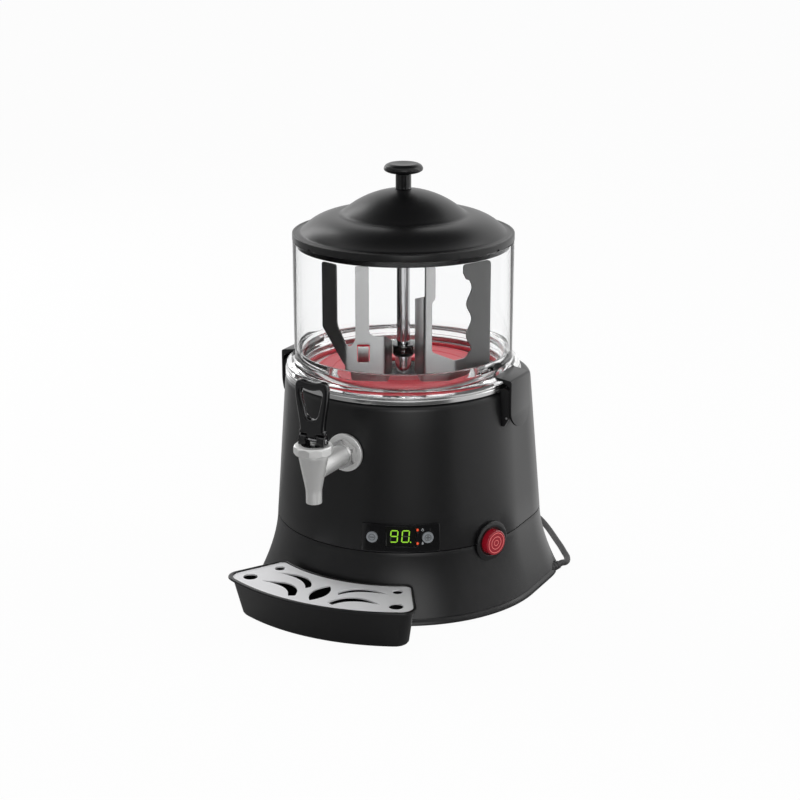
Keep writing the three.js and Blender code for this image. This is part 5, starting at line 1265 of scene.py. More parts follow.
@dataclass
class PanAndSeals:
    """The steel pan with its rolled rim, its red ribbed mat and seal, and the drive's column and lip seal."""

    shop: Shop
    pan: Turned = Turned(
        (
            (8.3, 153.5), (40.5, 153.5), (40.5, 212.5), (107.8, 212.5), (107.8, 215.6), (117.2, 215.6),
            (117.2, 219.5), (116.4, 220.3), (117.2, 221.1), (117.2, 222.7), (106.2, 222.7), (106.2, 214),
            (39, 214), (39, 155), (8.3, 155),
        ),
        {1: 3, 2: 2, 5: 0.8, 6: 0.4, 7: 0.27, 8: 0.4, 9: 0.8, 10: 0.8, 11: 1.5, 12: 2, 13: 3}, steps=168,
    )
    mat: Turned = Turned(
        (
            (41, 214.3), (88, 214.3), (88, 217.56), (86, 217.56), (85, 217), (73.22, 217), (72.62, 217.5),
            (71.42, 217.5), (70.82, 217), (57.71, 217), (57.11, 217.5), (55.91, 217.5), (55.31, 217), (41, 217),
        ),
        {2: 0.6, 3: 0.6, 4: 0.5, 13: 0.8}, fine=3, steps=144,
    )
    gasket: Turned = Turned(
        ((99, 214.3), (105.6, 214.3), (105.6, 217), (99, 217)), {0: 0.4, 1: 0.4, 2: 0.6, 3: 1}, steps=144
    )
    column: Turned = Turned(((5.3, 128.9), (8, 128.9), (8, 231.5), (5.3, 231.5)), {2: 0.6}, fine=3, steps=64)
    lip_seal: Turned = Turned(
        ((5.3, 231.8), (10, 231.8), (10, 233.25), (8, 234.7), (5.3, 234.7)), {1: 0.5, 2: 0.6, 3: 0.5}, steps=64
    )

    def build(self) -> None:
        """Builds and places the pieces."""
        settle = self.shop.settle
        settle(self.pan.make("pan"), "rim", "heating_pan")
        settle(self.mat.make("mat"), "silicone", "red_mat")
        settle(self.gasket.make("gasket"), "silicone", "bowl_gasket")
        settle(self.column.make("column"), "polished", "column_sleeve")
        settle(self.lip_seal.make("lip_seal"), "rubber", "shaft_seal")


@dataclass
class ClearBowl:
    """The clear bowl: a thick flange with a sloping shoulder, a step inside and a straight wall."""

    shop: Shop
    form: Turned = Turned(
        (
            (101.5, 217.3), (104.9, 217.3), (104.9, 223), (116, 223), (116, 228), (111.71, 230.1),
            (108.2, 235.5), (108.5, 351.2), (106.4, 351.2), (106.1, 243.2), (104.9, 242), (101.5, 240.8),
        ),
        {0: 0.6, 1: 0.6, 2: 0.8, 3: 0.8, 4: 1.6, 5: 3, 6: 3, 7: 0.7, 8: 0.7, 9: 0.5, 10: 0.8, 11: 1}, 5, 192,
    )
    shoulder: float = 235.5
    seat_span: Point = (108.7, 117.2)
    seat_heights: Point = (226.3, 240.8)
    seat_half: float = 22.8
    shading: float = math.radians(28)

    def build(self) -> None:
        """Builds the bowl, cuts the two seats for its latches, and places it."""
        (near, far), (low, high), half = self.seat_span, self.seat_heights, self.seat_half
        seats = [block("seat_tool", (side * near, -half, low), (side * far, half, high)) for side in SIDES]
        bowl = combined(self.form.make("clear_bowl"), *seats)
        self.shop.settle(bowl, "clear", "bowl", angle=self.shading)
        bowl.data.materials.append(self.shop.finishes["flange"])
        for face in bowl.data.polygons:
            face.material_index = int(face.center.z < self.shoulder * MM)


@dataclass
class Lid:
    """The black double-domed lid, with its glossy neck and its mushroom knob."""

    shop: Shop
    radius: float = 108.7
    rim: Point = (351.5, 358.5)
    wall: float = 2.2
    shoulder_radius: float = 101
    valley: Point = (62, 375.5)
    crown: Point = (7.7, 400)
    bulge: float = 8.8
    plug_radius: float = 104.95
    plug_depth: float = 6
    screw_bore: float = 2.3
    notch_count: int = 13
    notch_size: Point = (3.6, 1.8)
    notch_azimuth: float = 27
    neck: Turned = Turned(
        ((2.3, 400.3), (8.2, 400.3), (7.7, 401.7), (7.7, 414.4), (7.2, 415), (2.3, 415)),
        {1: 0.4, 2: 0.8, 3: 0.3}, steps=72,
    )
    knob: Turned = Turned(
        (
            (0, 415.3), (10.01, 415.3), (16.128, 416.464), (19.008, 418.404), (19.2, 420.344),
            (17.856, 423.06), (14.208, 425), (9.6, 424.612), (0, 423.836),
        ),
        {1: 1.5, 2: 2, 3: 1.2, 4: 1, 5: 1.6, 6: 1.6, 7: 2}, 5, ring=False,
    )

    def dome(self, inset: float, steps: int) -> list[Point]:
        """Returns the dome's two swelling curves from the rim to the neck, this far under its outside.

        Args:
            inset: How far under the outside the curves run.
            steps: How many straight steps stand for each curve.

        Returns:
            The curves' points.
        """
        stops = ((self.shoulder_radius - inset, self.rim[1]), self.valley, self.crown)
        line: list[Point] = []
        for (x0, z0), (x1, z1) in zip(stops, stops[1:]):
            lean = ((x0 + x1) / 2 + self.bulge / 2, (z0 + z1) / 2 - inset + self.bulge)
            line = [*line[:-1], *curved(steps, (x0, z0 - inset), lean, (x1, z1 - inset))]
        return softened(line, {steps: self.bulge * 0.35}, 6)

    def shell(self) -> Piece:
        """Makes the lid with its plug ring and the small notches under its rim.

        Returns:
            The lid.
        """
        (low, high), bore, top = self.rim, self.screw_bore, self.crown[1]
        inner = self.plug_radius - self.wall
        corners = [
            (inner, low - self.plug_depth), (self.plug_radius, low - self.plug_depth),
            (self.plug_radius, low), (self.radius, low), (self.radius, high - 0.4),
            (self.radius - 2.2, high), (self.radius - 3.6, high - 0.7),
            *self.dome(0, 20), (bore, top), (bore, top - self.wall),
            *reversed(self.dome(self.wall, 10)), (inner, low + self.wall),
        ]
        rounds = {0: 0.5, 1: 0.5, 3: 0.7, 4: 0.8, 5: 0.8, 6: 0.8, 7: 1.2}
        lid = Turned(corners, rounds, steps=192).make("lid_shell")
        half, deep, notches = self.notch_size[0] / 2, self.radius + self.wall, []
        for i in range(self.notch_count):
            inner_corner = (half, 1.2 - self.radius, low + self.notch_size[1])
            notch = block("notch", (-half, -deep, low - self.wall), inner_corner)
            notches.append(moved(notch, turn(360 * i / self.notch_count + self.notch_azimuth)))
        return combined(lid, joined("notches", *notches))

    def build(self) -> None:
        """Builds and places the lid's pieces."""
        self.shop.settle(self.shell(), "lid", "lid", body=Body.LID)
        self.shop.settle(self.neck.make("knob_neck"), "gloss", "lid_knob_neck", body=Body.LID)
        self.shop.settle(self.knob.make("knob"), "lid", "lid_knob", body=Body.LID)


@dataclass
class FoldedBlade:
    """One blade: a flat cut sheet that is folded twice between the hub and its tip."""

    name: str
    path: tuple[Point, Point, Point, Point]
    outline: list[Point] = field(default_factory=list)
    holes: list[list[Point]] = field(default_factory=list)
    sheet: float = 1.5
    fold: float = 2.6
    fold_steps: int = 6

    def lengths(self) -> list[float]:
        """Returns how far along the sheet each corner of the path is.

        Returns:
            The distances, with zero first.
        """
        places = [0.0]
        for a, b in zip(self.path, self.path[1:]):
            places.append(places[-1] + math.dist(a, b))
        return places

    def spot(self, along: float) -> Vector:
        """Returns where a place on the flat sheet lies, seen from above, once the sheet is folded.

        Args:
            along: How far along the flat sheet the place is.

        Returns:
            The place.
        """
        places, corners = self.lengths(), [Vector(corner) for corner in self.path]
        directions = [(b - a).normalized() for a, b in zip(corners, corners[1:])]
        for i in (1, 2):
            share = (along - places[i] + self.fold) / (2 * self.fold)
            if 0 < share < 1:
                start, end = corners[i] - directions[i - 1] * self.fold, corners[i] + directions[i] * self.fold
                return start * (1 - share) ** 2 + corners[i] * 2 * share * (1 - share) + end * share**2
        leg = 0 if along < places[1] else 1 if along < places[2] else 2
        return corners[leg] + directions[leg] * (along - places[leg])

    def build(self) -> Piece:
        """Cuts the flat sheet, folds it and gives it its thickness.

        Returns:
            The blade.
        """
        flat = plate(self.name, self.outline, 0, self.holes)
        ends = [(place - self.fold, place + self.fold) for place in self.lengths()[1:3]]
        sliced(flat, [place for low, high in ends for place in spread(low, high, self.fold_steps)])
        for vertex in flat.data.vertices:
            vertex.co = (*self.spot(vertex.co.x), vertex.co.y)
        with_modifier(flat, "SOLIDIFY", thickness=self.sheet, offset=0)
        return bevelled(flat, 0.25, 2, 60)


@dataclass
class Stirrer:
    """The stirrer: a polished tube on a black waisted bushing, with two folded blades."""

    shop: Shop
    azimuth: float = 27
    bottom: float = 218.6
    top: float = 336.5
    left_path: tuple[Point, ...] = ((-11.4, -8.6), (-18, -62), (-56, -62), (-78, -40))
    right_path: tuple[Point, ...] = ((11.4, -8.6), (20, -62), (49, -62), (84, -33))
    web: float = 262
    hub_height: float = 268
    flank_back: float = 250
    arm: Spot = (239, 272, 277)
    wing_finger: float = 20
    finger: Point = (15, 28)
    window: tuple[float, float, float, float] = (14.5, 26.5, 243, 262)
    right_web: Point = (244, 252)
    right_flank: Point = (307, 292)
    hub_finger: Spot = (7.4, 10.5, 303)
    wave: Spot = (15, 21.5, 10.5)
    wave_steps: int = 48
    wave_turns: float = 2.5
    sheet: float = 1.5
    strap: Turned = Turned(((14.3, 235.6), (15.8, 235.6), (15.8, 243.4), (14.3, 243.4)), {})
    bushing: Turned = Turned(
        ((5.3, 235), (14, 235), (14, 238.5), (13.3, 239), (13.3, 240), (14, 240.5), (14, 244), (5.3, 244)),
        {1: 1.4, 2: 0.3, 3: 0.2, 4: 0.2, 5: 0.3, 6: 1.4}, steps=80,
    )
    tube: Turned = Turned(
        ((0, 262.3), (5.3, 262.3), (5.3, 244.3), (6.65, 244.3), (6.65, 345), (0, 345)),
        {3: 0.6, 4: 1.4}, 5, 72, False,
    )

    def left_blade(self) -> Piece:
        """Makes the blade with the narrow wing and the tongued window.

        Returns:
            The blade.
        """
        blade = FoldedBlade("left_blade", self.left_path, sheet=self.sheet)
        _, corner, bend, tip = blade.lengths()
        near, far = corner + self.finger[0], corner + self.finger[1]
        inner, top, web = tip - self.wing_finger, self.top, self.web
        outline = [(4, self.bottom), (bend, self.bottom), (bend, self.arm[0]), (tip, self.arm[1])]
        outline += [(tip, top), (inner, top), (inner, self.arm[2])]
        outline += curved(8, (bend, web), ((bend + far) / 2, web - 9), (far, web + 3))
        outline += [(far, top), (near, top), (near, self.hub_height), (corner, self.hub_height)]
        outline.append((4, self.flank_back))
        blade.outline = softened(outline, {1: 2, 3: 2, 4: 3, 5: 3, 6: 5, 16: 2, 17: 2, 18: 7, 20: 4}, 5)
        x0, x1, low, high = self.window
        blade.holes = [[(corner + x0, low), (corner + x0, high - 2), (corner + x1, high - 2), (corner + x1, low)]]
        return blade.build()

    def tongue(self) -> Piece:
        """Makes the tongue that is bent out of the left blade's window.

        Returns:
            The tongue.
        """
        x0, x1, low, high = self.window
        width, tall = x1 - x0 - 1.6, high - low - 2
        corner_x, corner_y = self.left_path[1]
        tongue = plate("tongue", [(0, 0), (width, 0), (width, tall), (0, tall)], 0)
        sliced(tongue, spread(0, tall, 9)[1:-1], (0, 1, 0))
        for vertex in tongue.data.vertices:
            lean = 7 * math.sin(vertex.co.y / (high - low) * math.pi * 0.62)
            vertex.co = (corner_x - x1 + 0.8 + vertex.co.x, corner_y - lean, low + vertex.co.y - 0.4)
        with_modifier(tongue, "SOLIDIFY", thickness=self.sheet, offset=0)
        return bevelled(tongue, 0.2, 2, 60)

    def right_blade(self) -> Piece:
        """Makes the blade with the wide wing, whose inner edge is wavy.

        Returns:
            The blade.
        """
        blade = FoldedBlade("right_blade", self.right_path, sheet=self.sheet)
        _, corner, bend, tip = blade.lengths()
        narrow, wide, end = self.wave
        slim, broad, step = self.hub_finger
        top, low = self.top, self.right_web[0]
        outline = [(4, self.bottom), (tip, self.bottom), (tip, top), (bend + end, top)]
        swing, middle = (wide - narrow) / 2, (wide + narrow) / 2
        for share in spread(0, 1, self.wave_steps):
            across = middle - swing * math.cos(share * self.wave_turns * FULL_TURN)
            if share <= 0.1:
                across = lerp(end, narrow, share / 0.1)
            outline.append((bend + across, lerp(top - end / 2 - 3, low + 7, share)))
        outline += [(bend + narrow * 0.95, low), (bend, low), (corner + slim, self.right_web[1])]
        outline += [(corner + slim, step - 2), (corner + broad, step + 2), (corner + broad, top)]
        outline += [(corner, top), (corner, self.right_flank[0]), (4, self.right_flank[1])]
        base = 4 + self.wave_steps
        rounds = {1: 10, 2: 5, 3: 3, base + 1: 4, base + 3: 3, base + 4: 2, base + 5: 2, base + 6: 2, base + 9: 6}
        blade.outline = softened(outline, rounds, 5)
        return blade.build()

    def strap_piece(self) -> Piece:
        """Makes the strap that runs round the back of the bushing and joins the blades."""
        front = block("strap_tool", (-30, -30, 230.6), (30, self.left_path[0][1] - 1.5, 248.4))
        return bevelled(combined(self.strap.make("strap"), front), 0.25, 2, 60)

    def build(self) -> None:
        """Builds the stirrer's pieces, turns them to where the machine stands, and places them."""
        heading, settle = turn(self.azimuth), self.shop.settle
        blades = joined("blades", self.left_blade(), self.right_blade(), self.tongue(), self.strap_piece())
        settle(moved(blades, heading), "blades", "stirrer_blades", body=Body.STIRRER, angle=SHEET_ANGLE)
        settle(moved(self.bushing.make("bushing"), heading), "gloss", "stirrer_bushing", body=Body.STIRRER)
        settle(moved(self.tube.make("tube"), heading), "polished", "stirrer_tube", body=Body.STIRRER)


@dataclass
class ControlPanel:
    """The glossy panel bent round the wall, with its display, keys and lamps."""

    shop: Shop
    wall: WallForm
    azimuth: float = 25.8
    half_angle: float = 17
    span: Point = (73, 100.3)
    thickness: float = 1.8
    gap: float = 0.3
    window_half: float = 6.4
    window_span: Point = (78.6, 97.8)
    key_azimuths: Point = (13.5, 37.4)
    key_height: float = 87.2
    key_radius: float = 5.5
    key_proud: float = 1.4
    key: Turned = Turned(
        (
            (0, -6.45), (2.2, -6.45), (2.2, 1.55), (5.5, 1.55), (5.5, 3.5), (4.4, 3.5), (3.85, 3.25), (0, 3.05),
        ),
        {4: 0.5, 5: 0.2, 6: 0.6}, steps=64, ring=False,
    )
    lamp_azimuth: float = 33
    lamp_heights: Point = (81.3, 94.7)
    lamp_radius: float = 1.3
    lamp: Turned = Turned(
        ((0, -3), (1.3, -3), (1.3, 1.7), (1.04, 2.2), (0, 2.4)), {2: 0.4, 3: 0.5}, steps=32, ring=False
    )
    icon_azimuth: float = 35.2
    digit_size: Point = (7.6, 12.4)
    digit_azimuths: Point = (23.0, 27.9)
    digit_height: float = 88.6
    digits: tuple[str, str] = ("abcdfg", "abcdef")
    bar: float = 1.1
    slant: float = 0.08
    ink: float = 0.16

    def across(self, azimuth: float) -> float:
        """Returns how far right of the panel's middle an azimuth is, along the wall."""
        return math.radians(azimuth - self.azimuth) * self.wall.section(self.key_height)[0]

    def face(self) -> float:
        """Returns how far the panel's face stands out from the wall."""
        return self.gap + self.thickness

    def bent(self, piece: Piece, height: float, proud: float, spacing: float = 2) -> Piece:
        """Slices a flat piece finely and bends it round the wall, about the panel's middle.

        Args:
            piece: The piece on the XY plane.
            height: The height of its zero.
            proud: How far its zero stands out from the wall.
            spacing: How far apart the slices are.

        Returns:
            The piece.
        """
        half = math.radians(self.half_angle) * self.wall.section(height)[0]
        reach = [vertex.co.x for vertex in piece.data.vertices]
        spots = spread(-half, half, int(2 * half / spacing))
        sliced(piece, [x for x in spots if min(reach) < x < max(reach)])
        return self.wall.wrapped(piece, self.azimuth, height, proud)

    def board(self) -> Piece:
        """Makes the panel, with round openings for the keys and lamps and a window for the display.

        Returns:
            The panel.
        """
        middle, tall = sum(self.span) / 2, (self.span[1] - self.span[0]) / 2
        half = math.radians(self.half_angle) * self.wall.section(middle)[0]
        key_level, lamp_x = self.key_height - middle, self.across(self.lamp_azimuth)
        holes = [circle(self.key_radius + 0.35, 30, (self.across(a), key_level)) for a in self.key_azimuths]
        holes += [circle(self.lamp_radius + 0.2, 18, (lamp_x, z - middle)) for z in self.lamp_heights]
        holes.append(self.window_outline(0.35, middle))
        outline = softened_box(half, -tall, tall, 1.6, 5)
        flat = plate("panel_face", outline, self.thickness, holes, edge=0.35)
        return self.bent(flat, middle, self.gap + self.thickness / 2)

    def window_outline(self, grow: float, middle: float) -> list[Point]:
        """Returns the display window's edge, grown by a little.

        Args:
            grow: How much larger the edge is all round.
            middle: The height that counts as zero.

        Returns:
            The edge's points.
        """
        half = math.radians(self.window_half) * self.wall.section(middle)[0] + grow
        low, high = self.window_span
        return softened_box(half, low - grow - middle, high + grow - middle, 0.8, 4)

    def window(self) -> Piece:
        """Makes the smoked window that the digits show through.

        Returns:
            The window.
        """
        middle = sum(self.window_span) / 2
        flat = plate("display_lens", self.window_outline(0, middle), self.thickness - 0.5, edge=0.2)
        return self.bent(flat, middle, self.face() - self.thickness / 2 - 0.1, 1.5)

    def segment(self, place: str) -> list[Point]:
        """Returns one of a digit's seven bars, by its usual letter.

        Args:
            place: The bar's letter.

        Returns:
            The bar's outline.
        """
        bar = self.bar / 2
        x, z = self.digit_size[0] / 2 - bar, self.digit_size[1] / 2 - bar
        starts = {"a": (-x, z), "b": (x, z), "c": (x, 0), "d": (-x, -z), "e": (-x, 0), "f": (-x, z), "g": (-x, 0)}
        ends = {"a": (x, z), "b": (x, 0), "c": (x, -z), "d": (x, -z), "e": (-x, -z), "f": (-x, 0), "g": (x, 0)}
        start, end = Vector(starts[place]), Vector(ends[place])
        along = (end - start).normalized()
        side = Vector((-along.y, along.x)) * bar
        start, end = start + along * 0.22, end - along * 0.22
        tips = (start, start + along * bar + side, end - along * bar + side, end)
        tips += (end - along * bar - side, start + along * bar - side)
        return [(p.x + p.y * self.slant, p.y) for p in tips]

    def bars(self, name: str, lit: bool) -> Piece:
        """Makes the digits' bars that are lit, with the point behind them, or those that aren't.

        Args:
            name: The new object's name.
            lit: Whether the lit bars are made.

        Returns:
            The bars, as one piece.
        """
        bars = []
        for azimuth, letters in zip(self.digit_azimuths, self.digits):
            for place in "abcdefg":
                if (place in letters) is lit:
                    bars.append(moved(plate("bar", self.segment(place), self.ink), shift(self.across(azimuth))))
        if lit:
            wide, tall = self.digit_size
            dot = (self.across(self.digit_azimuths[1]) + wide / 2 + 0.9, 0.5 - tall / 2)
            bars.append(plate("dot", circle(0.6, 12, dot), self.ink))
        return self.bent(joined(name, *bars), self.digit_height, self.face() - 0.33, 1.5)

    def sign(self, name: str, upright: bool) -> Piece:
        """Makes the minus or plus sign printed on a key, inside a thin ring.

        Args:
            name: The new object's name.
            upright: Whether it has the plus sign's upright bar.

        Returns:
            The sign, as one piece.
        """
        long, wide, radius = self.key_radius * 0.42, self.key_radius * 0.1, self.key_radius * 0.62
        marks = [plate("bar", [(-long, -wide), (long, -wide), (long, wide), (-long, wide)], self.ink)]
        if upright:
            tall = [(-wide, -long), (wide, -long), (wide, -wide * 1.01)]
            tall += [(wide, wide * 1.01), (wide, long), (-wide, long)]
            marks.append(moved(plate("bar", tall, self.ink), shift(z=0.02)))
        marks.append(plate("ring", circle(radius, 40), self.ink, [circle(radius - wide * 1.3, 40)]))
        return joined(name, *marks)

    def icons(self) -> Piece:
        """Makes the small printed marks beside the lamps: a ring with a stroke, and a drop.

        Returns:
            The marks, as one piece.
        """
        wide, middle = self.bar * 0.28, sum(self.lamp_heights) / 2
        ring = plate("ring", circle(1.25, 24), self.ink, [circle(0.85, 24)])
        stroke = plate("stroke", [(-wide, 0.2), (wide, 0.2), (wide, 1.7), (-wide, 1.7)], self.ink)
        drop = [*curved(8, (0, 1.9), (1.9, -0.6), (0, -1.2)), *curved(8, (0, -1.2), (-1.9, -0.6), (0, 1.9))[1:-1]]
        marks = [plate("drop", drop, self.ink), joined("power_mark", ring, stroke)]
        for mark, height in zip(marks, self.lamp_heights):
            moved(mark, shift(self.across(self.icon_azimuth), height - middle))
        return self.bent(joined("icon_marks", *reversed(marks)), middle, self.face() - 0.02)

    def build(self) -> None:
        """Builds and places the panel's pieces."""
        settle, wall, level = self.shop.settle, self.wall, self.key_height
        settle(self.board(), "gloss", "control_panel")
        settle(self.window(), "window", "display_window")
        settle(self.bars("digits_lit", True), "digit")
        settle(self.bars("digits_idle", False), "idle")
        settle(self.icons(), "mark")
        for word, height in zip(("heat", "power"), self.lamp_heights):
            lamp = wall.standing(self.lamp.make(f"lamp_{word}"), self.lamp_azimuth, height)
            settle(lamp, "lamp", f"led_{word}")
        proud = self.face() + self.key_proud - 0.33
        for word, azimuth, body in zip(("minus", "plus"), self.key_azimuths, (Body.MINUS_KEY, Body.PLUS_KEY)):
            key = wall.standing(self.key.make(f"key_{word}"), azimuth, level)
            settle(key, "silver", f"button_{word}", body=body)
            sign = wall.standing(self.sign(f"sign_{word}", word == "plus"), azimuth, level, proud)
            settle(sign, "dark_mark", body=body)


@dataclass
class PowerSwitch:
    """The red lit button with fine rings in its face, in its black bezel, across the seam."""

    shop: Shop
    wall: WallForm
    azimuth: float = 68.7
    flange: Turned = Turned(
        ((12.75, -7.5), (20, -7.5), (20, 2.1), (17.4, 2.6), (14.35, 2.6), (12.75, 1)),
        {2: 0.5, 3: 1.2, 4: 0.7, 5: 0.7},
    )
    barrel: Turned = Turned(
        ((0, -24), (16, -24), (16, 1.4), (12.75, 1.4), (12.75, -21.5), (0, -21.5)), {}, ring=False
    )
    cap_radius: float = 12.4
    cap_span: Point = (-1.6, 8.2)
    rings: Spot = (0.8, 0.5, 0.22)

    def bezel(self) -> Piece:
        """Makes the bezel, with a turned-in mouth round the cap and a closed barrel behind.

        Returns:
            The bezel.
        """
        middle = self.wall.split
        surround = self.wall.standing(self.flange.make("switch_surround"), self.azimuth, middle)
        combined(surround, self.wall.inside(spread(middle - 40, middle + 40, 16), -0.3))
        barrel = self.wall.standing(self.barrel.make("barrel"), self.azimuth, middle)
        return combined(surround, barrel, how="UNION")

    def cap(self) -> Piece:
        """Makes the red cap, with fine steps in its face.

        Returns:
            The cap.
        """
        radius, (back, face) = self.cap_radius, self.cap_span
        corners = [(0, back), (radius, back), (radius, face)]
        for share in self.rings:
            edge = radius * share
            corners += [(edge + 0.5, face), (edge, face - 0.45), (edge - 0.5, face)]
        return Turned([*corners, (0, face)], {2: 1.3}, 5, ring=False).make("power_cap")

    def ring_marks(self) -> Piece:
        """Makes the pale rings that sit in the cap's steps.

        Returns:
            The rings, as one piece.
        """
        marks, face = [], self.cap_span[1]
        for share in self.rings:
            low, high = self.cap_radius * share - 0.32, self.cap_radius * share + 0.32
            corners = ((low, face - 0.25), (high, face - 0.25), (high, face + 0.02), (low, face + 0.02))
            marks.append(Turned(corners, {}, steps=64).make("ring"))
        return joined("power_rings", *marks)

    def build(self) -> None:
        """Builds and places the switch's pieces."""
        self.shop.settle(self.bezel(), "gloss", "switch_bezel")
        cap = self.wall.standing(self.cap(), self.azimuth, self.wall.split)
        self.shop.settle(cap, "red_cap", "power_button", body=Body.POWER_KEY)
        marks = self.wall.standing(self.ring_marks(), self.azimuth, self.wall.split)
        self.shop.settle(marks, "red_ring", body=Body.POWER_KEY)


@dataclass
class Tap:
    """The steel tap with its washer, nut, body, faceted bonnet, yoke, pin and looped handle."""

    shop: Shop
    wall: WallForm
    axis: float = -183
    height: float = 167
    gap: float = 0.3
    washer: Turned = Turned(((10.3, 0.3), (18.6, 0.3), (18.6, 3.5), (10.3, 3.5)), {1: 0.5, 2: 0.8}, steps=80)
    nut_flats: float = 26
    nut: Turned = Turned(
        ((0, 3.8), (12.61, 3.8), (15.311, 5.047), (15.311, 10.553), (12.61, 11.8), (0, 11.8)), {}, ring=False
    )
    body: Turned = Turned(
        ((5.3, 136), (7.5, 136), (7.5, 148.5), (14, 182), (14, 184.1), (5.3, 184.1)),
        {0: 0.4, 1: 0.6, 2: 3, 3: 2, 4: 0.5}, 6, 112,
    )
    shank_radius: float = 10
    outlet_bore: float = 5.3
    outlet_span: Point = (131, 189.1)
    body_radius: float = 14
    bonnet: Turned = Turned(
        ((0, 184.4), (17.205, 184.4), (18.685, 186.435), (18.685, 190.965), (16.65, 193), (0, 193)),
        {2: 0.5, 3: 0.5}, 3, 120, False,
    )
    bonnet_radius: float = 18.5
    bonnet_span: Point = (184.4, 193)
    bonnet_facets: int = 10
    well_radius: float = 11.2
    yoke_radius: float = 10.9
    yoke_span: Point = (188.3, 190.7)
    ear_span: float = 13.4
    ear_half: float = 5.2
    plunger_bore: float = 3.55
    pivot: float = 197.6
    pin_radius: float = 2
    cheek: float = 5.45
    slot_half: float = 2.1
    stem_top: float = 207
    waist: float = 12.2
    loop_half: float = 17
    loop_top: float = 254.5
    handle_thickness: float = 8
    bar: float = 5.2

    def along_shank(self, piece: Piece) -> Piece:
        """Lays a piece drawn along +Z along the tap's shank, from the wall outwards."""
        return self.wall.standing(piece, 0, self.height)

    def on_pivot(self, piece: Piece) -> Piece:
        """Lays a piece drawn along +Z along the handle's pivot."""
        return moved(piece, shift(y=self.axis, z=self.pivot) @ turn(90, "Y"))

    def nut_piece(self) -> Piece:
        """Makes the hexagonal nut, with turned corners on both faces.

        Returns:
            The nut.
        """
        low, high = self.nut.corners[0][1], self.nut.corners[-1][1]
        hexagon = plate("hex", circle(self.nut_flats / 2 / math.cos(math.radians(30)), 6), high - low)
        moved(hexagon, shift(z=(low + high) / 2) @ turn(30))
        nut = combined(hexagon, self.nut.make("turned"), how="INTERSECT")
        combined(nut, rod(self.shank_radius + self.gap, low - 1, high + 1))
        return self.along_shank(bevelled(nut, 0.3, 2, 35))

    def body_piece(self) -> Piece:
        """Makes the cast body: an outlet, a cone that widens upwards, and the shank behind it.

        Returns:
            The body.
        """
        body = moved(self.body.make("cast"), shift(y=self.axis))
        length = -self.axis - self.wall.section(self.height)[0]
        shank = self.along_shank(rod(self.shank_radius, -22, length - self.body_radius * 0.45, 72))
        combined(body, shank, how="UNION")
        bore = moved(rod(self.outlet_bore, *self.outlet_span), shift(y=self.axis))
        combined(body, bore, self.along_shank(rod(self.outlet_bore, -30, length)))
        return bevelled(body, 0.8, 3, 50)

    def bonnet_piece(self) -> Piece:
        """Makes the bonnet, with facets round it and a round well in its top.

        Returns:
            The bonnet.
        """
        (low, high), count = self.bonnet_span, self.bonnet_facets
        prism = plate("prism", circle(self.bonnet_radius, count), high - low)
        moved(prism, shift(z=(low + high) / 2) @ turn(-90 + 180 / count))
        bonnet = combined(prism, self.bonnet.make("turned"), how="INTERSECT")
        well = rod(self.well_radius, self.yoke_span[0] - self.gap, high + 2, 80)
        combined(bonnet, well, rod(self.plunger_bore, low - 2, high, 32))
        return moved(bevelled(bonnet, 0.45, 3, 24), shift(y=self.axis))

    def yoke(self) -> Piece:
        """Makes the yoke: a disc in the well with two rounded ears.

        Returns:
            The yoke.
        """
        (low, high), half = self.yoke_span, self.ear_half
        middle, ears = (low + high) / 2, []
        yoke = joined("yoke", rod(self.yoke_radius, low, high, 96, 0.3))
        for side in SIDES:
            outline = [(-half, 0), (half, 0), *arc((0, self.pivot - middle), half, 0, 180, 20)]
            ear = plate("ear", outline, self.ear_span - self.cheek - self.gap, edge=0.8, edge_steps=3)
            aside = side * (self.ear_span + self.cheek + self.gap) / 2
            moved(ear, shift(aside, 0, middle) @ turn(90) @ turn(90, "X"))
            neck, foot = side * (self.yoke_radius - self.gap), self.bonnet_span[1] + self.gap
            ears.append(combined(ear, block("trim", (neck, -20, low - 9), (side * 30, 20, foot))))
        combined(yoke, *ears, how="UNION")
        combined(yoke, rod(self.plunger_bore, low - 2, high + 2, 32))
        return combined(moved(yoke, shift(y=self.axis)), self.on_pivot(rod(self.pin_radius + 0.05, -20, 20)))

    def pin(self) -> Piece:
        """Makes the pivot pin, with domed ends."""
        half = self.ear_span + 0.7
        return self.on_pivot(joined("pivot", rod(self.pin_radius, -half, half, 40, 0.8, 4)))

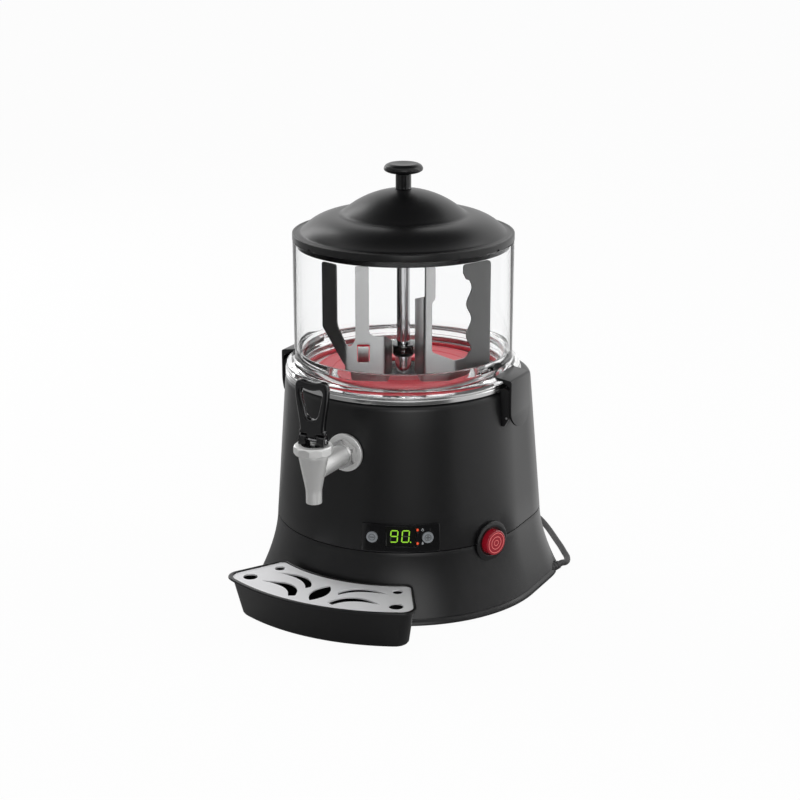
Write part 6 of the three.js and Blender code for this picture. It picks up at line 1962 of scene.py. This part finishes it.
    def handle(self) -> Piece:
        """Makes the handle: two cheeks at the pivot, a stem, and a loop to pull.

        Returns:
            The handle.
        """
        low, high, stem, half, bar = self.pivot, self.loop_top, self.stem_top, self.loop_half, self.bar
        shoulder, waist, cheek, bend = low + self.ear_half + self.gap, self.waist, self.cheek, high - 1.6 * bar
        side = [(cheek, low), (cheek, shoulder), (self.ear_span, shoulder), (self.ear_span, stem - 0.6)]
        side += curved(20, (waist, stem), (waist, stem + 2 * bar), (half, high - 4 * bar), (half, bend))
        side += curved(12, (half, bend), (half, high), (0.6 * half, high))[1:]
        side += curved(6, (0.6 * half, high), (0.3 * half, high - 0.3 * bar), (0, high - 0.3 * bar))[1:]
        side = softened(side, {1: 0.5, 2: 1.2, 3: 1.2, 4: 0.8}, 4)
        outline = [*side, *mirrored(side[:-1]), *reversed(arc((0, low), cheek, 180, 360, 24)[1:-1])]
        inner, foot, top = half - bar, stem + 2 * bar, high - 1.5 * bar
        hole = [*curved(8, (0, foot), (bar, foot), (1.4 * bar, foot + bar)), (inner, top - bar)]
        hole += curved(8, (inner, top - bar), (inner, top), (0.7 * inner, top))[1:]
        hole += curved(6, (0.7 * inner, top), (0.35 * inner, top - 0.3 * bar), (0, top - 0.3 * bar))[1:]
        hole += mirrored(hole[1:-1])
        handle = plate("pull", outline, self.handle_thickness, [hole], edge=2.3, edge_steps=4)
        moved(handle, shift(y=self.axis) @ turn(90, "X"))
        combined(handle, self.on_pivot(rod(self.ear_half, -cheek, cheek, 64, 0.5)), how="UNION")
        slot_low = (-self.slot_half, self.axis - 7, low - 2 * self.ear_half)
        slot = block("slot", slot_low, (self.slot_half, self.axis + 7, low + self.ear_half / 2))
        return combined(handle, slot, self.on_pivot(rod(self.pin_radius + 0.2, -20, 20)))

    def build(self) -> None:
        """Builds and places the tap's pieces."""
        settle = self.shop.settle
        settle(self.along_shank(self.washer.make("spacer")), "cast", "tap_washer")
        settle(self.nut_piece(), "rim", "tap_nut")
        settle(self.body_piece(), "cast", "tap_body")
        settle(self.bonnet_piece(), "cast", "tap_bonnet")
        settle(self.yoke(), "gloss", "tap_yoke")
        settle(self.pin(), "polished", "tap_pin")
        settle(self.handle(), "gloss", "tap_handle", body=Body.TAP_LEVER)


@dataclass
class Latches:
    """The two bent levers that hold the bowl down, with their brackets and pins."""

    shop: Shop
    wall: WallForm
    hook_inner: float = 109
    hook_root: Point = (117.2, 226.6)
    hook_top: float = 230
    hook_drop: float = 2.4
    heel_height: float = 221.2
    face: float = 127.5
    plate_thickness: float = 2
    flare: float = 2.6
    foot: float = 178
    half_width: float = 22
    pivot: Point = (122.4, 189.6)
    pin_radius: float = 1.3
    lug_radius: float = 2.7
    lug_half: float = 18.4
    cheek_span: Point = (18.7, 21.7)
    cheek: tuple[Point, ...] = (
        (112.5, 181), (120.4, 181), (124.5, 188.2), (125.2, 190.3), (125.2, 216.2), (122.4, 219), (112.5, 219),
    )
    cheek_low: float = 181
    cheek_top: float = 219
    bracket_inner: float = 112.5
    pan_radius: float = 117.5
    edge: float = 1.2

    def profile(self) -> list[Point]:
        """Returns the lever seen from the front, on the machine's right.

        Returns:
            The profile's points.
        """
        edge, face, back, pivot = self.edge, self.face, self.face - self.plate_thickness, self.pivot[1]
        shoulder = self.hook_top - self.hook_drop
        outer = [(self.hook_inner, self.hook_top), (face - edge, shoulder), (face, shoulder - edge)]
        outer += curved(10, (face, pivot + 2 * edge), (face, pivot - edge), (face + self.flare, self.foot))
        inner = curved(10, (back + self.flare, self.foot), (back, pivot - 2 * edge), (back, pivot + 2 * edge))
        inner += [(back, self.heel_height), self.hook_root, (self.hook_inner, self.hook_root[1])]
        return softened([*outer, *inner], {1: 1.1, 2: 1.1, len(outer) + 11: 2.5, len(outer) + 12: 2}, 5)

    def on_pivot(self, piece: Piece) -> Piece:
        """Lays a piece drawn along +Z along the hinge."""
        return moved(piece, shift(self.pivot[0], 0, self.pivot[1]) @ turn(90, "X"))

    def lever(self, name: str) -> Piece:
        """Makes a lever with its rounded tail and the hub that its pin runs through.

        Args:
            name: The new object's name.

        Returns:
            The lever.
        """
        half, (across, pivot), foot, lug = self.half_width, self.pivot, self.foot, self.lug_half
        lever = moved(plate(name, self.profile(), 2 * half), turn(90, "X"))
        tail = curved(20, (half, pivot + half / 2), (half, foot + half / 4), (half / 2, foot), (0, foot))
        side = [(half, self.hook_top + 5), *tail]
        trim = plate("trim", [*side, *mirrored(side[:-1])], 60)
        combined(lever, moved(trim, shift(x=self.face - 10) @ turn(90) @ turn(90, "X")), how="INTERSECT")
        bevelled(lever, 0.4, 3, 35)
        web_high = (self.face - self.plate_thickness / 2, lug, pivot + 2 * self.pin_radius)
        web = block("web", (across, -lug, pivot - self.pin_radius), web_high)
        combined(lever, self.on_pivot(rod(self.lug_radius, -lug, lug, 32)), web, how="UNION")
        return combined(lever, self.on_pivot(rod(self.pin_radius + 0.15, -2 * half, 2 * half, 32)))

    def bracket(self, name: str) -> Piece:
        """Makes the bracket on the housing's side, with the two cheeks that hold the pin.

        Args:
            name: The new object's name.

        Returns:
            The bracket.
        """
        (near, far), (across, pivot), wall = self.cheek_span, self.pivot, self.wall
        outline, middle = softened(self.cheek, dict.fromkeys(range(1, 6), 1.5), 4), (near + far) / 2
        low = (self.bracket_inner, -middle, pivot + 4 * self.pin_radius)
        back = block(name, low, (across - self.edge, middle, self.cheek_top))
        for side in SIDES:
            cheek = plate("cheek", outline, far - near, edge=0.5, edge_steps=2)
            combined(back, moved(cheek, shift(y=side * middle) @ turn(90, "X")), how="UNION")
        rings = [wall.ring(level, -0.3) for level in spread(self.cheek_low - 10, wall.top - 6, 8)]
        inside = loft("inside", [*rings, wall.ring(wall.top + 0.3, 5.7)], capped=True)
        pan = rod(self.pan_radius, wall.top - 5, self.cheek_top + 5, 144)
        return combined(back, inside, pan, self.on_pivot(rod(self.pin_radius, -2 * far, 2 * far, 32)))

    def build(self) -> None:
        """Builds and places both latches, the left one as the right one's mirror image."""
        settle, half = self.shop.settle, self.half_width
        for word, body, side in (("right", Body.LATCH_RIGHT, 1), ("left", Body.LATCH_LEFT, -1)):
            mirror = Matrix.Diagonal((side, 1, 1, 1))
            settle(moved(self.lever(f"lever_{word}"), mirror), "tray", f"latch_lever_{word}", body=body)
            settle(moved(self.bracket(f"bracket_{word}"), mirror), "shell", f"latch_bracket_{word}")
            pin = joined(f"hinge_pin_{word}", rod(self.pin_radius, -half, half, 32, 0.5, 3))
            settle(moved(self.on_pivot(pin), mirror), "satin", f"latch_pin_{word}")


@dataclass
class DripTray:
    """The curved tray that slides in at the front, with its steel grid."""

    shop: Shop
    bottom: float = 3.6
    neck: float = 40.5
    top: float = 43.5
    foot_radii: Point = (149, 195)
    foot_half: float = 28.6
    neck_half: float = 29.9
    rim_radii: Point = (138.4, 207)
    rim_half: float = 30.6
    corner: float = 13
    wall: float = 2.4
    lip: float = 3
    floor: float = 6
    grid_radii: Point = (140.6, 203.2)
    grid_half: float = 29.75
    grid_top: float = 42.3
    grid_thickness: float = 1.5
    hole_radii: Point = (7, 5)
    hole_places: Point = (188, 153.5)
    hole_azimuth: float = 24.9
    slots: tuple[tuple[Point, ...], ...] = (
        ((0.317, 0.532), (0.126, 0.243), (0.086, 0.805), (0.118, 0.859), (0.156, 0.506)),
        ((0.3, 0.139), (0.115, -0.049), (0.072, 0.411), (0.088, 0.489), (0.137, 0.146)),
    )
    leaf: Spot = (0.22, 0.86, 0.041)
    tongue: tuple[float, float, float, float, float] = (38, 10, 14.5, 17.5, -124)
    steps: int = 10

    @staticmethod
    def polar(radius: float, azimuth: float) -> Point:
        """Returns the place at a radius and an azimuth from the front."""
        angle = math.radians(azimuth)
        return radius * math.sin(angle), -radius * math.cos(angle)

    def sector(self, inner: float, outer: float, half: float, corner: float, height: float) -> list[Spot]:
        """Returns a ring sector's outline, symmetric about the machine's front.

        Args:
            inner: The radius of its back edge.
            outer: The radius of its front edge.
            half: Half its angle, in degrees.
            corner: The radius of its front corners. The back ones have half of it.
            height: The height of the points.

        Returns:
            The points, always as many.
        """
        lines = []
        for radius, rounding, sign in ((outer, corner, -1), (inner, corner / 2, 1)):
            off = math.degrees(math.asin(rounding / (radius + sign * rounding)))
            start = half - 90 - off if sign < 0 else half
            centre = self.polar(radius + sign * rounding, half - off)
            bend = arc(centre, rounding, start, start + 90 - sign * off, self.steps)
            ends = spread(sign * (half - off), sign * (off - half), 36)[1:-1]
            lines += [[self.polar(radius, angle) for angle in ends], bend]
        front, front_bend, back, back_bend = lines
        right = [*front_bend, *curved(8, front_bend[-1], back_bend[0])[1:-1], *back_bend]
        left_front, left_back = mirrored(front_bend), mirrored(back_bend)
        left = [*left_back, *curved(8, left_back[-1], left_front[0])[1:-1], *left_front]
        return [(x, y, height) for x, y in (*front, *right, *back, *left)]

    def level(self, height: float, inset: float, rim: bool = False) -> list[Spot]:
        """Returns the tray's outline at a height, moved inwards by an inset.

        Args:
            height: The height.
            inset: How far inwards the outline is moved.
            rim: Whether it follows the rim instead of the wall.

        Returns:
            The outline's points.
        """
        share = (height - self.bottom) / (self.top - self.bottom)
        inner = lerp(self.foot_radii[0], self.rim_radii[0], share)
        outer = lerp(self.foot_radii[1], self.rim_radii[1] - self.lip, share)
        half = lerp(self.foot_half, self.neck_half, (height - self.bottom) / (self.neck - self.bottom))
        if rim:
            (inner, outer), half = self.rim_radii, self.rim_half
        turned = math.degrees(inset / ((inner + outer) / 2))
        return self.sector(inner + inset, outer - inset, half - turned, max(self.corner - inset / 2, 4), height)

    def seat(self, height: float, inset: float) -> list[Spot]:
        """Returns the outline of the grid's seat at a height, moved inwards by an inset.

        Args:
            height: The height.
            inset: How far inwards the outline is moved.

        Returns:
            The outline's points.
        """
        inner, outer = self.grid_radii
        turned = math.degrees(inset / ((inner + outer) / 2))
        return self.sector(inner + inset, outer - inset, self.grid_half - turned, self.corner, height)

    def tray(self) -> Piece:
        """Makes the tray, with a rolled rim, a ledge for the grid and the tongues behind.

        Returns:
            The tray.
        """
        low, neck, high, floor, wall, lip = self.bottom, self.neck, self.top, self.floor, self.wall, self.lip
        ledge = self.grid_top - self.grid_thickness - 0.3
        outside = ((low, 2.4), (low + 0.7, 0.8), (low + 2.4, 0), (neck - 1.2, 0), (neck - 0.4, -0.6))
        rim = ((neck + 0.05, 1.6), (neck + 0.3, 0.5), (neck + 0.9, 0))
        rim += ((high - 1, 0), (high - 0.3, 0.3), (high, 1.1))
        seat = ((high, -1.2), (high - 0.3, -0.5), (high - 1.1, -0.3), (ledge, -0.3), (ledge, lip - 0.6))
        inside = ((ledge - 3, wall + 0.6), (floor + 3, wall), (floor + 0.9, wall + 0.9), (floor, wall + 3))
        rings = [self.level(*place) for place in outside] + [self.level(*place, True) for place in rim]
        rings += [self.seat(*place) for place in (*seat, (ledge - 0.4, lip))]
        tray = loft("tray_pan", rings + [self.level(*place) for place in inside], capped=True)
        x, half, z0, z1, back = self.tongue
        for side in SIDES:
            corner = (side * x - half, -self.foot_radii[0] - 2, z0)
            tongue = bevelled(block("tongue", corner, (side * x + half, back, z1)), 0.9, 3)
            combined(tray, tongue, how="UNION")
        return tray

    def grid_spot(self, across: float, out: float) -> Point:
        """Returns a place on the grid, as shares of its front radius and of its depth."""
        inner, outer = self.grid_radii
        return across * outer, -lerp(inner, outer, out)

    def slot(self, shares: tuple[Point, ...], side: float) -> list[Point]:
        """Returns one of the grid's curved slots, which narrows to a tip.

        Args:
            shares: Where the tip, the bends and the heel are on the grid.
            side: 1 for the machine's right, -1 for its left.

        Returns:
            The slot's edge.
        """
        tip, bend, heel, inner_heel, inner_bend = (self.grid_spot(side * across, out) for across, out in shares)
        edge = [*curved(16, tip, bend, heel), *curved(16, inner_heel, inner_bend, tip)[:-1]]
        return softened(edge, {16: 1.2, 17: 1.2}, 4)

    def grid(self) -> Piece:
        """Makes the steel grid, with a leaf, four curved slots and four round holes.

        Returns:
            The grid.
        """
        outline = [(x, y) for x, y, _ in self.sector(*self.grid_radii, self.grid_half, self.corner - 3, 0)]
        near, far, half = self.leaf
        bend = self.grid_spot(2 * half, (near + far) / 2)
        leaf = curved(16, self.grid_spot(0, near), bend, self.grid_spot(0, far))
        holes = [[*leaf, *mirrored(leaf[1:-1])]]
        for side in SIDES:
            holes += [self.slot(shares, side) for shares in self.slots]
            for radius, place in zip(self.hole_radii, self.hole_places):
                holes.append(circle(radius, 60, self.polar(place, side * self.hole_azimuth)))
        grid = bevelled(plate("tray_grid", outline, self.grid_thickness, holes), 0.25, 2, 60)
        return moved(grid, shift(z=self.grid_top - self.grid_thickness / 2))

    def build(self) -> None:
        """Builds and places the tray and its grid."""
        self.shop.settle(self.tray(), "tray", "drip_tray", body=Body.TRAY)
        self.shop.settle(self.grid(), "grid", "drip_grid", body=Body.GRID, angle=SHEET_ANGLE)


@dataclass
class MainsLead:
    """The mains lead from the skirt's side: a short run round the back, a coil, and the plug."""

    shop: Shop
    radius: float = 3.25
    exit_place: Spot = (141.47, 74.97, 6.6)
    exit_heading: float = 77
    relief_length: float = 30
    relief_radii: Spot = (6.2, 5.6, 4.2)
    relief_ribs: int = 4
    places: tuple[Spot, ...] = (
        (143.9, 88, 5), (142.7, 96.5, 3.8), (138.2, 107, 3.25), (130.6, 118, 3.25), (121.6, 131, 3.25),
        (111.4, 144.6, 3.25), (101, 158.6, 3.25), (90.4, 172.6, 3.25), (79.4, 186.2, 3.25), (67.6, 199.2, 3.25),
        (54.6, 211.4, 3.25), (41, 221.6, 3.25), (27.4, 228.8, 3.25), (18, 232, 3.25), (11.8, 232, 3.25),
    )
    coil_centre: Point = (5, 184)
    coil_radius: float = 27
    coil_pitch: float = 7
    coil_turns: int = 6
    climb: Point = (2.75, 0.5)
    straight_end: float = 6.5
    plug_centre: Point = (-48.3, 232)
    plug_body: Turned = Turned(
        (
            (0, 0), (15.91, 0), (17.205, 1.2), (17.205, 8), (18.5, 10.5), (18.5, 23.4), (16.9, 25), (0, 25),
        ),
        {1: 0.8, 2: 0.8, 3: 2, 4: 2, 5: 0.8, 6: 0.8}, steps=112, ring=False,
    )
    plug_height: float = 25
    sleeve_span: Point = (14.8, 46.5)
    sleeve_ribs: Point = (19.5, 45)
    sleeve_radii: Point = (6.5, 3.74)
    sleeve_height: float = 10.25
    mains_pin: Turned = Turned(((0, 20.3), (2.4, 20.3), (2.4, 44), (0, 44)), {1: 0.3, 2: 1.3}, 5, 40, False)
    pin_hole: Point = (2.42, 20.3)
    pin_half: float = 9.5

    def way_out(self) -> Matrix:
        """Returns the matrix that lays a piece drawn along +Z along the lead's way out."""
        return shift(*self.exit_place) @ turn(self.exit_heading) @ turn(90, "Y")

    def relief(self) -> Piece:
        """Makes the strain relief, with ribs round it.

        Returns:
            The strain relief.
        """
        (flange, base, tip), length, count = self.relief_radii, self.relief_length, self.relief_ribs
        bore = self.radius + 0.3
        profile = [(bore, -length), (flange, -length), (flange, -length + 4), (base, -length + 5)]
        for i in range(count):
            start, end = (lerp(-length + 8, -2, (i + part) / count) for part in (0, 0.5))
            radius = lerp(base, tip, (start + length) / length)
            profile += [(radius, start), (radius - 0.5, start + 0.4)]
            profile += [(radius - 0.6, end - 0.4), (radius - 0.15, end)]
        profile += [(tip, -0.3), (tip - 0.3, 0), (bore, 0)]
        return moved(lathe("relief", profile, 48, ring=True), self.way_out())

    def coil_spot(self, turned: float) -> Spot:
        """Returns where the coil is after some turns.

        Args:
            turned: How many turns.

        Returns:
            The place.
        """
        angle, (x, y), (start, span) = math.radians(90 + 360 * turned), self.coil_centre, self.climb
        radius = self.coil_radius + self.coil_pitch * abs(turned - self.coil_turns / 2)
        height = self.radius + self.coil_pitch * min(max((turned - start) / span, 0), 1)
        return x + radius * math.cos(angle), y + radius * math.sin(angle), height

    def route(self) -> list[Spot]:
        """Returns the lead's middle line, close together, from its way out to the plug.

        Returns:
            The line's points.
        """
        (x, y, z), heading = self.exit_place, math.radians(self.exit_heading)
        start = [(x + math.cos(heading) * d, y + math.sin(heading) * d, z) for d in (0.3, 6.5)]
        places = [Vector(place) for place in (*start, *self.places)]
        line = []
        for i, (place, after) in enumerate(zip(places, places[1:])):
            line += self.rounded_step(places[max(i - 1, 0)], place, after, places[min(i + 2, len(places) - 1)])
        line += [self.coil_spot(turned) for turned in spread(0, self.coil_turns, 72 * self.coil_turns)]
        x, y, z = line[-1]
        return [*line, (x - self.straight_end, y, z)]

    @staticmethod
    def rounded_step(before: Vector, start: Vector, end: Vector, after: Vector, steps: int = 5) -> list[Spot]:
        """Returns points on the smooth curve between two places, given their neighbours.

        Args:
            before: The place before the first one.
            start: The first place.
            end: The second place.
            after: The place after the second one.
            steps: How many straight steps stand for the curve.

        Returns:
            The points, without the second place.
        """
        steps_between = ((before, start), (start, end), (end, after))
        near, gap, far = (max((b - a).length, 0.001) ** 0.5 for a, b in steps_between)
        slope_in = (end - before) / (near + gap) * gap if before != start else end - start
        slope_out = (after - start) / (gap + far) * gap if after != end else end - start
        line = []
        for t in spread(0, 1, steps)[:-1]:
            weights = (2 * t**3 - 3 * t**2 + 1, t**3 - 2 * t**2 + t, -2 * t**3 + 3 * t**2, t**3 - t**2)
            parts = [part * weight for part, weight in zip((start, slope_in, end, slope_out), weights)]
            line.append(tuple(sum(parts, Vector((0, 0, 0)))))
        return line

    def lead(self) -> Piece:
        """Makes the lead as one round cord.

        Returns:
            The cord.
        """
        route = self.route()
        curve = bpy.data.curves.new("mains_lead", "CURVE")
        curve.dimensions = "3D"
        spline = curve.splines.new("POLY")
        spline.points.add(len(route) - 1)
        for point, place in zip(spline.points, route):
            point.co = (*place, 1)
        curve.bevel_depth = self.radius
        curve.bevel_resolution = 5
        curve.use_fill_caps = True
        return meshed("mains_lead", curve)

    def plug(self) -> Piece:
        """Makes the round plug, with a grip, holes for its pins and the lead's ribbed sleeve.

        Returns:
            The plug.
        """
        (start, end), (base, tip), (first, last) = self.sleeve_span, self.sleeve_radii, self.sleeve_ribs
        sleeve, count = [(0, start), (base, start)], 6
        for i in range(count):
            low, high = (lerp(first, last, (i + part) / count) for part in (0, 0.55))
            thick = lerp(base, tip, (low - start) / (end - start))
            sleeve += [(thick, low), (thick - 0.7, low + 0.3), (thick - 0.8, high - 0.3), (thick - 0.2, high)]
        sleeve += [(tip, end - 0.3), (tip - 0.3, end), (0, end)]
        sideways = shift(z=self.sleeve_height) @ turn(90, "Y")
        grip = moved(lathe("sleeve", sleeve, 40), sideways)
        plug = combined(self.plug_body.make("plug_body"), grip, how="UNION")
        combined(plug, moved(rod(self.radius, end - 6.5, end + 2, 32), sideways))
        radius, low = self.pin_hole
        for side in SIDES:
            combined(plug, moved(rod(radius, low, self.plug_height + 2, 40), shift(y=side * self.pin_half)))
        return moved(plug, shift(*self.plug_centre))

    def build(self) -> None:
        settle, route, (px, py) = self.shop.settle, self.route(), self.plug_centre
        settle(self.relief(), "rubber", "cord_relief")
        lead = settle(self.lead(), "rubber", "cord_lead", "cord_coil")
        plug, pins = settle(self.plug(), "rubber", "plug"), []
        for word, side in zip(("left", "right"), SIDES):
            pin = moved(self.mains_pin.make(f"mains_pin_{word}"), shift(px, py + side * self.pin_half))
            pins.append(settle(pin, "brass", f"plug_pin_{word}"))
        length = sum(math.dist(a, b) for a, b in zip(route, route[1:]))
        log.info("the lead is %.0f mm long", length)
        x, y, z = self.exit_place
        [(px * MM, py * MM + self.shop.axis_y, pz * MM) for px, py, pz in route]
        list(pins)


@dataclass
class Inside:
    """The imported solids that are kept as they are, mostly hidden, by finish."""

    finishes: Finishes
    kept: tuple[tuple[str, tuple[str, ...]], ...] = (
        ("zinc", ("base_plate", "gearbox", "motor_bracket")),
        ("satin", ("drain_pipe", "water_tank", "heating_element", "gear_motor", "lid_knob_screw", "tap_plunger")),
        ("brass", ("temperature_probe",)),
        ("board", ("control_board",)),
        ("polished", ("drive_shaft",)),
        ("rubber", ("tap_seat",)),
    )

    def build(self, nodes: dict[str, Piece]) -> None:
        """Gives each kept solid its finish.

        Args:
            nodes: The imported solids, by name.
        """
        for finish, names in self.kept:
            for name in names:
                nodes[name].data.materials.clear()
                nodes[name].data.materials.append(self.finishes[finish])


# The studio


@dataclass(frozen=True)
class SoftLamp:
    """One soft lamp: where it stands round the machine, how large it is and how strong."""

    name: str
    azimuth: float
    height: float
    distance: float
    width: float
    length: float
    power: float

    def build(self, aim: Vector) -> None:
        """Sets the lamp up and points it at a place.

        Args:
            aim: The place.
        """
        angle = math.radians(self.azimuth)
        place = Vector((math.sin(angle) * self.distance, -math.cos(angle) * self.distance, self.height))
        heading = (aim - place).to_track_quat("-Z", "Y").to_euler()
        bpy.ops.object.light_add(type="AREA", location=place, rotation=heading)
        lamp = bpy.context.object
        lamp.name = self.name
        lamp.data.shape = "RECTANGLE"
        lamp.data.size = self.width
        lamp.data.size_y = self.length
        lamp.data.energy = self.power


@dataclass(frozen=True)
class Screen:
    """A dark screen: where it stands, its grey, and whether gloss or clear plastic shows it."""

    name: str
    first: float
    last: float
    grey: float
    gloss: bool = False
    clear: bool = False

    def finish(self, piece: Piece, axis_y: float) -> None:
        """Gives the screen its felt, which only light from a glossy surface meets, and places it.

        Args:
            piece: The screen's mesh.
            axis_y: How far along Y the bowl's axis stands.
        """
        material = bpy.data.materials.new(self.name)
        material.use_nodes = True
        wiring = Wiring(material.node_tree)
        felt = wiring.add("ShaderNodeBsdfDiffuse", color=(self.grey, self.grey, self.grey, 1))
        empty = wiring.add("ShaderNodeBsdfTransparent")
        bounces = wiring.add("ShaderNodeLightPath").outputs["Glossy Depth"]
        wiring.surface(wiring.maths("MINIMUM", bounces, 1), empty.outputs[0], felt.outputs[0])
        piece.name = self.name
        piece.location.y += axis_y
        piece.data.materials.append(material)
        piece.visible_camera = piece.visible_diffuse = piece.visible_shadow = False
        piece.visible_glossy = self.gloss
        piece.visible_transmission = self.clear

    def build(self, profile: Sequence[Point], axis_y: float) -> None:
        """Spins the screen round the machine.

        Args:
            profile: Radius and height of each point, in metres.
            axis_y: How far along Y the bowl's axis stands.
        """
        piece = draw_line(self.name, profile)
        with editing(piece):
            turned = math.radians(90 - self.first)
            bpy.ops.transform.rotate(value=turned, orient_axis="Z", center_override=(0, 0, 0))
            angle = math.radians(self.first - self.last)
            bpy.ops.mesh.spin(steps=32, angle=angle, center=(0, 0, 0), axis=(0, 0, 1))
        self.finish(piece, axis_y)


@dataclass
class Studio:
    """A white room: the camera, the floor, the sky and the lamps."""

    distance: float = 1800
    aside: float = 3.31
    height: float = 741.5
    yaw: float = 27
    pitch: float = 17.17
    lens: float = 84.46
    floor_size: float = 30
    floor_glow: float = 0.96
    floor_colour: Spot = (0.9, 0.9, 0.9)
    sky: float = 0.4
    aim_height: float = 0.22
    near_profile: tuple[Point, ...] = ((0.15, 0.001), (0.36, 0.001))
    far_profile: tuple[Point, ...] = ((0.36, 0.001), (1.1, 0.001), (1.25, 1.5))
    near_screen: Screen = Screen("near_screen", -112, 124, 0.4, gloss=True)
    screens: tuple[Screen, ...] = (
        Screen("left_screen", -112, -2, 0.36, gloss=True),
        Screen("left_inner_screen", -112, -2, 0.03, clear=True),
        Screen("front_screen", -2, 70, 0.08, gloss=True),
        Screen("right_screen", 70, 124, 0.9, gloss=True),
        Screen("right_inner_screen", 70, 124, 0.3, clear=True),
    )
    roof: Screen = Screen("roof_screen", 0, 0, 0.05, gloss=True)
    roof_radius: float = 0.62
    roof_place: Spot = (-0.11, 0.22, 1.1)
    lamps: tuple[SoftLamp, ...] = (
        SoftLamp("front_lamp", 34, 0.7, 2.0, 0.8, 0.7, 15),
        SoftLamp("right_lamp", 124, 1.0, 1.6, 0.7, 1.2, 8),
        SoftLamp("left_lamp", -104, 1.0, 1.8, 1.3, 1.6, 19),
    )

    def camera(self, axis_y: float) -> None:
        """Sets up the camera at the photograph's viewing angle.

        Args:
            axis_y: How far along Y the bowl's axis stands.
        """
        yaw = math.radians(self.yaw)
        right = Vector((math.cos(yaw), math.sin(yaw), 0))
        away = Vector((-math.sin(yaw), math.cos(yaw), 0))
        place = (-away * self.distance - right * self.aside) * MM + Vector((0, axis_y, self.height * MM))
        bpy.ops.object.camera_add(location=place, rotation=(math.radians(90 - self.pitch), 0, yaw))
        camera = bpy.context.object
        camera.name = "photo_camera"
        camera.data.lens = self.lens
        camera.data.sensor_width = 36
        bpy.context.scene.camera = camera

    @staticmethod
    def seen_directly(wiring: Wiring) -> Socket:
        """Returns 1 for what the camera, a mirror or clear plastic shows, and 0 for what lights.

        Args:
            wiring: The wiring of the material or the sky.

        Returns:
            The socket.
        """
        path = wiring.add("ShaderNodeLightPath").outputs
        seen = wiring.maths("MAXIMUM", path["Is Camera Ray"], path["Is Glossy Ray"])
        return wiring.maths("MAXIMUM", seen, path["Is Transmission Ray"])

    def floor(self) -> None:
        """Lays the pale floor, which keeps a soft shadow."""
        deselect_all()
        bpy.ops.mesh.primitive_plane_add(size=self.floor_size)
        floor = bpy.context.object
        floor.name = "studio_floor"
        material = bpy.data.materials.new("floor_white")
        material.use_nodes = True
        wiring = Wiring(material.node_tree)
        lit = wiring.add("ShaderNodeBsdfDiffuse", color=(*self.floor_colour, 1))
        glow = wiring.add("ShaderNodeEmission", color=(1, 1, 1, 1), strength=1)
        share = wiring.maths("MULTIPLY", self.seen_directly(wiring), self.floor_glow)
        wiring.surface(share, lit.outputs[0], glow.outputs[0])
        floor.data.materials.append(material)

    def roof_screen(self, axis_y: float) -> None:
        """Hangs the round screen over the lid.

        Args:
            axis_y: How far along Y the bowl's axis stands.
        """
        deselect_all()
        bpy.ops.mesh.primitive_circle_add(vertices=64, radius=self.roof_radius, fill_type="NGON")
        roof = bpy.context.object
        roof.location = self.roof_place
        self.roof.finish(roof, axis_y)

    def world(self) -> None:
        """Makes the sky white where it is seen, and dimmer where it lights."""
        world = bpy.data.worlds.new("studio_sky")
        world.use_nodes = True
        bpy.context.scene.world = world
        wiring = Wiring(world.node_tree)
        lift = wiring.maths("MULTIPLY", self.seen_directly(wiring), 1 - self.sky)
        strength = wiring.maths("ADD", lift, self.sky)
        sky = wiring.add("ShaderNodeBackground", color=(1, 1, 1, 1), strength=strength)
        wiring.add("ShaderNodeOutputWorld", surface=sky.outputs[0])

    def build(self, axis_y: float) -> None:
        """Sets up the floor, the screens, the sky and the lamps.

        Args:
            axis_y: How far along Y the bowl's axis stands.
        """
        self.floor()
        for screen in self.screens:
            screen.build(self.far_profile, axis_y)
        self.near_screen.build(self.near_profile, axis_y)
        self.roof_screen(axis_y)
        self.world()
        for lamp in self.lamps:
            lamp.build(Vector((0, axis_y, self.aim_height)))
        bpy.context.scene.view_settings.view_transform = "Standard"


def middle_of(node: str) -> Vector:
    """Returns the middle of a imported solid's box, in metres."""
    low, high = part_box(node)
    return (Vector(low) + Vector(high)) / 2


def main() -> None:
    """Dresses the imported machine."""
    logging.basicConfig(level=logging.INFO, format="%(message)s")
    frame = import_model()
    deselect_all()
    axis_y, tap_y = middle_of("lid_knob").y, middle_of("tap_bonnet").y
    studio = Studio()
    studio.camera(axis_y)
    finishes = Finishes(axis_y, tap_y)
    shop, wall = Shop(finishes, axis_y), WallForm()
    lead = MainsLead(shop)
    lead.build()
    panel, switch, tap = ControlPanel(shop, wall), PowerSwitch(shop, wall), Tap(shop, wall)
    Housing(shop, wall, tap, panel, switch, lead).build()
    PanAndSeals(shop).build()
    ClearBowl(shop).build()
    Lid(shop).build()
    Stirrer(shop).build()
    for assembly in (panel, switch, tap, Latches(shop, wall), DripTray(shop)):
        assembly.build()
    Inside(finishes).build(frame["nodes"])
    studio.build(axis_y)


if __name__ == "__main__":
    main()
